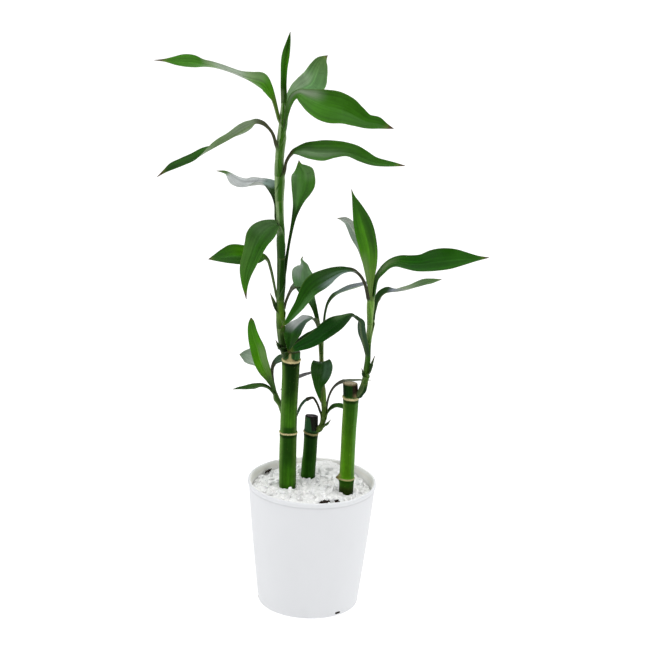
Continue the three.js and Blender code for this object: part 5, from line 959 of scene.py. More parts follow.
def make_pot():
    seg = 216
    pts = [(31.0, 0.7), (34.2, 0.62), (35.2, 0.3), (35.7, 0.0)]
    pts += arc(wall(POT_FOOT_ROUND) - POT_FOOT_ROUND, POT_FOOT_ROUND, POT_FOOT_ROUND, -90, 0, 9)
    pts += [(wall(z), z) for z in (4.2, 8, 14, 22, 31, 41, 51, 61, 71, 80, 88, 93.5, 97.4)]
    # the moulded lip: a shallow shadow line, then a band that stands a little proud up to the rounded top
    rim = POT_RIM_RADIUS - 50.0
    pts += [(wall(98.0) - 0.08, 98.0), (wall(98.5) - 0.24, 98.5), (wall(98.9) - 0.30, 98.9), (wall(99.3) - 0.22, 99.3), (wall(99.6) + 0.10, 99.6), (wall(100.0) + 0.36, 100.0)]
    pts += [(rim + q, z) for q, z in ((49.95, 100.7), (50.0, 101.4), (50.0, 102.2), (49.88, 102.75), (49.6, 103.1), (49.25, 103.28),
            (48.9, 103.3), (48.5, 103.26), (48.15, 103.05), (47.88, 102.7), (47.72, 102.2), (47.55, 101.4))]
    pts += [(wall(z) - POT_WALL, z) for z in (100, 97, 93, 88, 70, 45, 20, 8)]
    pts += arc(wall(4.2) - POT_WALL - 1.8, 4.2, 1.8, 0, -90, 6)[0:6]
    pts += [(31.0, POT_FLOOR), (16.0, POT_FLOOR)]
    pts = [(16.0, 0.7)] + pts
    prof = np.array(pts)
    n = len(prof)
    th = np.linspace(0, 2 * np.pi, seg, endpoint=False)
    # the moulded wall is very slightly out of round, as thin plastic is
    z = prof[:, 1][:, None]
    oval = 0.10 * np.cos(2 * th[None, :] + 0.8) * smooth(10, 100, z)
    r = prof[:, 0][:, None] + np.where(prof[:, 0][:, None] > 36, oval, 0)
    co = np.stack([r * np.cos(th), r * np.sin(th), np.broadcast_to(z, r.shape)], -1).reshape(-1, 3)
    quads = grid_quads(n, seg, closed=True)
    c0, c1 = len(co), len(co) + 1
    co = np.vstack([co, [[0, 0, 0.7], [0, 0, POT_FLOOR]]])
    i = np.arange(seg)
    tris = np.vstack([np.stack([(i + 1) % seg, i, np.full(seg, c0)], -1), np.stack([(n - 1) * seg + i, (n - 1) * seg + (i + 1) % seg, np.full(seg, c1)], -1)])
    body = build("pot_raw", co, quads, tris)
    cutters = []
    for k in range(DRAIN_SLOTS):
        a = math.radians(DRAIN_SLOT_FIRST_DEG + 360 / DRAIN_SLOTS * k)
        (low, high), w, cr = DRAIN_SLOT_Z, DRAIN_SLOT_WIDTH / 2, 0.9
        sec = arc(w - cr, high - cr, cr, 0, 90, 6) + arc(-w + cr, high - cr, cr, 90, 180, 6) + arc(-w + cr, low + cr, cr, 180, 270, 6) + arc(w - cr, low + cr, cr, 270, 360, 6)
        m = len(sec)
        ring = []
        for rad in (31.8, 47.8):
            for y, zz in sec:
                ring.append((rad * math.cos(a) - y * math.sin(a), rad * math.sin(a) + y * math.cos(a), zz))
        q = [(j, (j + 1) % m, m + (j + 1) % m, m + j) for j in range(m)]
        me = bpy.data.meshes.new("slot_cut")
        me.from_pydata([tuple(c * MM for c in v) for v in ring], [], [f[::-1] for f in q] + [tuple(range(m)), tuple(range(2 * m - 1, m - 1, -1))])
        import bmesh

        bm = bmesh.new()
        bm.from_mesh(me)
        bmesh.ops.recalc_face_normals(bm, faces=bm.faces)
        bm.to_mesh(me)
        bm.free()
        c = bpy.data.objects.new("slot_cut", me)
        bpy.context.scene.collection.objects.link(c)
        cutters.append(c)
        mod = body.modifiers.new("slot", "BOOLEAN")
        mod.operation = "DIFFERENCE"
        mod.solver = "EXACT"
        mod.object = c
    bpy.context.view_layer.update()
    dg = bpy.context.evaluated_depsgraph_get()
    me = bpy.data.meshes.new_from_object(body.evaluated_get(dg))
    for c in cutters:
        bpy.data.objects.remove(c)
    bpy.data.objects.remove(body)
    me.name = "pot_shell"
    for a in [x.name for x in me.attributes if x.name == "col"]:
        me.attributes.remove(me.attributes[a])
    co = np.zeros(len(me.vertices) * 3)
    me.vertices.foreach_get("co", co)
    co = co.reshape(-1, 3) / MM
    r = np.hypot(co[:, 0], co[:, 1])
    inside = (r < wall(co[:, 2]) - 1.0) & (co[:, 2] > 1.5)
    # painted light: the same plastic is painted much paler inside the pot than outside, to lift the shade inside
    white = np.array([0.705, 0.715, 0.735])
    inner = np.array([0.94, 0.937, 0.92])
    col = np.where(inside[:, None], inner, white)
    # faint handling marks low on the wall and a trace of mineral deposit above the stones
    mark = smooth(0.25, 0.7, fbm(co * [0.05, 0.05, 0.09], 5, 4))[:, None] * 0.03
    col = col * (1 - mark)
    # painted shade in the shadow line under the lip
    painted_lip_shade = (np.exp(-(((co[:, 2] - 98.9) / 0.6) ** 2)) * ~inside)[:, None]
    col = col * (1 - 0.12 * painted_lip_shade)
    tide = (np.exp(-(((co[:, 2] - 99.2) / 1.4) ** 2)) * inside)[:, None]
    col = col * (1 - tide * [0.06, 0.09, 0.14])
    rgba = np.ones((len(co), 4), np.float32)
    rgba[:, :3] = np.clip(col, 0, 1)
    a = me.color_attributes.new(name="col", type="FLOAT_COLOR", domain="POINT")
    a.data.foreach_set("color", rgba.ravel())
    me.polygons.foreach_set("use_smooth", np.ones(len(me.polygons), bool))
    me.set_sharp_from_angle(angle=math.radians(38))
    me.materials.clear()
    me.materials.append(MAT["pot"])
    # the faces cut by the drain slots get the darker material: painted shade inside the slots
    me.materials.append(MAT["slot"])
    for p in me.polygons:
        c = np.array(p.center) / MM
        nrm = np.array(p.normal)
        if not DRAIN_SLOT_Z[0] - 0.05 < c[2] < DRAIN_SLOT_Z[1] + 0.05 or not 31.7 < math.hypot(c[0], c[1]) < 41.5:
            continue
        for k in range(DRAIN_SLOTS):
            a = math.radians(DRAIN_SLOT_FIRST_DEG + 360 / DRAIN_SLOTS * k)
            along = c[0] * math.cos(a) + c[1] * math.sin(a)
            across = -c[0] * math.sin(a) + c[1] * math.cos(a)
            lean = abs(nrm[0] * math.cos(a) + nrm[1] * math.sin(a))
            if along > 0 and abs(across) < DRAIN_SLOT_WIDTH / 2 + 0.05 and lean < 0.05:
                p.material_index = 1
    o = bpy.data.objects.new("pot_shell", me)
    bpy.context.scene.collection.objects.link(o)
    return place(o, "pot")


# ------------------------------------------------------------------ soil
def make_soil():
    seg, rings = 150, 46
    top = 90.2
    th = np.linspace(0, 2 * np.pi, seg, endpoint=False)
    R = wall(top) - POT_WALL - 0.25
    rr = R * np.linspace(0.02, 1, rings) ** 0.8
    x = rr[:, None] * np.cos(th)
    y = rr[:, None] * np.sin(th)
    p = np.stack([x, y, np.zeros_like(x)], -1)
    z = top + 1.5 * fbm(p * 0.22, 31, 4) + 0.5 * fbm(p * 0.9, 37, 3)
    # soil shows between the stones at a few places near the rim, where it lies a little higher
    for gx, gy, gr, _ in GAPS:
        z = z + 1.6 * np.exp(-(((x - gx) ** 2 + (y - gy) ** 2) / (2 * (gr * 1.1) ** 2)))
    up = np.stack([x, y, z], -1).reshape(-1, 3)
    side = []
    for zz in (80.0, 40.0, 8.0, POT_FLOOR + 0.25):
        q = wall(zz) - POT_WALL - 0.25 - (1.6 if zz < 5 else 0)
        side.append(np.stack([q * np.cos(th), q * np.sin(th), np.full(seg, zz)], -1))
    co = np.vstack([up] + side + [[[0, 0, top + 0.3]], [[0, 0, POT_FLOOR + 0.25]]])
    n = rings + 4
    quads = grid_quads(n, seg, closed=True, flip=True)
    i = np.arange(seg)
    c0 = n * seg
    tris = np.vstack([np.stack([i, (i + 1) % seg, np.full(seg, c0)], -1), np.stack([(n - 1) * seg + (i + 1) % seg, (n - 1) * seg + i, np.full(seg, c0 + 1)], -1)])
    t = (0.75 + 0.35 * fbm(co * 0.35, 41, 3)) * np.where(co[:, 2] < 20, 3.2, 1.0)
    o = build("soil_bed", co, quads[:, ::-1], tris[:, ::1], col=t[:, None] * np.ones(3), material=MAT["soil"])
    return place(o, "potting_soil")


# ------------------------------------------------------------------ stones
# Places where the soil shows between the stones: x, y, radius, and how dark the hole reads.
GAPS = [(-38.0, 27.8, 2.3, 1), (-35.2, 29.8, 2.0, 1), (8.2, -28.0, 1.3, 1), (10.6, -25.2, 1.3, 1), (13.2, -25.6, 1.2, 1), (20.6, -25.0, 1.7, 1)]


def sphere_mesh(level):
    import bmesh

    bm = bmesh.new()
    bmesh.ops.create_icosphere(bm, subdivisions=level, radius=1.0)
    v = np.array([p.co[:] for p in bm.verts])
    f = np.array([[q.index for q in t.verts] for t in bm.faces])
    bm.free()
    return unit(v), f


def chip_radii(dirs, rng):
    """Distance from the centre to the surface of a broken stone, along each direction: flat faces with worn edges."""
    k = rng.integers(7, 11)
    n = unit(rng.normal(size=(k, 3)))
    d = rng.uniform(0.62, 1.0, k)
    c = np.maximum(dirs @ n.T, 1e-3)
    r = d[None, :] / c
    r = np.minimum(r, 3.0)
    sharp = 9.0
    return (np.sum(r**-sharp, 1)) ** (-1 / sharp)


def heap(x, y):
    """Height of the stones: slightly sloped, heaped at the back and a little round the left cane."""
    h = TOPPING_TOP + 0.1 - 0.012 * x + 0.035 * y + 3.6 * np.exp(-0.5 * (((x - 8) / 19) ** 2 + ((y - 45) / 10) ** 2))
    h = h + 3.2 * np.exp(-0.5 * (((x - 14) / 8) ** 2 + ((y - 47) / 7) ** 2))
    return h + 0.6 * np.exp(-((x + 19) ** 2 + (y + 6) ** 2) / 120.0) + 0.5 * np.sin(0.11 * x + 0.6) * np.cos(0.09 * y - 0.3)


def pack_stones():
    rng = np.random.default_rng(11)
    canes = []
    for c in CANES.values():
        x, y, _, r = c["line"][1]
        canes.append((x, y, r))
    px, py, pz, pr = [], [], [], []
    X = np.zeros(0)
    Y = np.zeros(0)
    Z = np.zeros(0)
    Rr = np.zeros(0)
    floor = 90.4
    count = 0
    misses = 0
    while count < 1400 and misses < 800:
        r = float(np.clip(rng.gamma(18.0, 0.197), 2.6, 4.8))
        best = None
        for _ in range(10):
            lim = wall(94) - POT_WALL - 0.86 * r
            a, q = rng.uniform(0, 2 * np.pi), lim * math.sqrt(rng.uniform())
            x, y = q * math.cos(a), q * math.sin(a)
            if any((x - cx) ** 2 + (y - cy) ** 2 < (cr + 0.80 * r) ** 2 for cx, cy, cr in canes):
                continue
            z = floor + 0.8 * r
            if len(X):
                s = 0.77 * (Rr + r)
                d2 = (X - x) ** 2 + (Y - y) ** 2
                near = d2 < s * s
                if near.any():
                    z = max(z, float(np.max(Z[near] + np.sqrt(s[near] ** 2 - d2[near]))))
            if any((x - gx) ** 2 + (y - gy) ** 2 < (gr + 0.62 * r) ** 2 for gx, gy, gr, _ in GAPS) and z > 89.5:
                continue
            if best is None or z < best[2]:
                best = (x, y, z)
        if best is None:
            continue
        x, y, z = best
        edge = smooth(30, 47, math.hypot(x, y))
        level = heap(x, y) - 0.2 * edge
        if z + 0.75 * r > level:
            misses += 1
            continue
        misses = 0
        X, Y, Z, Rr = np.append(X, x), np.append(Y, y), np.append(Z, z), np.append(Rr, r)
        count += 1
    return X, Y, Z, Rr


def rotation(rng):
    q = rng.normal(size=4)
    q /= np.linalg.norm(q)
    w, x, y, z = q
    return np.array([[1 - 2 * (y * y + z * z), 2 * (x * y - z * w), 2 * (x * z + y * w)], [2 * (x * y + z * w), 1 - 2 * (x * x + z * z), 2 * (y * z - x * w)], [2 * (x * z - y * w), 2 * (y * z + x * w), 1 - 2 * (x * x + y * y)]])


def make_bed():
    """The crushed white grit that fills the spaces between the larger chips, as one closed, lumpy layer with holes at the gaps."""
    step = 0.62
    lim = wall(97) - POT_WALL - 0.5
    n = int(2 * lim / step)
    g = (np.arange(n) - (n - 1) / 2) * step
    X, Y = np.meshgrid(g, g, indexing="ij")
    inside = np.hypot(X, Y) < lim - 0.4
    for c in CANES.values():
        x, y, _, r = c["line"][1]
        inside &= np.hypot(X - x, Y - y) > r - 0.8
    for gx, gy, gr, _ in GAPS:
        inside &= np.hypot(X - gx, Y - gy) > gr + 0.5 + 0.5 * noise3(np.stack([X * 0.8, Y * 0.8, X * 0], -1), 77)
    q = np.stack([X * 0.55, Y * 0.55, X * 0], -1)
    top = heap(X, Y) - 2.95 + 0.9 * fbm(q, 71, 3) + 0.35 * fbm(q * 3.4, 72, 2)
    top = np.minimum(top, heap(X, Y) - 2.2)
    m = n * n
    co = np.vstack([np.stack([X, Y, top], -1).reshape(-1, 3), np.stack([X, Y, np.full_like(X, 90.4)], -1).reshape(-1, 3)])
    cell = inside[:-1, :-1] & inside[1:, :-1] & inside[:-1, 1:] & inside[1:, 1:]
    I, J = np.nonzero(cell)
    a = I * n + J
    b, c, d = a + n, a + n + 1, a + 1
    quads = [np.stack([a, b, c, d], -1), np.stack([a + m, d + m, c + m, b + m], -1)]
    pad = np.pad(cell, 1)
    for di, dj, p, q2 in ((-1, 0, d, a), (1, 0, b, c), (0, -1, a, b), (0, 1, c, d)):
        open_side = ~pad[I + 1 + di, J + 1 + dj]
        p_, q_ = p[open_side], q2[open_side]
        quads.append(np.stack([q_, p_, p_ + m, q_ + m], -1))
    quads = np.vstack(quads)
    used, flat = np.unique(quads, return_inverse=True)
    co = co[used]
    quads = flat.reshape(quads.shape)
    tone = 0.84 + 0.08 * fbm(co * 0.9, 73, 3)
    o = build("stone_grit", co, quads, col=np.stack([tone, tone, tone * 0.995], -1), material=MAT["stone"])
    return place(o, "stone_topping")


def make_crumbs():
    """Crumbs of potting soil that lie between the stones at a few places."""
    rng = np.random.default_rng(91)
    dirs, faces = sphere_mesh(2)
    vs, fs, cs, at = [], [], [], 0
    for gx, gy, gr, _ in GAPS:
        for _ in range(30):
            a, q = rng.uniform(0, 2 * np.pi), (gr + 0.35) * math.sqrt(rng.uniform())
            x, y = gx + q * math.cos(a), gy + q * math.sin(a)
            if math.hypot(x, y) > wall(97) - POT_WALL - 1.2:
                continue
            s = rng.uniform(0.8, 1.4)
            p = dirs * chip_radii(dirs, rng)[:, None]
            p = p / np.max(np.linalg.norm(p, axis=1)) * [1.0, rng.uniform(0.6, 0.95), rng.uniform(0.5, 0.8)]
            p = p * (1 + 0.12 * fbm(p * 2.5 + at, 95, 3))[:, None]
            vs.append(p @ rotation(rng).T * s + [x, y, float(heap(x, y)) - 1.1 + rng.uniform(-0.5, 0.5)])
            fs.append(faces + at)
            cs.append(np.full((len(dirs), 3), rng.uniform(0.08, 0.3)))
            at += len(dirs)
    o = build("soil_crumbs", np.vstack(vs), tris=np.vstack(fs), col=np.vstack(cs), material=MAT["soil"], sharp=30)
    return place(o, "stone_topping")


def make_stones():
    make_bed()
    make_crumbs()
    X, Y, Z, R = pack_stones()
    rng = np.random.default_rng(23)
    # a stone is on top when no other stone's middle is above it and close
    top = np.array([not np.any(((X - X[i]) ** 2 + (Y - Y[i]) ** 2 < (0.55 * (R + R[i])) ** 2) & (Z > Z[i] + 0.8)) for i in range(len(X))])
    made = []
    for name, pick, level in (("stone_chips_top", top, 3), ("stone_chips_below", ~top, 2)):
        dirs, faces = sphere_mesh(level)
        vs, fs, cs, at = [], [], [], 0
        for i in np.nonzero(pick)[0]:
            rad = chip_radii(dirs, rng)
            stretch = np.array([1.0, rng.uniform(0.82, 1.0), rng.uniform(0.70, 0.95)])
            p = dirs * rad[:, None] * stretch
            p = p / np.max(np.linalg.norm(p, axis=1))
            p = p * (1 + 0.02 * fbm(p * 3 + i, 51, 2))[:, None]
            p = p @ rotation(rng).T * R[i] * 1.18 + [X[i], Y[i], Z[i]]
            tone = rng.uniform(0.82, 0.97)
            u = rng.uniform()
            if u < 0.14:
                tone = rng.uniform(0.68, 0.80)
            elif u < 0.145:
                tone = rng.uniform(0.50, 0.64)
            warm = rng.uniform(-0.012, 0.012)
            c = np.array([tone * (1 + warm), tone, tone * (1 - warm + 0.004)])
            shade = 1 + 0.05 * fbm(p * 0.8, 61, 2)[:, None]
            vs.append(p)
            fs.append(faces + at)
            cs.append(c * shade)
            at += len(dirs)
        o = build(name, np.vstack(vs), tris=np.vstack(fs), col=np.vstack(cs), material=MAT["stone"], sharp=24)
        place(o, "stone_topping")
        made.append(o)
    return made


# ------------------------------------------------------------------ canes
CANE_LOOKS = {
    # colours at the surface, from the bottom up, the painted light on the left and right sides, and the tone of the cut
    # end
    "cane_left": dict(low=0x24500A, high=0x0C2A03, left=0x648A3C, right=0x466424, stub=0x2C5426, cut=0x2F4A1E, rim=0x3A3A20, top=209.4, topr=6.2),
    "cane_middle": dict(low=0x24560C, high=0x17380E, left=0x3E6A1C, right=0x2C4E14, stub=0x2C5230, cut=0x241C20, rim=0x1C1418, top=148.3, topr=5.3),
    "cane_right": dict(low=0x4E860E, high=0x244C08, left=0x6A8E36, right=0x567E3C, stub=0x0F2C08, cut=0xA89A7C, rim=0x5E4E34, top=186.9, topr=5.85),
}


def make_cane(node):
    c = CANES[node]
    look = CANE_LOOKS[node]
    line = np.array(c["line"], float)
    x0, y0, z0, r0 = line[0]
    ref = resample(line, 300)
    rings = c["rings"]
    last = rings[-1]
    top = look["top"]
    zs = [np.linspace(42, 84, 6), np.linspace(84, top - 0.3, 120)]
    for zr in rings:
        zs.append(zr + np.linspace(-4.5, 4.5, 46))
    zs.append(top - np.array([2.4, 1.8, 1.3, 0.95, 0.6, 0.35, 0.2, 0.1, 0.04, 0.0]))
    zs = np.unique(np.round(np.concatenate(zs), 3))
    zs = zs[zs <= top]
    cols = 112
    th = np.linspace(0, 2 * np.pi, cols, endpoint=False)
    cx = np.interp(zs, ref[:, 2], ref[:, 0])
    cy = np.interp(zs, ref[:, 2], ref[:, 1])
    rad = np.interp(zs, ref[:, 2], ref[:, 3])
    if node == "cane_left":
        rad = rad + 0.4 * smooth(150.0, 118.0, zs)  # a little stouter at the foot
    Zg, Tg = np.meshgrid(zs, th, indexing="ij")
    seed = {"cane_left": 101, "cane_middle": 211, "cane_right": 307}[node]
    circ = np.stack([np.cos(Tg) * 1.0, np.sin(Tg) * 1.0, Zg * 0], -1)
    slow = fbm(np.stack([np.cos(Tg) * 1.3, np.sin(Tg) * 1.3, Zg * 0.045], -1), seed, 3)
    ridge = fbm(np.stack([np.cos(Tg) * 7, np.sin(Tg) * 7, Zg * 0.03], -1), seed + 9, 3)
    r = rad[:, None] * (1 + 0.014 * slow) + 0.07 * ridge
    ring_mask = np.zeros_like(Zg)
    ring_dim = np.zeros_like(Zg)
    dark_mask = np.zeros_like(Zg)
    for k, zr in enumerate(rings):
        wob = 0.35 * noise3(np.stack([np.cos(Tg) * 1.1, np.sin(Tg) * 1.1, np.full_like(Tg, k * 5.0)], -1), seed + 21) + 0.12 * noise3(
            np.stack([np.cos(Tg) * 5, np.sin(Tg) * 5, np.full_like(Tg, k * 5.0)], -1), seed + 22)
        lean = {("cane_middle", 0): 0.19, ("cane_right", 0): 0.04, ("cane_right", 1): 0.06, ("cane_left", 1): 0.03}.get((node, k), 0.0)
        dz = Zg - zr - wob + lean * np.cos(Tg) * rad[:, None]
        r = r + 0.55 * np.exp(-((dz / 0.85) ** 2)) * (1 + 0.25 * noise3(circ * 3 + k, seed + 23)) + 0.30 * np.exp(-((dz + 1.6) / 2.6) ** 2)
        r = r - 0.16 * np.exp(-(((dz + 1.55) / 0.45) ** 2)) - 0.10 * np.exp(-(((dz - 1.5) / 0.4) ** 2))
        thin, dim = {("cane_left", 0): (0.66, 0.15), ("cane_middle", 0): (0.74, 0.75), ("cane_right", 0): (0.62, 0.55)}.get((node, k), (0.92, 0.0))
        band = np.exp(-((dz / thin) ** 4))
        ring_mask = np.maximum(ring_mask, band)
        ring_dim = np.maximum(ring_dim, band * dim)
        dark_mask = np.maximum(dark_mask, np.exp(-(((dz + 2.3) / 1.1) ** 2)))
    # the cut end: a crisp edge that is a little worn
    edge = smooth(top - 0.75, top, Zg)
    r = r - 0.42 * edge**3 - 0.25 * smooth(top - 2.4, top, Zg) * (0.5 + 0.5 * noise3(circ * 2.2, seed + 31))
    ztop = Zg + edge**2 * 0.32 * noise3(circ * 2.6, seed + 33) + edge * 0.035 * (np.cos(Tg) * r) * (0.6 if node != "cane_middle" else -0.9)
    ztop = ztop - edge * {"cane_left": 0.17, "cane_middle": 0.14, "cane_right": 0.12}[node] * np.sin(Tg) * r
    # bumps: leaf scar and buds
    def dome(az, zc, h, wa, wz):
        d = np.arctan2(np.sin(Tg - az), np.cos(Tg - az)) * rad[:, None]
        return h * np.exp(-((d / wa) ** 2) - (((Zg - zc) / wz) ** 2))

    scar = np.zeros_like(Zg)
    if node == "cane_left":
        # an upside-down T: the torn edge of an old sheath, that runs down from the shoot's foot into the ring
        run = np.clip((Zg - 203.6) / 6.4, 0, 1)
        az = np.radians(-97.0 - 13.0 * run)
        d = np.arctan2(np.sin(Tg - az), np.cos(Tg - az)) * rad[:, None]
        arm = np.exp(-((d / (1.0 + 2.6 * np.exp(-((Zg - 203.4) / 1.4) ** 2))) ** 4)) * smooth(202.2, 203.2, Zg) * (1 - smooth(209.3, 210.6, Zg))
        scar = arm * (0.8 + 0.2 * ridge)
        r = r + 0.45 * arm
    if node == "cane_right":
        az = math.radians(-52)
        scar = 0.55 * dome(az, 177.6, 1.0, 1.9, 1.7)
        r = r + 0.8 * scar
        side_bulge = dome(math.radians(-176), 107.4, 1.0, 2.8, 1.9)
        r = r + 2.3 * side_bulge
        bud = dome(math.radians(-158), 109.6, 1.0, 1.5, 1.5)
        r = r + 0.8 * bud
        scar = scar + 0.9 * bud
    if node == "cane_middle":
        bud = dome(math.radians(-150), 146.0, 1.0, 1.2, 1.2)
        r = r + 0.15 * bud
        scar = 0.35 * bud
    co = np.stack([cx[:, None] + r * np.cos(Tg), cy[:, None] + r * np.sin(Tg), ztop], -1)
    # cut face
    fr = np.array([0.95, 0.9, 0.82, 0.7, 0.55, 0.38, 0.2, 0.08])
    edge_ring = co[-1]
    mid = edge_ring.mean(0)
    face = []
    for f in fr:
        p = mid + (edge_ring - mid) * f
        p[:, 2] = mid[2] + (edge_ring[:, 2] - mid[2]) * f - 0.28 * (1 - f**6) + 0.10 * fbm(np.stack([p[:, 0] * 0.9, p[:, 1] * 0.9, p[:, 2] * 0], -1), seed + 41, 3)
        face.append(p)
    face = np.array(face)
    nz = len(zs)
    allp = np.vstack([co.reshape(-1, 3), face.reshape(-1, 3), [mid - [0, 0, 0.3]], [[x0, y0, 42.0]]])
    n = nz + len(fr)
    quads = grid_quads(n, cols, closed=True)
    i = np.arange(cols)
    c0 = n * cols
    tris = np.vstack([np.stack([(n - 1) * cols + i, (n - 1) * cols + (i + 1) % cols, np.full(cols, c0)], -1), np.stack([(i + 1) % cols, i, np.full(cols, c0 + 1)], -1)])
    # colour
    low, high = hexc(look["low"]), hexc(look["high"])
    t = smooth(95, last - 2, Zg)
    base = low + (high - low) * t[..., None]
    # painted light: both sides are painted paler and the front middle painted darker, as the light falls
    nxv = np.cos(Tg)
    left, right = hexc(look["left"]), hexc(look["right"])
    fl = smooth(0.45, 1.0, -nxv)[..., None] * 0.75
    frr = smooth(0.35, 0.95, nxv)[..., None] * 0.75
    base = base * (1 - fl) + left * fl
    base = base * (1 - frr) + right * frr
    front_shade = np.exp(-((nxv / 0.5) ** 2)) * (np.sin(Tg) < 0)
    base = base * (1 - 0.18 * front_shade[..., None])
    if node == "cane_left":
        # painted shade: deep green just right of the middle on the front, from the upper ring down
        front_middle_shade = (np.exp(-(((nxv - 0.28) / 0.42) ** 2)) * (np.sin(Tg) < 0) * smooth(158, 190, Zg))[..., None] * 0.75
        base = base * (1 - front_middle_shade) + hexc(0x0B2600) * front_middle_shade
        # paler towards the foot of the upper internode, and where the cane stands in the stones
        fresh = (np.exp(-(((Zg - 155.0) / 15.0) ** 2)) * smooth(146.6, 148.0, Zg) * 0.50 + smooth(120.0, 105.0, Zg) * 0.45)[..., None] * (np.sin(Tg) < 0)[..., None] * smooth(0.98, 0.6, np.abs(nxv))[..., None]
        base = base * (1 - fresh) + hexc(0x3F7414) * (1 + 0.3 * ridge[..., None]) * fresh
        lit = (smooth(0.25, 0.7, -nxv) * np.exp(-(((Zg - 165.0) / 26.0) ** 2)))[..., None] * 0.35
        base = base * (1 - lit) + hexc(0x5A8434) * lit
    base = base * (1 + 0.34 * slow + 0.26 * ridge)[..., None]
    # a dark band under each ring, a cream ring, a darker dry stub above the last ring
    base = base * (1 - 0.62 * dark_mask[..., None])
    stub = smooth(last + 1.2, last + 2.6, Zg)[..., None]
    dry = hexc(look["stub"]) * (1 + 0.9 * ridge + 0.4 * slow)[..., None]
    base = base * (1 - stub) + dry * stub
    if node == "cane_right":
        purple = (smooth(0.1, 0.45, nxv) * smooth(last + 1.0, last + 2.4, Zg))[..., None] * 0.9
        base = base * (1 - purple) + hexc(0x22150F) * purple
        # deep green below the low ring, and brown where the cane goes into the stones
        under = smooth(rings[0] - 0.4, rings[0] - 1.6, Zg)[..., None] * (0.85 - 0.25 * slow[..., None])
        base = base * (1 - under) + hexc(0x1C4008) * under
        wet = smooth(101.5, 99.5, Zg)[..., None] * 0.5
        base = base * (1 - wet) + hexc(0x2A2010) * wet
    if node == "cane_middle":
        start = 0.16 - 0.50 * np.clip((Zg - last) / (top - last), 0, 1)
        purple = (smooth(0.0, 0.2, nxv - start) * smooth(last + 1.5, last + 3.5, Zg))[..., None] * 0.9
        base = base * (1 - purple) + hexc(0x1E1418) * purple
    cream = hexc(0xCDBE8F) * (1 + 0.35 * fbm(np.stack([np.cos(Tg) * 6, np.sin(Tg) * 6, Zg * 0.5], -1), seed + 51, 3))[..., None]
    cream = cream * (1 - ring_dim[..., None]) + hexc(0x7E7048) * (1 + 0.3 * ridge[..., None]) * ring_dim[..., None]
    base = base * (1 - ring_mask[..., None] * 0.93) + cream * ring_mask[..., None] * 0.93
    if node == "cane_right":
        knob = (np.clip(side_bulge * 1.3, 0, 1) * smooth(106.2, 107.2, Zg))[..., None] * 0.9
        base = base * (1 - knob) + hexc(0x4E3A26) * (1 + 0.4 * ridge[..., None]) * knob
    tan = hexc(0xBCAA78 if node == "cane_left" else 0x8A7A54)
    sc = np.clip(scar, 0, 1)[..., None] * 0.9
    base = base * (1 - sc) + tan * (1 + 0.3 * ridge[..., None]) * sc
    base = base * (1 - 0.35 * smooth(100.0, 97.0, Zg)[..., None])
    # the cut end
    cut, rimc = hexc(look["cut"]), hexc(look["rim"])
    rimmask = smooth(top - 0.9, top - 0.1, Zg)[..., None]
    base = base * (1 - rimmask) + (0.6 * rimc + 0.4 * cut) * rimmask
    fc = []
    for f, p in zip(fr, face):
        k = fbm(np.stack([p[:, 0] * 1.1, p[:, 1] * 1.1, p[:, 2] * 0], -1), seed + 61, 3)[:, None]
        ring = 0.5 + 0.5 * math.cos(f * 19)
        c_ = cut * (1 + 0.25 * k) * (0.86 + 0.14 * ring)
        if f > 0.88:
            c_ = rimc * 0.7 + cut * 0.3
        fc.append(np.broadcast_to(c_, p.shape) * 1.0)
    col = np.vstack([base.reshape(-1, 3), np.array(fc).reshape(-1, 3), [cut * 0.8], [cut * 0.4]])
    uv = np.stack([np.broadcast_to(np.abs(np.linspace(-1, 1, cols)), (n, cols)), np.broadcast_to(np.r_[zs, np.full(len(fr), top)][:, None] * 0.02, (n, cols))], -1).reshape(-1, 2)
    uv = np.vstack([uv, [[0, 0], [0, 0]]])
    o = build(node + "_bark", allp, quads, tris, uv=uv, col=col, material=MAT["cane"], sharp=50)
    return place(o, node)


# ------------------------------------------------------------------ shoots
class Shoot:
    def __init__(self, rows):
        self.P = resample(rows, 420)
        p = self.P[:, :3]
        self.a = np.r_[0, np.cumsum(np.linalg.norm(np.diff(p, axis=0), axis=1))]
        self.T = tangents(p)
        self.nodes = []  # distances along the shoot at which a sheath starts

    def nearest(self, q):
        return float(self.a[np.argmin(np.linalg.norm(self.P[:, :3] - q, axis=1))])

    def at(self, s):
        """Point, tangent and radius at distances s; past either end the axis goes straight on."""
        s = np.atleast_1d(np.asarray(s, float))
        out = [np.interp(s, self.a, self.P[:, k]) for k in range(4)]
        t = unit(np.stack([np.interp(s, self.a, self.T[:, k]) for k in range(3)], -1))
        p = np.stack(out[:3], -1)
        over = np.maximum(s - self.a[-1], 0)[:, None]
        under = np.minimum(s, 0)[:, None]
        p = p + t * over + t * under
        return p, t, out[3]


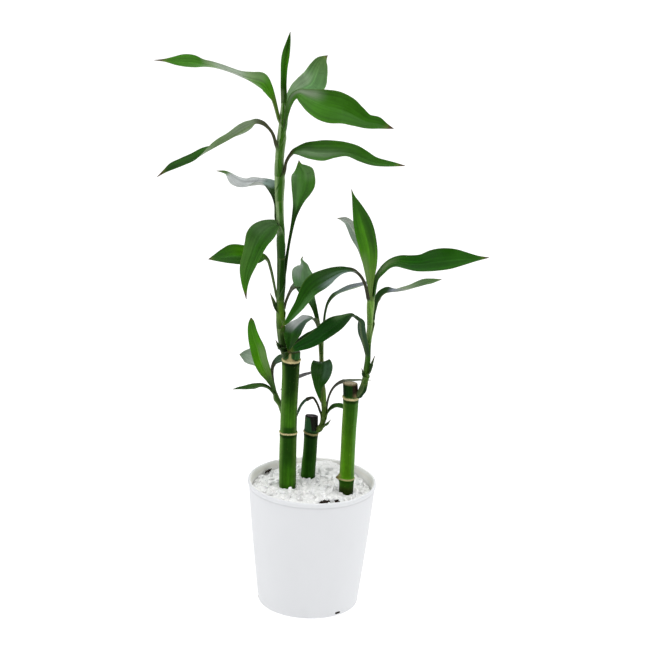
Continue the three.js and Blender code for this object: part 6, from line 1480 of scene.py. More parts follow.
SHOOT_OF = {k: Shoot(v) for k, v in SHOOTS.items()}
SHOOT_LOOKS = {
    # colours along the shoot from its foot, and the pale tone of its streaks, sheath margins and painted highlights
    "tall_shoot": dict(tones=((0, 0x1C300C), (0.04, 0x1E380C), (0.10, 0x223E0E), (0.14, 0x36580E), (0.17, 0x4C7014), (0.21, 0x446A12), (0.26, 0x1A4006), (0.38, 0x163A04), (0.46, 0x22500A), (0.55, 0x2C5C0C), (0.7, 0x2F5E0C), (0.8, 0x3E6E18), (0.9, 0x38660F), (1, 0x34660C)), pale=0x9DB684),
    "right_shoot": dict(tones=((0, 0x0E2C0A), (0.13, 0x12320E), (0.17, 0x38561C), (0.26, 0x466E1C), (0.34, 0x2C5A0E), (0.55, 0x336010), (0.68, 0x5E8C38), (0.85, 0x6C9C3A), (1, 0x78A646)), pale=0xA2B87A),
    "middle_shoot": dict(tones=((0, 0x4C6A22), (0.36, 0x55722A), (0.46, 0x5C5A3C), (0.58, 0x5A5638), (0.7, 0x3A5A1A), (1, 0x3A5A1A)), pale=0x93A468),
    "side_shoot": dict(tones=((0, 0x48682A), (0.5, 0x4C7030), (1, 0x3C5E20)), pale=0x8EA468),
}


def gradient(stops, t):
    """Colours at t (..., 1), read off a list of places and display colours."""
    t = np.asarray(t, float)[..., 0]
    cs = np.array([hexc(c) for _, c in stops])
    return np.stack([np.interp(t, [p for p, _ in stops], cs[:, k]) for k in range(3)], -1)


def frames_along(T):
    """Side vectors carried along a curve without twisting."""
    side = np.zeros_like(T)
    v = np.array([1.0, 0.2, 0.0])
    for i, t in enumerate(T):
        v = v - t * np.dot(v, t)
        v = v / np.linalg.norm(v)
        side[i] = v
    return side, np.cross(T, side)


# swellings near a shoot's foot: distance along it, half-length, share of the radius
KNOBS = {"right_shoot": ((3.2, 1.9, 0.30), (9.0, 2.6, 0.10)), "middle_shoot": ((2.6, 1.8, 0.25),), "side_shoot": ((1.8, 1.6, 0.2),)}


def make_shoot(node):
    sh = SHOOT_OF[node]
    look = SHOOT_LOOKS[node]
    L = sh.a[-1]
    rows = int(L / 0.62)
    cols = 40
    s = np.linspace(0, L, rows)
    P, T, rad = sh.at(s)
    S, U = frames_along(T)
    th = np.linspace(0, 2 * np.pi, cols, endpoint=False)
    seed = 400 + 13 * sorted(SHOOTS).index(node)
    Sg, Tg = np.meshgrid(s, th, indexing="ij")
    ridge = fbm(np.stack([np.cos(Tg) * 4, np.sin(Tg) * 4, Sg * 0.05], -1), seed, 3)
    slow = fbm(np.stack([np.cos(Tg), np.sin(Tg), Sg * 0.09], -1), seed + 3, 3)
    r = rad[:, None] * (1 + 0.03 * slow + 0.015 * ridge)
    for at, far, much in KNOBS.get(node, ()):
        r = r * (1 + much * np.exp(-(((Sg - at) / far) ** 2)) * (1 + 0.5 * slow))
    ringm = np.zeros_like(Sg)
    for k, a in enumerate(sorted(sh.nodes)):
        slant = 0.45 * np.cos(Tg - k * 2.4)
        d = Sg - a - slant
        r = r + 0.10 * np.exp(-((d / 0.6) ** 2)) - 0.06 * np.exp(-(((d - 1.1) / 0.6) ** 2))
        ringm = np.maximum(ringm, np.exp(-((d / 0.5) ** 2)))
    co = P[:, None, :] + r[..., None] * (np.cos(Tg)[..., None] * S[:, None, :] + np.sin(Tg)[..., None] * U[:, None, :])
    co = co.reshape(-1, 3)
    quads = grid_quads(rows, cols, closed=True)
    i = np.arange(cols)
    c0 = rows * cols
    co = np.vstack([co, [P[-1] + T[-1] * 0.6], [P[0]]])
    tris = np.vstack([np.stack([(rows - 1) * cols + i, (rows - 1) * cols + (i + 1) % cols, np.full(cols, c0)], -1), np.stack([(i + 1) % cols, i, np.full(cols, c0 + 1)], -1)])
    pale = hexc(look["pale"])
    base = gradient(look["tones"], (Sg / L + 0.012 * ridge)[..., None])
    low, high = base[0, 0], base[-1, 0]
    nx = (np.cos(Tg)[..., None] * S[:, None, :] + np.sin(Tg)[..., None] * U[:, None, :])[..., 0]
    # painted light: the left side is painted lighter and the right side darker
    base = base * (1 + 0.22 * smooth(0.0, 1, -nx)[..., None] - 0.26 * smooth(0.0, 0.9, nx)[..., None])
    base = base * (1 + 0.30 * slow + 0.45 * ridge)[..., None]
    # painted highlight: the side in the light is painted pale, more so towards the top
    lit_side_highlight = (smooth(0.02, 0.55, -nx + 0.25 * ridge) * (0.16 + 0.62 * smooth(0.47, 0.62, Sg / L)))[..., None]
    base = base * (1 - lit_side_highlight) + pale * lit_side_highlight
    # painted rim light: the right side is painted paler towards the top
    rim = (smooth(0.40, 0.85, nx + 0.2 * ridge) * 0.55 * smooth(0.5, 0.62, Sg / L))[..., None]
    base = base * (1 - rim) + pale * rim
    # long pale streaks where one sheath's margin lies on the next; more are painted on the lit left side as painted
    # highlight
    lines = fbm(np.stack([np.cos(Tg) * 2.6, np.sin(Tg) * 2.6, Sg * 0.035], -1), seed + 31, 3)
    streak = (smooth(0.14, 0.45, lines + 0.2 * smooth(0.1, 0.9, -nx)) * (0.16 + 0.34 * smooth(0.4, 0.6, Sg / L)))[..., None]
    base = base * (1 - streak) + pale * (1 + 0.2 * ridge[..., None]) * streak
    # just above each ring the tissue is young and pale; the ring itself is a thin tan line
    young = np.zeros_like(Sg)
    for a in sh.nodes:
        young = np.maximum(young, np.exp(-(((Sg - a - 1.6) / 1.8) ** 2)))
    base = base * (1 - 0.18 * young[..., None]) + pale * 0.18 * young[..., None]
    base = base * (1 - 0.30 * ringm[..., None]) + hexc(0x6E6C3A) * 0.30 * ringm[..., None]
    col = np.vstack([base.reshape(-1, 3), [high], [low]]) * 0.85
    uv = np.stack([np.broadcast_to(np.abs(np.linspace(-1, 1, cols)), (rows, cols)), np.broadcast_to(s[:, None] * 0.03, (rows, cols))], -1).reshape(-1, 2)
    uv = np.vstack([uv, [[0, 0], [0, 0]]])
    o = build(node + "_stem", co, quads, tris, uv=uv, col=col, material=MAT["stem"])
    return place(o, node)


# ------------------------------------------------------------------ leaves
# A few greens serve all leaves: fresh, ripe, deep and near-black upper sides, bluish ones, pale undersides; the pale
# and bluish greys also paint sheen and reflections on many blades.
LEAF_TONE = 0.80
FRESH, YOUNG, RIPE, LEAFY, DEEP, NIGHT = 0x529608, 0x43820E, 0x376E12, 0x2A5C0E, 0x1C4806, 0x123A02
SAGE, MIST, ASH, PEARL, TEAL, MOSS, OLIVE = 0x5A7E4A, 0x88997E, 0x9AA198, 0xB0B5B4, 0x46624C, 0x4A6C34, 0x3A4A20
HAZE, SLATE = 0x6F8A5C, 0x72867E
NECK, BARKY, FIR = 0x2E451A, 0x3A3524, 0x1E3E0A
LEAF_LOOKS = {
    # top: upper side from base to tip, as three tones or as places with tones; under: the lower side; neck: the
    # channelled stalk; tip: share of length that is dry; half: (side, tone, from, to, strength) a tone over one half of
    # the blade, mostly painted sheen and painted shade; streak: (side, distance from the midrib, width, tone, from, to,
    # strength) a painted highlight along the blade
    "tall_spear": dict(top=((0, 0x3E6A1A), (0.25, 0x2A5A08), (0.45, 0x3A8210), (0.62, 0x4C981C), (0.8, 0x3A7A14), (1, 0x2A5C0C)), under=LEAFY, half=[("right", DEEP, 0.05, 0.45, 0.7), ("left", 0x93B078, 0.02, 0.30, 0.75)], streak=("right", 0.35, 0.3, FRESH, 0.4, 0.8, 0.7)),
    # tall_leaf_01: the pale grey band across the middle is painted sheen
    "tall_leaf_01": dict(top=((0, 0x6E8A3C), (0.12, 0x6E8A3C), (0.2, YOUNG), (0.32, YOUNG), (0.42, HAZE), (0.49, 0x8C9C86), (0.61, 0x8C9C86), (0.67, HAZE), (0.74, RIPE), (1, RIPE)), under=MIST, neck=0x5C7A2E, tip=0.05, half=("up", HAZE, 0.28, 0.46, 0.55)),
    "tall_leaf_02": dict(top=(SAGE, 0x5A8A50, MOSS), under=MIST, neck=SAGE, half=("left", MIST, 0.20, 0.8, 0.55)),
    # tall_leaf_03: the pale streak near the base is a painted highlight
    "tall_leaf_03": dict(top=(MOSS, RIPE, LEAFY), under=MOSS, neck=RIPE, tip=0.035, streak=("up", 0.55, 0.34, MIST, 0.17, 0.56, 0.9)),
    "tall_leaf_04": dict(top=(LEAFY, LEAFY, DEEP), under=HAZE, neck=BARKY, tip=0.05, half=("up", MIST, 0.2, 0.55, 0.6)),
    "tall_leaf_05": dict(top=(DEEP, RIPE, LEAFY), under=MOSS, neck=BARKY, tip=0.035, half=("up", FIR, 0.12, 0.4, 0.5), streak=("down", 0.15, 0.42, 0x6E8C62, 0.18, 0.66, 0.95)),
    # tall_leaf_06: the pale grey middle of the blade is a painted reflection
    "tall_leaf_06": dict(top=((0, NECK), (0.22, FIR), (0.31, FIR), (0.38, SLATE), (0.46, PEARL), (0.84, PEARL), (0.90, MOSS), (1, OLIVE)), under=ASH, neck=FIR, half=("up", 0x7E958C, 0.24, 0.42, 0.75)),
    "tall_leaf_07": dict(top=(DEEP, LEAFY, RIPE), under=MOSS, neck=FIR, half=[("right", SAGE, 0.72, 0.97, 0.6), ("left", SAGE, 0.45, 0.8, 0.35)]),
    "tall_leaf_08": dict(top=(0x3C5A30, LEAFY, RIPE), under=MOSS, neck=0x6E8A5C, tip=0.05, half=[("left", MOSS, 0.35, 0.9, 0.5), ("up", 0x4A6A3E, 0.12, 0.45, 0.6)]),
    "tall_leaf_09": dict(top=(DEEP, RIPE, LEAFY), under=SAGE, neck=0x44562A, half=[("down", DEEP, 0.5, 0.98, 0.5), ("up", FRESH, 0.35, 0.9, 0.4)]),
    "tall_leaf_10": dict(top=(DEEP, SAGE, MOSS), under=SAGE, neck=BARKY),
    "tall_leaf_11": dict(top=(DEEP, DEEP, DEEP), under=MOSS, neck=0x1C2E14),
    # right_spear: the pale left half is a painted highlight and the dark right half painted shade
    "right_spear": dict(top=((0, 0x9AB86A), (0.2, 0x80A84A), (0.36, 0x5E9A22), (0.52, 0x4A9210), (0.7, 0x337A06), (1, 0x2A6806)), under=YOUNG, half=[("right", DEEP, 0.35, 0.95, 0.6), ("left", 0x8FAE72, 0.15, 0.5, 0.5)], streak=("left", 0.15, 0.3, 0x5AA80A, 0.25, 0.85, 0.8)),
    "right_leaf_1": dict(top=(ASH, MIST, ASH), under=ASH, neck=MIST, half=("down", 0x5E7466, 0.4, 1.0, 0.7), wave=3.0),
    "right_leaf_2": dict(top=(RIPE, 0x174E02, 0x235A06), under=MOSS, neck=LEAFY, tip=0.03, half=("down", NIGHT, 0.04, 0.24, 0.85), streak=("up", 0.45, 0.4, HAZE, 0.06, 0.42, 0.9)),
    # right_leaf_3: the grey band past the dark base is painted sheen
    "right_leaf_3": dict(top=((0, FIR), (0.34, FIR), (0.42, 0x7E8590), (0.5, ASH), (0.58, 0x78886C), (0.8, 0x4C6A40), (1, MOSS)), under=((0, FIR), (0.34, NIGHT), (0.40, 0x7E8590), (0.55, 0x78886C), (0.75, 0x4C6A40), (1, MOSS)), neck=FIR),
    # right_leaf_4: the grey-teal half is painted sheen
    "right_leaf_4": dict(top=((0, BARKY), (0.2, 0x173C08), (0.55, 0x1A4206), (0.8, 0x245410), (1, LEAFY)), under=TEAL, neck=BARKY, half=[("down", SLATE, 0.24, 0.66, 0.9), ("down", 0x46743A, 0.6, 0.98, 0.8)], streak=("up", 0.22, 0.16, 0x4E6E52, 0.22, 0.62, 0.7)),
    "right_leaf_5": dict(top=(FIR, 0x0C3A00, 0x10420A), under=0x35523A, neck=0x263E18, streak=("up", 0.7, 0.3, SAGE, 0.4, 0.62, 0.6)),
    "middle_leaf_1": dict(top=(DEEP, NIGHT, DEEP), under=TEAL, neck=FIR, half=("right", TEAL, 0.45, 0.8, 0.6)),
    "middle_leaf_2": dict(top=(FIR, 0x4A7642, 0x66885E), under=SAGE, neck=FIR, half=("left", 0x8C9C8E, 0.6, 1.0, 0.75)),
    "middle_leaf_3": dict(top=(FIR, TEAL, 0x8A8C98), under=SAGE, neck=FIR),
    "middle_leaf_4": dict(top=(0x6C6A70, TEAL, MOSS), under=MIST, neck=0x76707A),
    "middle_leaf_5": dict(top=(FIR, LEAFY, LEAFY), under=MOSS, neck=FIR),
    "middle_leaf_6": dict(top=(FIR, TEAL, TEAL), under=TEAL, neck=BARKY),
    "middle_leaf_7": dict(top=(BARKY, 0x6A7062, 0x5A6648), under=0x6A7062, neck=0x4A4A40),
    # middle_leaf_8: the pale left half is a painted highlight
    "middle_leaf_8": dict(top=((0, FIR), (0.25, TEAL), (0.6, 0x38503E), (0.75, DEEP), (1, NIGHT)), under=MIST, neck=0x4E5A3A, half=("left", PEARL, 0.22, 0.76, 0.95)),
    "side_leaf_1": dict(top=((0, SAGE), (0.18, 0x66903A), (0.4, 0x52960E), (0.8, 0x418404), (1, 0x2E6204)), under=SAGE, neck=MOSS, half=[("right", 0x7C9A60, 0.22, 0.68, 0.6), ("left", 0x3A7A06, 0.3, 1.0, 0.5)]),
    "side_leaf_2": dict(top=(0x35581C, 0x3C6428, DEEP), under=MOSS, neck=0x35521E),
    "side_leaf_3": dict(top=(0xA2B4A0, 0xA2B4A0, 0x7A9078), under=0xA2B4A0, neck=TEAL),
    "side_leaf_4": dict(top=(TEAL, TEAL, MOSS), under=MOSS, neck=BARKY),
}


def leaf_look(name):
    if name in LEAF_LOOKS:
        return LEAF_LOOKS[name]
    if name.startswith("right_bract"):
        return dict(top=(0x24421A, 0x2E4C1E, 0x4E5434), under=0x1E3C14, neck=0x24421A, tip=0.14)
    if name.startswith("tall_bract"):
        return dict(top=(0x263E16, 0x30501E, 0x565C34), under=0x26401A, neck=0x263E16, tip=0.14)
    if "bract" in name:
        return dict(top=(MOSS, 0x5C7036, 0x6E6C50), under=0x4E6A30, neck=MOSS, tip=0.14)
    return dict(top=(DEEP, LEAFY, LEAFY), under=MOSS, neck=FIR)


class Leaf:
    """The surface of one leaf: a sheath round its shoot, a channelled neck and a folded blade."""

    def __init__(self, name):
        self.name = name
        self.shoot, self.fold, rows = LEAVES[name]
        sh = SHOOT_OF[self.shoot]
        rows = np.array(rows, float)
        self.length = float(np.sum(np.linalg.norm(np.diff(rows[:, :3], axis=0), axis=1)))
        count = int(np.clip(self.length / 0.95, 30, 122))
        R = resample(rows, count)
        M = R[:, :3]
        T = tangents(M)
        B = R[:, 3:6]
        w = np.maximum(np.linalg.norm(B, axis=1), 0.05)
        B = unit(B - T * np.sum(B * T, 1)[:, None])
        N0 = unit(R[:, 6:9])
        N = np.cross(B, T)
        N = N * np.sign(np.sum(N * N0, 1))[:, None]
        s = np.r_[0, np.cumsum(np.linalg.norm(np.diff(M, axis=0), axis=1))]
        a0 = sh.nearest(M[0])
        is_spear = "spear" in name
        is_bract = "bract" in name
        small = self.length < 55
        h = 3.0 if is_bract else (7.0 if is_spear else (7.0 if small else 15.0))
        h = min(h, max(a0 - 1.0, 1.2))
        self.node_at = a0 - h
        # where the blade is clear of the shoot
        Pa, Ta, ra = sh.at(a0 + s)
        away = np.array([np.min(np.linalg.norm(sh.P[:, :3] - m, axis=1)) for m in M])
        clear = np.nonzero(away > ra + 1.4)[0]
        k = float(s[clear[0]]) if len(clear) else 6.0
        k = float(np.clip(k, 3.5, 12.0))
        j = int(np.searchsorted(s, min(k, self.length * 0.5)))
        q, tq, _ = sh.at(a0 + 0.0)
        d = M[j] - (q[0] + tq[0] * np.dot(M[j] - q[0], tq[0]))
        d = d / np.linalg.norm(d)
        step = s[1]
        low = np.arange(-h, 0, step if not small else 0.8)
        sa = np.r_[low, s]
        nlow = len(low)
        Ps, Ts, rs = sh.at(a0 + sa)
        D = unit(d - Ts * (Ts @ d)[:, None])
        off = 0.06 + 0.30 * smooth(-h, -0.25 * h, sa)
        Ks = Ps + D * (rs + off)[:, None]
        Bs = np.cross(Ts, D)
        if np.dot(Bs[min(nlow + j, len(Bs) - 1)], B[j]) < 0:
            Bs = -Bs
        Ns = -D
        half_turn = np.radians(176 - (176 - (62 if not is_spear else 120)) * np.clip((sa + h) / h, 0, 1) ** 0.85)
        if is_bract:
            half_turn = np.radians(105 - 50 * smooth(-h, 0, sa))
        kap_s = 1 / (rs + off)
        W_s = half_turn / kap_s
        # the blade, carried down to the sheath rows by its first row
        pad = lambda A: np.concatenate([np.repeat(A[:1], nlow, 0), A])
        wv = pad(w)
        tanf = math.tan(math.radians(self.fold))
        neck = smooth(4.2, 1.9, wv) * (sa < 0.6 * self.length)
        neck = np.where(is_spear, 0.4, neck)
        turn = np.radians(14 + 52 * neck)
        W_b = wv * turn / np.sin(turn)
        kap_b = turn / W_b
        drop = wv * tanf * (1 - 0.6 * neck)
        Kb = pad(M) - pad(N) * (drop + (1 - np.cos(turn)) / kap_b * 0.5)[:, None]
        # the sheath rises from the shoot towards its own blade, so that the stalk grows out of it without a step
        lift = Kb[nlow] - Ks[nlow]
        lift = lift - Ts[nlow] * np.dot(lift, Ts[nlow])
        lift = lift * min(1.0, 1.7 / max(float(np.linalg.norm(lift)), 1e-6))
        Ks = Ks + lift * (np.clip((sa + h) / h, 0, 1) ** 2.2)[:, None]
        m = smooth(0.0, 1.0, sa / k)
        mm = m[:, None]
        K = Ks * (1 - mm) + Kb * mm
        self.dot = float(np.dot(N[j], Ns[min(nlow + j, len(Ns) - 1)]))
        B2 = Bs * (1 - mm) + pad(B) * mm
        N2 = Ns * (1 - mm) + pad(N) * mm
        Tk = tangents(K)
        B2 = unit(B2 - Tk * np.sum(B2 * Tk, 1)[:, None])
        N2 = N2 - Tk * np.sum(N2 * Tk, 1)[:, None]
        N2 = unit(N2 - B2 * np.sum(N2 * B2, 1)[:, None])
        self.K, self.B, self.N, self.s = K, B2, N2, sa
        self.kap = kap_s * (1 - m) + kap_b * m
        self.W = W_s * (1 - m) + W_b * m
        self.V = drop / np.maximum(wv, 0.3) * m
        self.w = wv
        self.m = m
        self.neck = neck * m
        self.h, self.k = h, k
        sh.nodes.append(self.node_at)
        self.share = (a0 + sa) / sh.a[-1]

    def side(self, name, t0, t1):
        """+1 or -1: which half of the blade lies to that side, between two shares of the length."""
        t = self.s / self.length
        b = self.B[(t >= t0) & (t <= t1)].mean(0)
        v = b[0] if name in ("left", "right") else 0.31 * b[1] + 0.95 * b[2]
        return (1.0 if v > 0 else -1.0) * (1.0 if name in ("right", "up") else -1.0)


def make_leaf(leaf, index):
    name = leaf.name
    look = leaf_look(name)
    is_bract = "bract" in name
    rng = np.random.default_rng(900 + index)
    n = len(leaf.s)
    L = leaf.length
    half = 12 if leaf.length > 50 else 9
    v = np.linspace(0, 1, half + 1)
    v = 0.25 * v**2 + 0.75 * v  # closer together at the midrib
    u = np.r_[-v[::-1][:-1], v]
    cols = len(u)
    S, Ug = np.meshgrid(leaf.s, u, indexing="ij")
    W, kap, V, w = (x[:, None] for x in (leaf.W, leaf.kap, leaf.V, leaf.w))
    arcl = W * Ug
    x = np.sin(kap * arcl) / kap
    y = (1 - np.cos(kap * arcl)) / kap
    aU = np.abs(Ug)
    y = y + V * w * aU * (1.22 - 0.22 * aU)
    # wavy margin, different on each side
    lam = rng.uniform(0.24, 0.36, 2) * L
    ph = rng.uniform(0, 6.28, 2)
    amp = 0.055 * look.get("wave", 1.0) * w * smooth(0.16 * L, 0.4 * L, S) * (1 - smooth(0.8 * L, 0.99 * L, S))
    wav = np.where(Ug > 0, np.sin(2 * np.pi * S / lam[0] + ph[0]), np.sin(2 * np.pi * S / lam[1] + ph[1]))
    y = y + amp * wav * aU**2.2
    # shallow pleats along the veins
    y = y + 0.035 * np.cos(Ug * 34) * smooth(2.0, 5.0, w) * leaf.m[:, None]
    P = leaf.K[:, None, :] + leaf.B[:, None, :] * x[..., None] + leaf.N[:, None, :] * y[..., None]
    du = np.gradient(P, axis=1)
    ds = np.gradient(P, axis=0)
    nn = unit(np.cross(ds, du))
    ref = leaf.N[:, None, :] * np.cos(kap * arcl)[..., None] - leaf.B[:, None, :] * np.sin(kap * arcl)[..., None]
    nn = nn * np.sign(np.sum(nn * ref, -1, keepdims=True) + 1e-9)
    # thickness: stout neck, thin blade, thinner margin and tip
    tmid = 0.34 + 0.75 * leaf.neck[:, None] - 0.06 * smooth(0.5 * L, L, S)
    tmid = tmid * (1 - 0.35 * smooth(0.0, -leaf.h * 0.8, S))
    if is_bract:
        tmid = tmid * 0.8
    th = tmid * (1 - 0.62 * aU**1.6)
    th = th * (1 - 0.5 * smooth(0.93 * L, L, S))
    rib = 0.34 * np.exp(-((Ug * np.maximum(w, 1.0) / 0.75) ** 2)) * smooth(L, 0.55 * L, S) * leaf.m[:, None]
    groove = 0.10 * np.exp(-((Ug * np.maximum(w, 1.0) / 0.6) ** 2)) * leaf.m[:, None] * smooth(L, 0.7 * L, S)
    up = P + nn * (th / 2 - groove)[..., None]
    lo = P - nn * (th / 2 + rib)[..., None]
    co = np.vstack([up.reshape(-1, 3), lo.reshape(-1, 3)])
    m = n * cols
    top_q = grid_quads(n, cols)
    low_q = grid_quads(n, cols, start=m, flip=True)
    r = np.arange(n - 1)
    c = np.arange(cols - 1)
    e0 = np.stack([r * cols, (r + 1) * cols, m + (r + 1) * cols, m + r * cols], -1)
    e1 = np.stack([r * cols + cols - 1, m + r * cols + cols - 1, m + (r + 1) * cols + cols - 1, (r + 1) * cols + cols - 1], -1)
    b0 = np.stack([c, m + c, m + c + 1, c + 1], -1)
    b1 = np.stack([(n - 1) * cols + c, (n - 1) * cols + c + 1, m + (n - 1) * cols + c + 1, m + (n - 1) * cols + c], -1)
    quads = np.vstack([top_q, low_q, e0, e1, b0, b1])
    # faces point out: the first quad of the upper side should face along nn
    i0 = (n // 2) * (cols - 1) + cols // 2
    q = top_q[i0]
    fn = np.cross(co[q[1]] - co[q[0]], co[q[2]] - co[q[0]])
    if np.dot(fn, nn[n // 2, cols // 2]) < 0:
        quads = quads[:, ::-1]
    # ---- colour of the two sides
    t = np.clip(S / L, 0, 1)[..., None]
    seed = 700 + index * 7
    q3 = np.stack([Ug * 1.1 + (Ug > 0) * 9.0, S * 0.035, Ug * 0], -1)
    blotch = fbm(q3, seed, 3)
    stops = look["top"] if isinstance(look["top"][0], tuple) else tuple(zip((0.08, 0.5, 0.92), look["top"]))
    topc = gradient(stops, t + 0.03 * blotch[..., None])
    under = gradient(look["under"], t) if isinstance(look["under"], tuple) else hexc(look["under"])[None, None, :] * np.ones_like(topc)
    bands = fbm(np.stack([Ug * 7, S * 0.016, Ug * 0 + 4], -1), seed + 3, 3)
    var = (1 + 0.20 * blotch + 0.42 * bands)[..., None]
    topc = topc * var
    under = under * (1 + 0.14 * blotch + 0.26 * bands)[..., None]
    # painted sheen, painted highlights and painted shade over parts of the blade from the half and streak entries, with
    # some true changes of green
    for way, tone, t0, t1, much in [look["half"]] if isinstance(look.get("half"), tuple) else look.get("half", []):
        soft = 0.35 * (t1 - t0)
        part = smooth(t0, t0 + soft, t) * (1 - smooth(t1 - soft, t1, t)) * smooth(-0.02, 0.3, Ug * leaf.side(way, t0, t1) + 0.12 * blotch)[..., None] * much
        topc = topc * (1 - part) + hexc(tone) * (1 + 0.3 * bands)[..., None] * part
        under = under * (1 - part) + hexc(tone) * (1 + 0.3 * bands)[..., None] * part
    if "streak" in look:
        way, far, wide, tone, t0, t1, much = look["streak"]
        soft = 0.4 * (t1 - t0)
        part = smooth(t0, t0 + soft, t) * (1 - smooth(t1 - soft, t1, t)) * np.exp(-(((Ug * leaf.side(way, t0, t1) - far + 0.1 * blotch) / wide) ** 2))[..., None] * much
        topc = topc * (1 - part) + hexc(tone) * (1 + 0.25 * bands)[..., None] * part
        under = under * (1 - part) + hexc(tone) * (1 + 0.25 * bands)[..., None] * part
    midrib = np.exp(-((Ug * np.maximum(w, 1.0) / 0.55) ** 2))[..., None] * (1 - smooth(0.75, 0.95, t))
    topc = topc * (1 - 0.30 * midrib) + np.minimum(topc * 1.7 + 0.02, 1) * 0.30 * midrib
    under = under * (1 - 0.35 * midrib) + hexc(0x98AC74) * 0.35 * midrib
    margin = smooth(0.93, 1.0, aU)[..., None]
    topc = topc * (1 - 0.22 * margin) + hexc(0x7E9A48) * 0.22 * margin
    under = under * (1 - 0.22 * margin) + hexc(0x8CA45C) * 0.22 * margin
    # the sheath takes its shoot's colour, paler at its free margin, with painted highlight on its left side and painted
    # rim light on its right, as on the shoot
    sl = SHOOT_LOOKS[leaf.shoot]
    shc = gradient(sl["tones"], np.broadcast_to(leaf.share[:, None], Ug.shape)[..., None])
    shc = shc * (1.0 + 0.45 * bands)[..., None]
    wide = leaf.B[:, None, :] * np.sin(kap * arcl)[..., None] - leaf.N[:, None, :] * np.cos(kap * arcl)[..., None]
    shine = (smooth(0.18, 0.75, -wide[..., 0] + 0.3 * bands) * (0.18 + 0.42 * smooth(0.45, 0.62, leaf.share)[:, None]))[..., None]
    shc = shc * (1 - shine) + hexc(sl["pale"]) * shine
    rim = (smooth(0.40, 0.85, wide[..., 0] + 0.2 * bands) * 0.55 * smooth(0.5, 0.62, leaf.share)[:, None])[..., None]
    shc = shc * (1 - rim) + hexc(sl["pale"]) * rim
    shc = shc * (1 - 0.25 * margin) + hexc(sl["pale"]) * 0.25 * margin
    mm = leaf.m[:, None, None]
    keep = smooth(0.2, 1.0, mm)
    stalk = hexc(look.get("neck", NECK)) * (1 + 0.3 * bands)[..., None]
    nk = leaf.neck[:, None, None] * 0.88
    topc = topc * (1 - nk) + stalk * nk
    under_n = under * (1 - nk) + stalk * nk
    topc = shc * (1 - keep) + topc * keep
    under_n = shc * (1 - keep) + under_n * keep
    tip = look.get("tip", 0.018)
    edge_len = 1 - tip * (1 + 0.5 * blotch)[..., None]
    brown = smooth(edge_len - 0.008, edge_len + 0.012, t)
    bc = hexc(0x4E3E24) * (1 + 0.3 * bands)[..., None]
    halo = smooth(edge_len - 0.04, edge_len, t) * (1 - brown) * 0.35
    for arr in (topc, under_n):
        arr[...] = arr * (1 - halo) + hexc(0x7C7E3C) * halo
        arr[...] = arr * (1 - brown) + bc * brown
    col = np.vstack([topc.reshape(-1, 3), under_n.reshape(-1, 3)]) * LEAF_TONE
    uv1 = np.stack([Ug * 0.5 + 0.5, S * 0.02 + index * 0.37], -1).reshape(-1, 2)
    uv = np.vstack([uv1, uv1 + [3.1, 0.0]])
    o = build(name + "_blade", co, quads, uv=uv, col=col, material=MAT["leaf"], sharp=62)
    return place(o, name)


# ------------------------------------------------------------------ everything, in its place
make_pot()
make_soil()
make_stones()
for cane in CANES:
    make_cane(cane)
leaves = [Leaf(k) for k in LEAVES]
for shoot in SHOOTS:
    make_shoot(shoot)
for number, leaf in enumerate(leaves):
    make_leaf(leaf, number)

# ------------------------------------------------------------------ camera at the photograph's viewing angle
DISTANCE, PITCH, ROLL, FOCAL = 2000.0, math.radians(18.30), math.radians(2.23), 2562.0
TARGET = np.array([5.51, 0.0, 233.45])
forward = np.array([0.0, math.cos(PITCH), -math.sin(PITCH)])
level = np.array([1.0, 0.0, 0.0])
rise = np.array([0.0, math.sin(PITCH), math.cos(PITCH)])
right = math.cos(ROLL) * level + math.sin(ROLL) * rise
upward = -math.sin(ROLL) * level + math.cos(ROLL) * rise
eye = (TARGET - DISTANCE * forward) * MM
cam_data = bpy.data.cameras.new("camera")
cam_data.sensor_width = 36.0
cam_data.lens = FOCAL / 650.0 * 36.0
cam_data.clip_start = 0.05
cam_data.clip_end = 60.0
camera = bpy.data.objects.new("camera", cam_data)
bpy.context.scene.collection.objects.link(camera)
camera.matrix_world = Matrix(((right[0], upward[0], -forward[0], eye[0]), (right[1], upward[1], -forward[1], eye[1]), (right[2], upward[2], -forward[2], eye[2]), (0, 0, 0, 1)))
bpy.context.scene.camera = camera

# ------------------------------------------------------------------ floor, light
floor_mat = Mat("studio_floor")
obj = floor_mat.coords("Object")
tone = floor_mat.noise(obj, 0.8, 2.0, 0.5)
floor_mat.link(floor_mat.mix("MIX", floor_mat.rng(tone, 0.3, 0.7, 0.0, 1.0), (0.32, 0.32, 0.32), (0.34, 0.34, 0.34)), floor_mat.b.inputs["Base Color"])
floor_mat.set(Roughness=0.9, Specular_IOR_Level=0.1, Emission_Color=(1, 1, 1, 1), Emission_Strength=0.84)
me = bpy.data.meshes.new("floor")
nseg = 96
ring = [(9.0 * math.cos(2 * math.pi * k / nseg), 9.0 * math.sin(2 * math.pi * k / nseg), 0.0) for k in range(nseg)]
me.from_pydata(ring, [], [tuple(range(nseg))])
me.materials.append(floor_mat.m)
floor = bpy.data.objects.new("floor", me)
floor.location = (0, 0, -0.0004)
bpy.context.scene.collection.objects.link(floor)

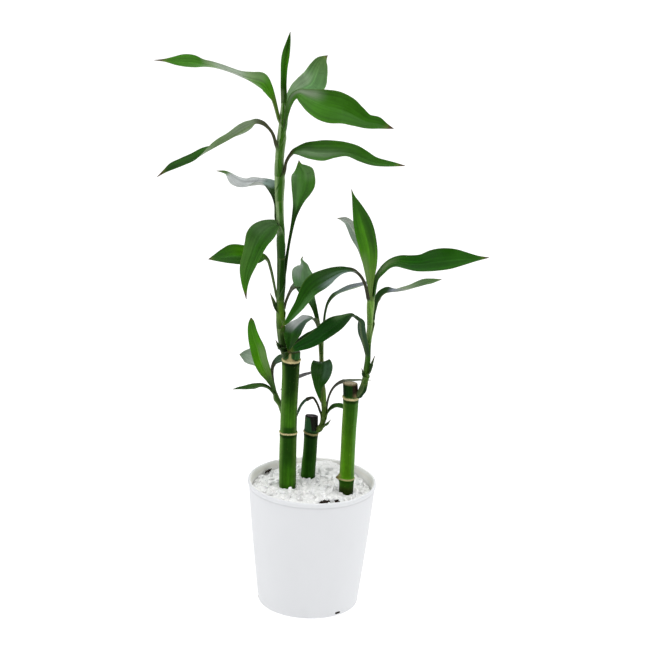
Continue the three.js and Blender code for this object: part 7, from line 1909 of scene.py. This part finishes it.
world = bpy.data.worlds.new("studio")
bpy.context.scene.world = world
world.use_nodes = True
bg = world.node_tree.nodes["Background"]
bg.inputs[0].default_value = (1.0, 1.0, 1.0, 1.0)
bg.inputs[1].default_value = 1.0
# the room is dimmer behind the viewer than to the sides and behind the plant
nt = world.node_tree
way = nt.nodes.new("ShaderNodeTexCoord")
split = nt.nodes.new("ShaderNodeSeparateXYZ")
nt.links.new(way.outputs["Generated"], split.inputs[0])
level_of = nt.nodes.new("ShaderNodeMapRange")
for key, value in (("From Min", -1.0), ("From Max", 1.0), ("To Min", 0.16), ("To Max", 0.58)):
    level_of.inputs[key].default_value = value
nt.links.new(split.outputs["Y"], level_of.inputs["Value"])
# and brightest overhead
over = nt.nodes.new("ShaderNodeMapRange")
for key, value in (("From Min", 0.25), ("From Max", 1.0), ("To Min", 0.0), ("To Max", 0.75)):
    over.inputs[key].default_value = value
nt.links.new(split.outputs["Z"], over.inputs["Value"])
total = nt.nodes.new("ShaderNodeMath")
total.operation = "ADD"
nt.links.new(level_of.outputs[0], total.inputs[0])
nt.links.new(over.outputs[0], total.inputs[1])
nt.links.new(total.outputs[0], bg.inputs[1])


def softbox(name, at, aim, size, power, tint=(1, 1, 1)):
    d = bpy.data.lights.new(name, "AREA")
    d.shape = "RECTANGLE"
    d.size, d.size_y = size
    d.energy = power
    d.color = tint
    o = bpy.data.objects.new(name, d)
    o.location = at
    o.rotation_euler = (Vector(aim) - Vector(at)).to_track_quat("-Z", "Y").to_euler()
    bpy.context.scene.collection.objects.link(o)
    return o


softbox("left_box", (-1.5, -0.9, 1.1), (0, 0, 0.2), (1.1, 1.4), 10.0)
softbox("right_box", (1.5, -0.7, 0.9), (0, 0, 0.2), (1.1, 1.4), 8.0)
softbox("top_box", (0.1, -0.2, 1.9), (0, 0, 0.2), (1.5, 1.2), 13.0)
softbox("back_box", (0.3, 1.7, 1.2), (0, 0, 0.25), (1.6, 1.0), 3.6)

view = bpy.context.scene.view_settings
view.view_transform = "Standard"
view.look = "None"
view.exposure = 0.0
view.gamma = 1.0
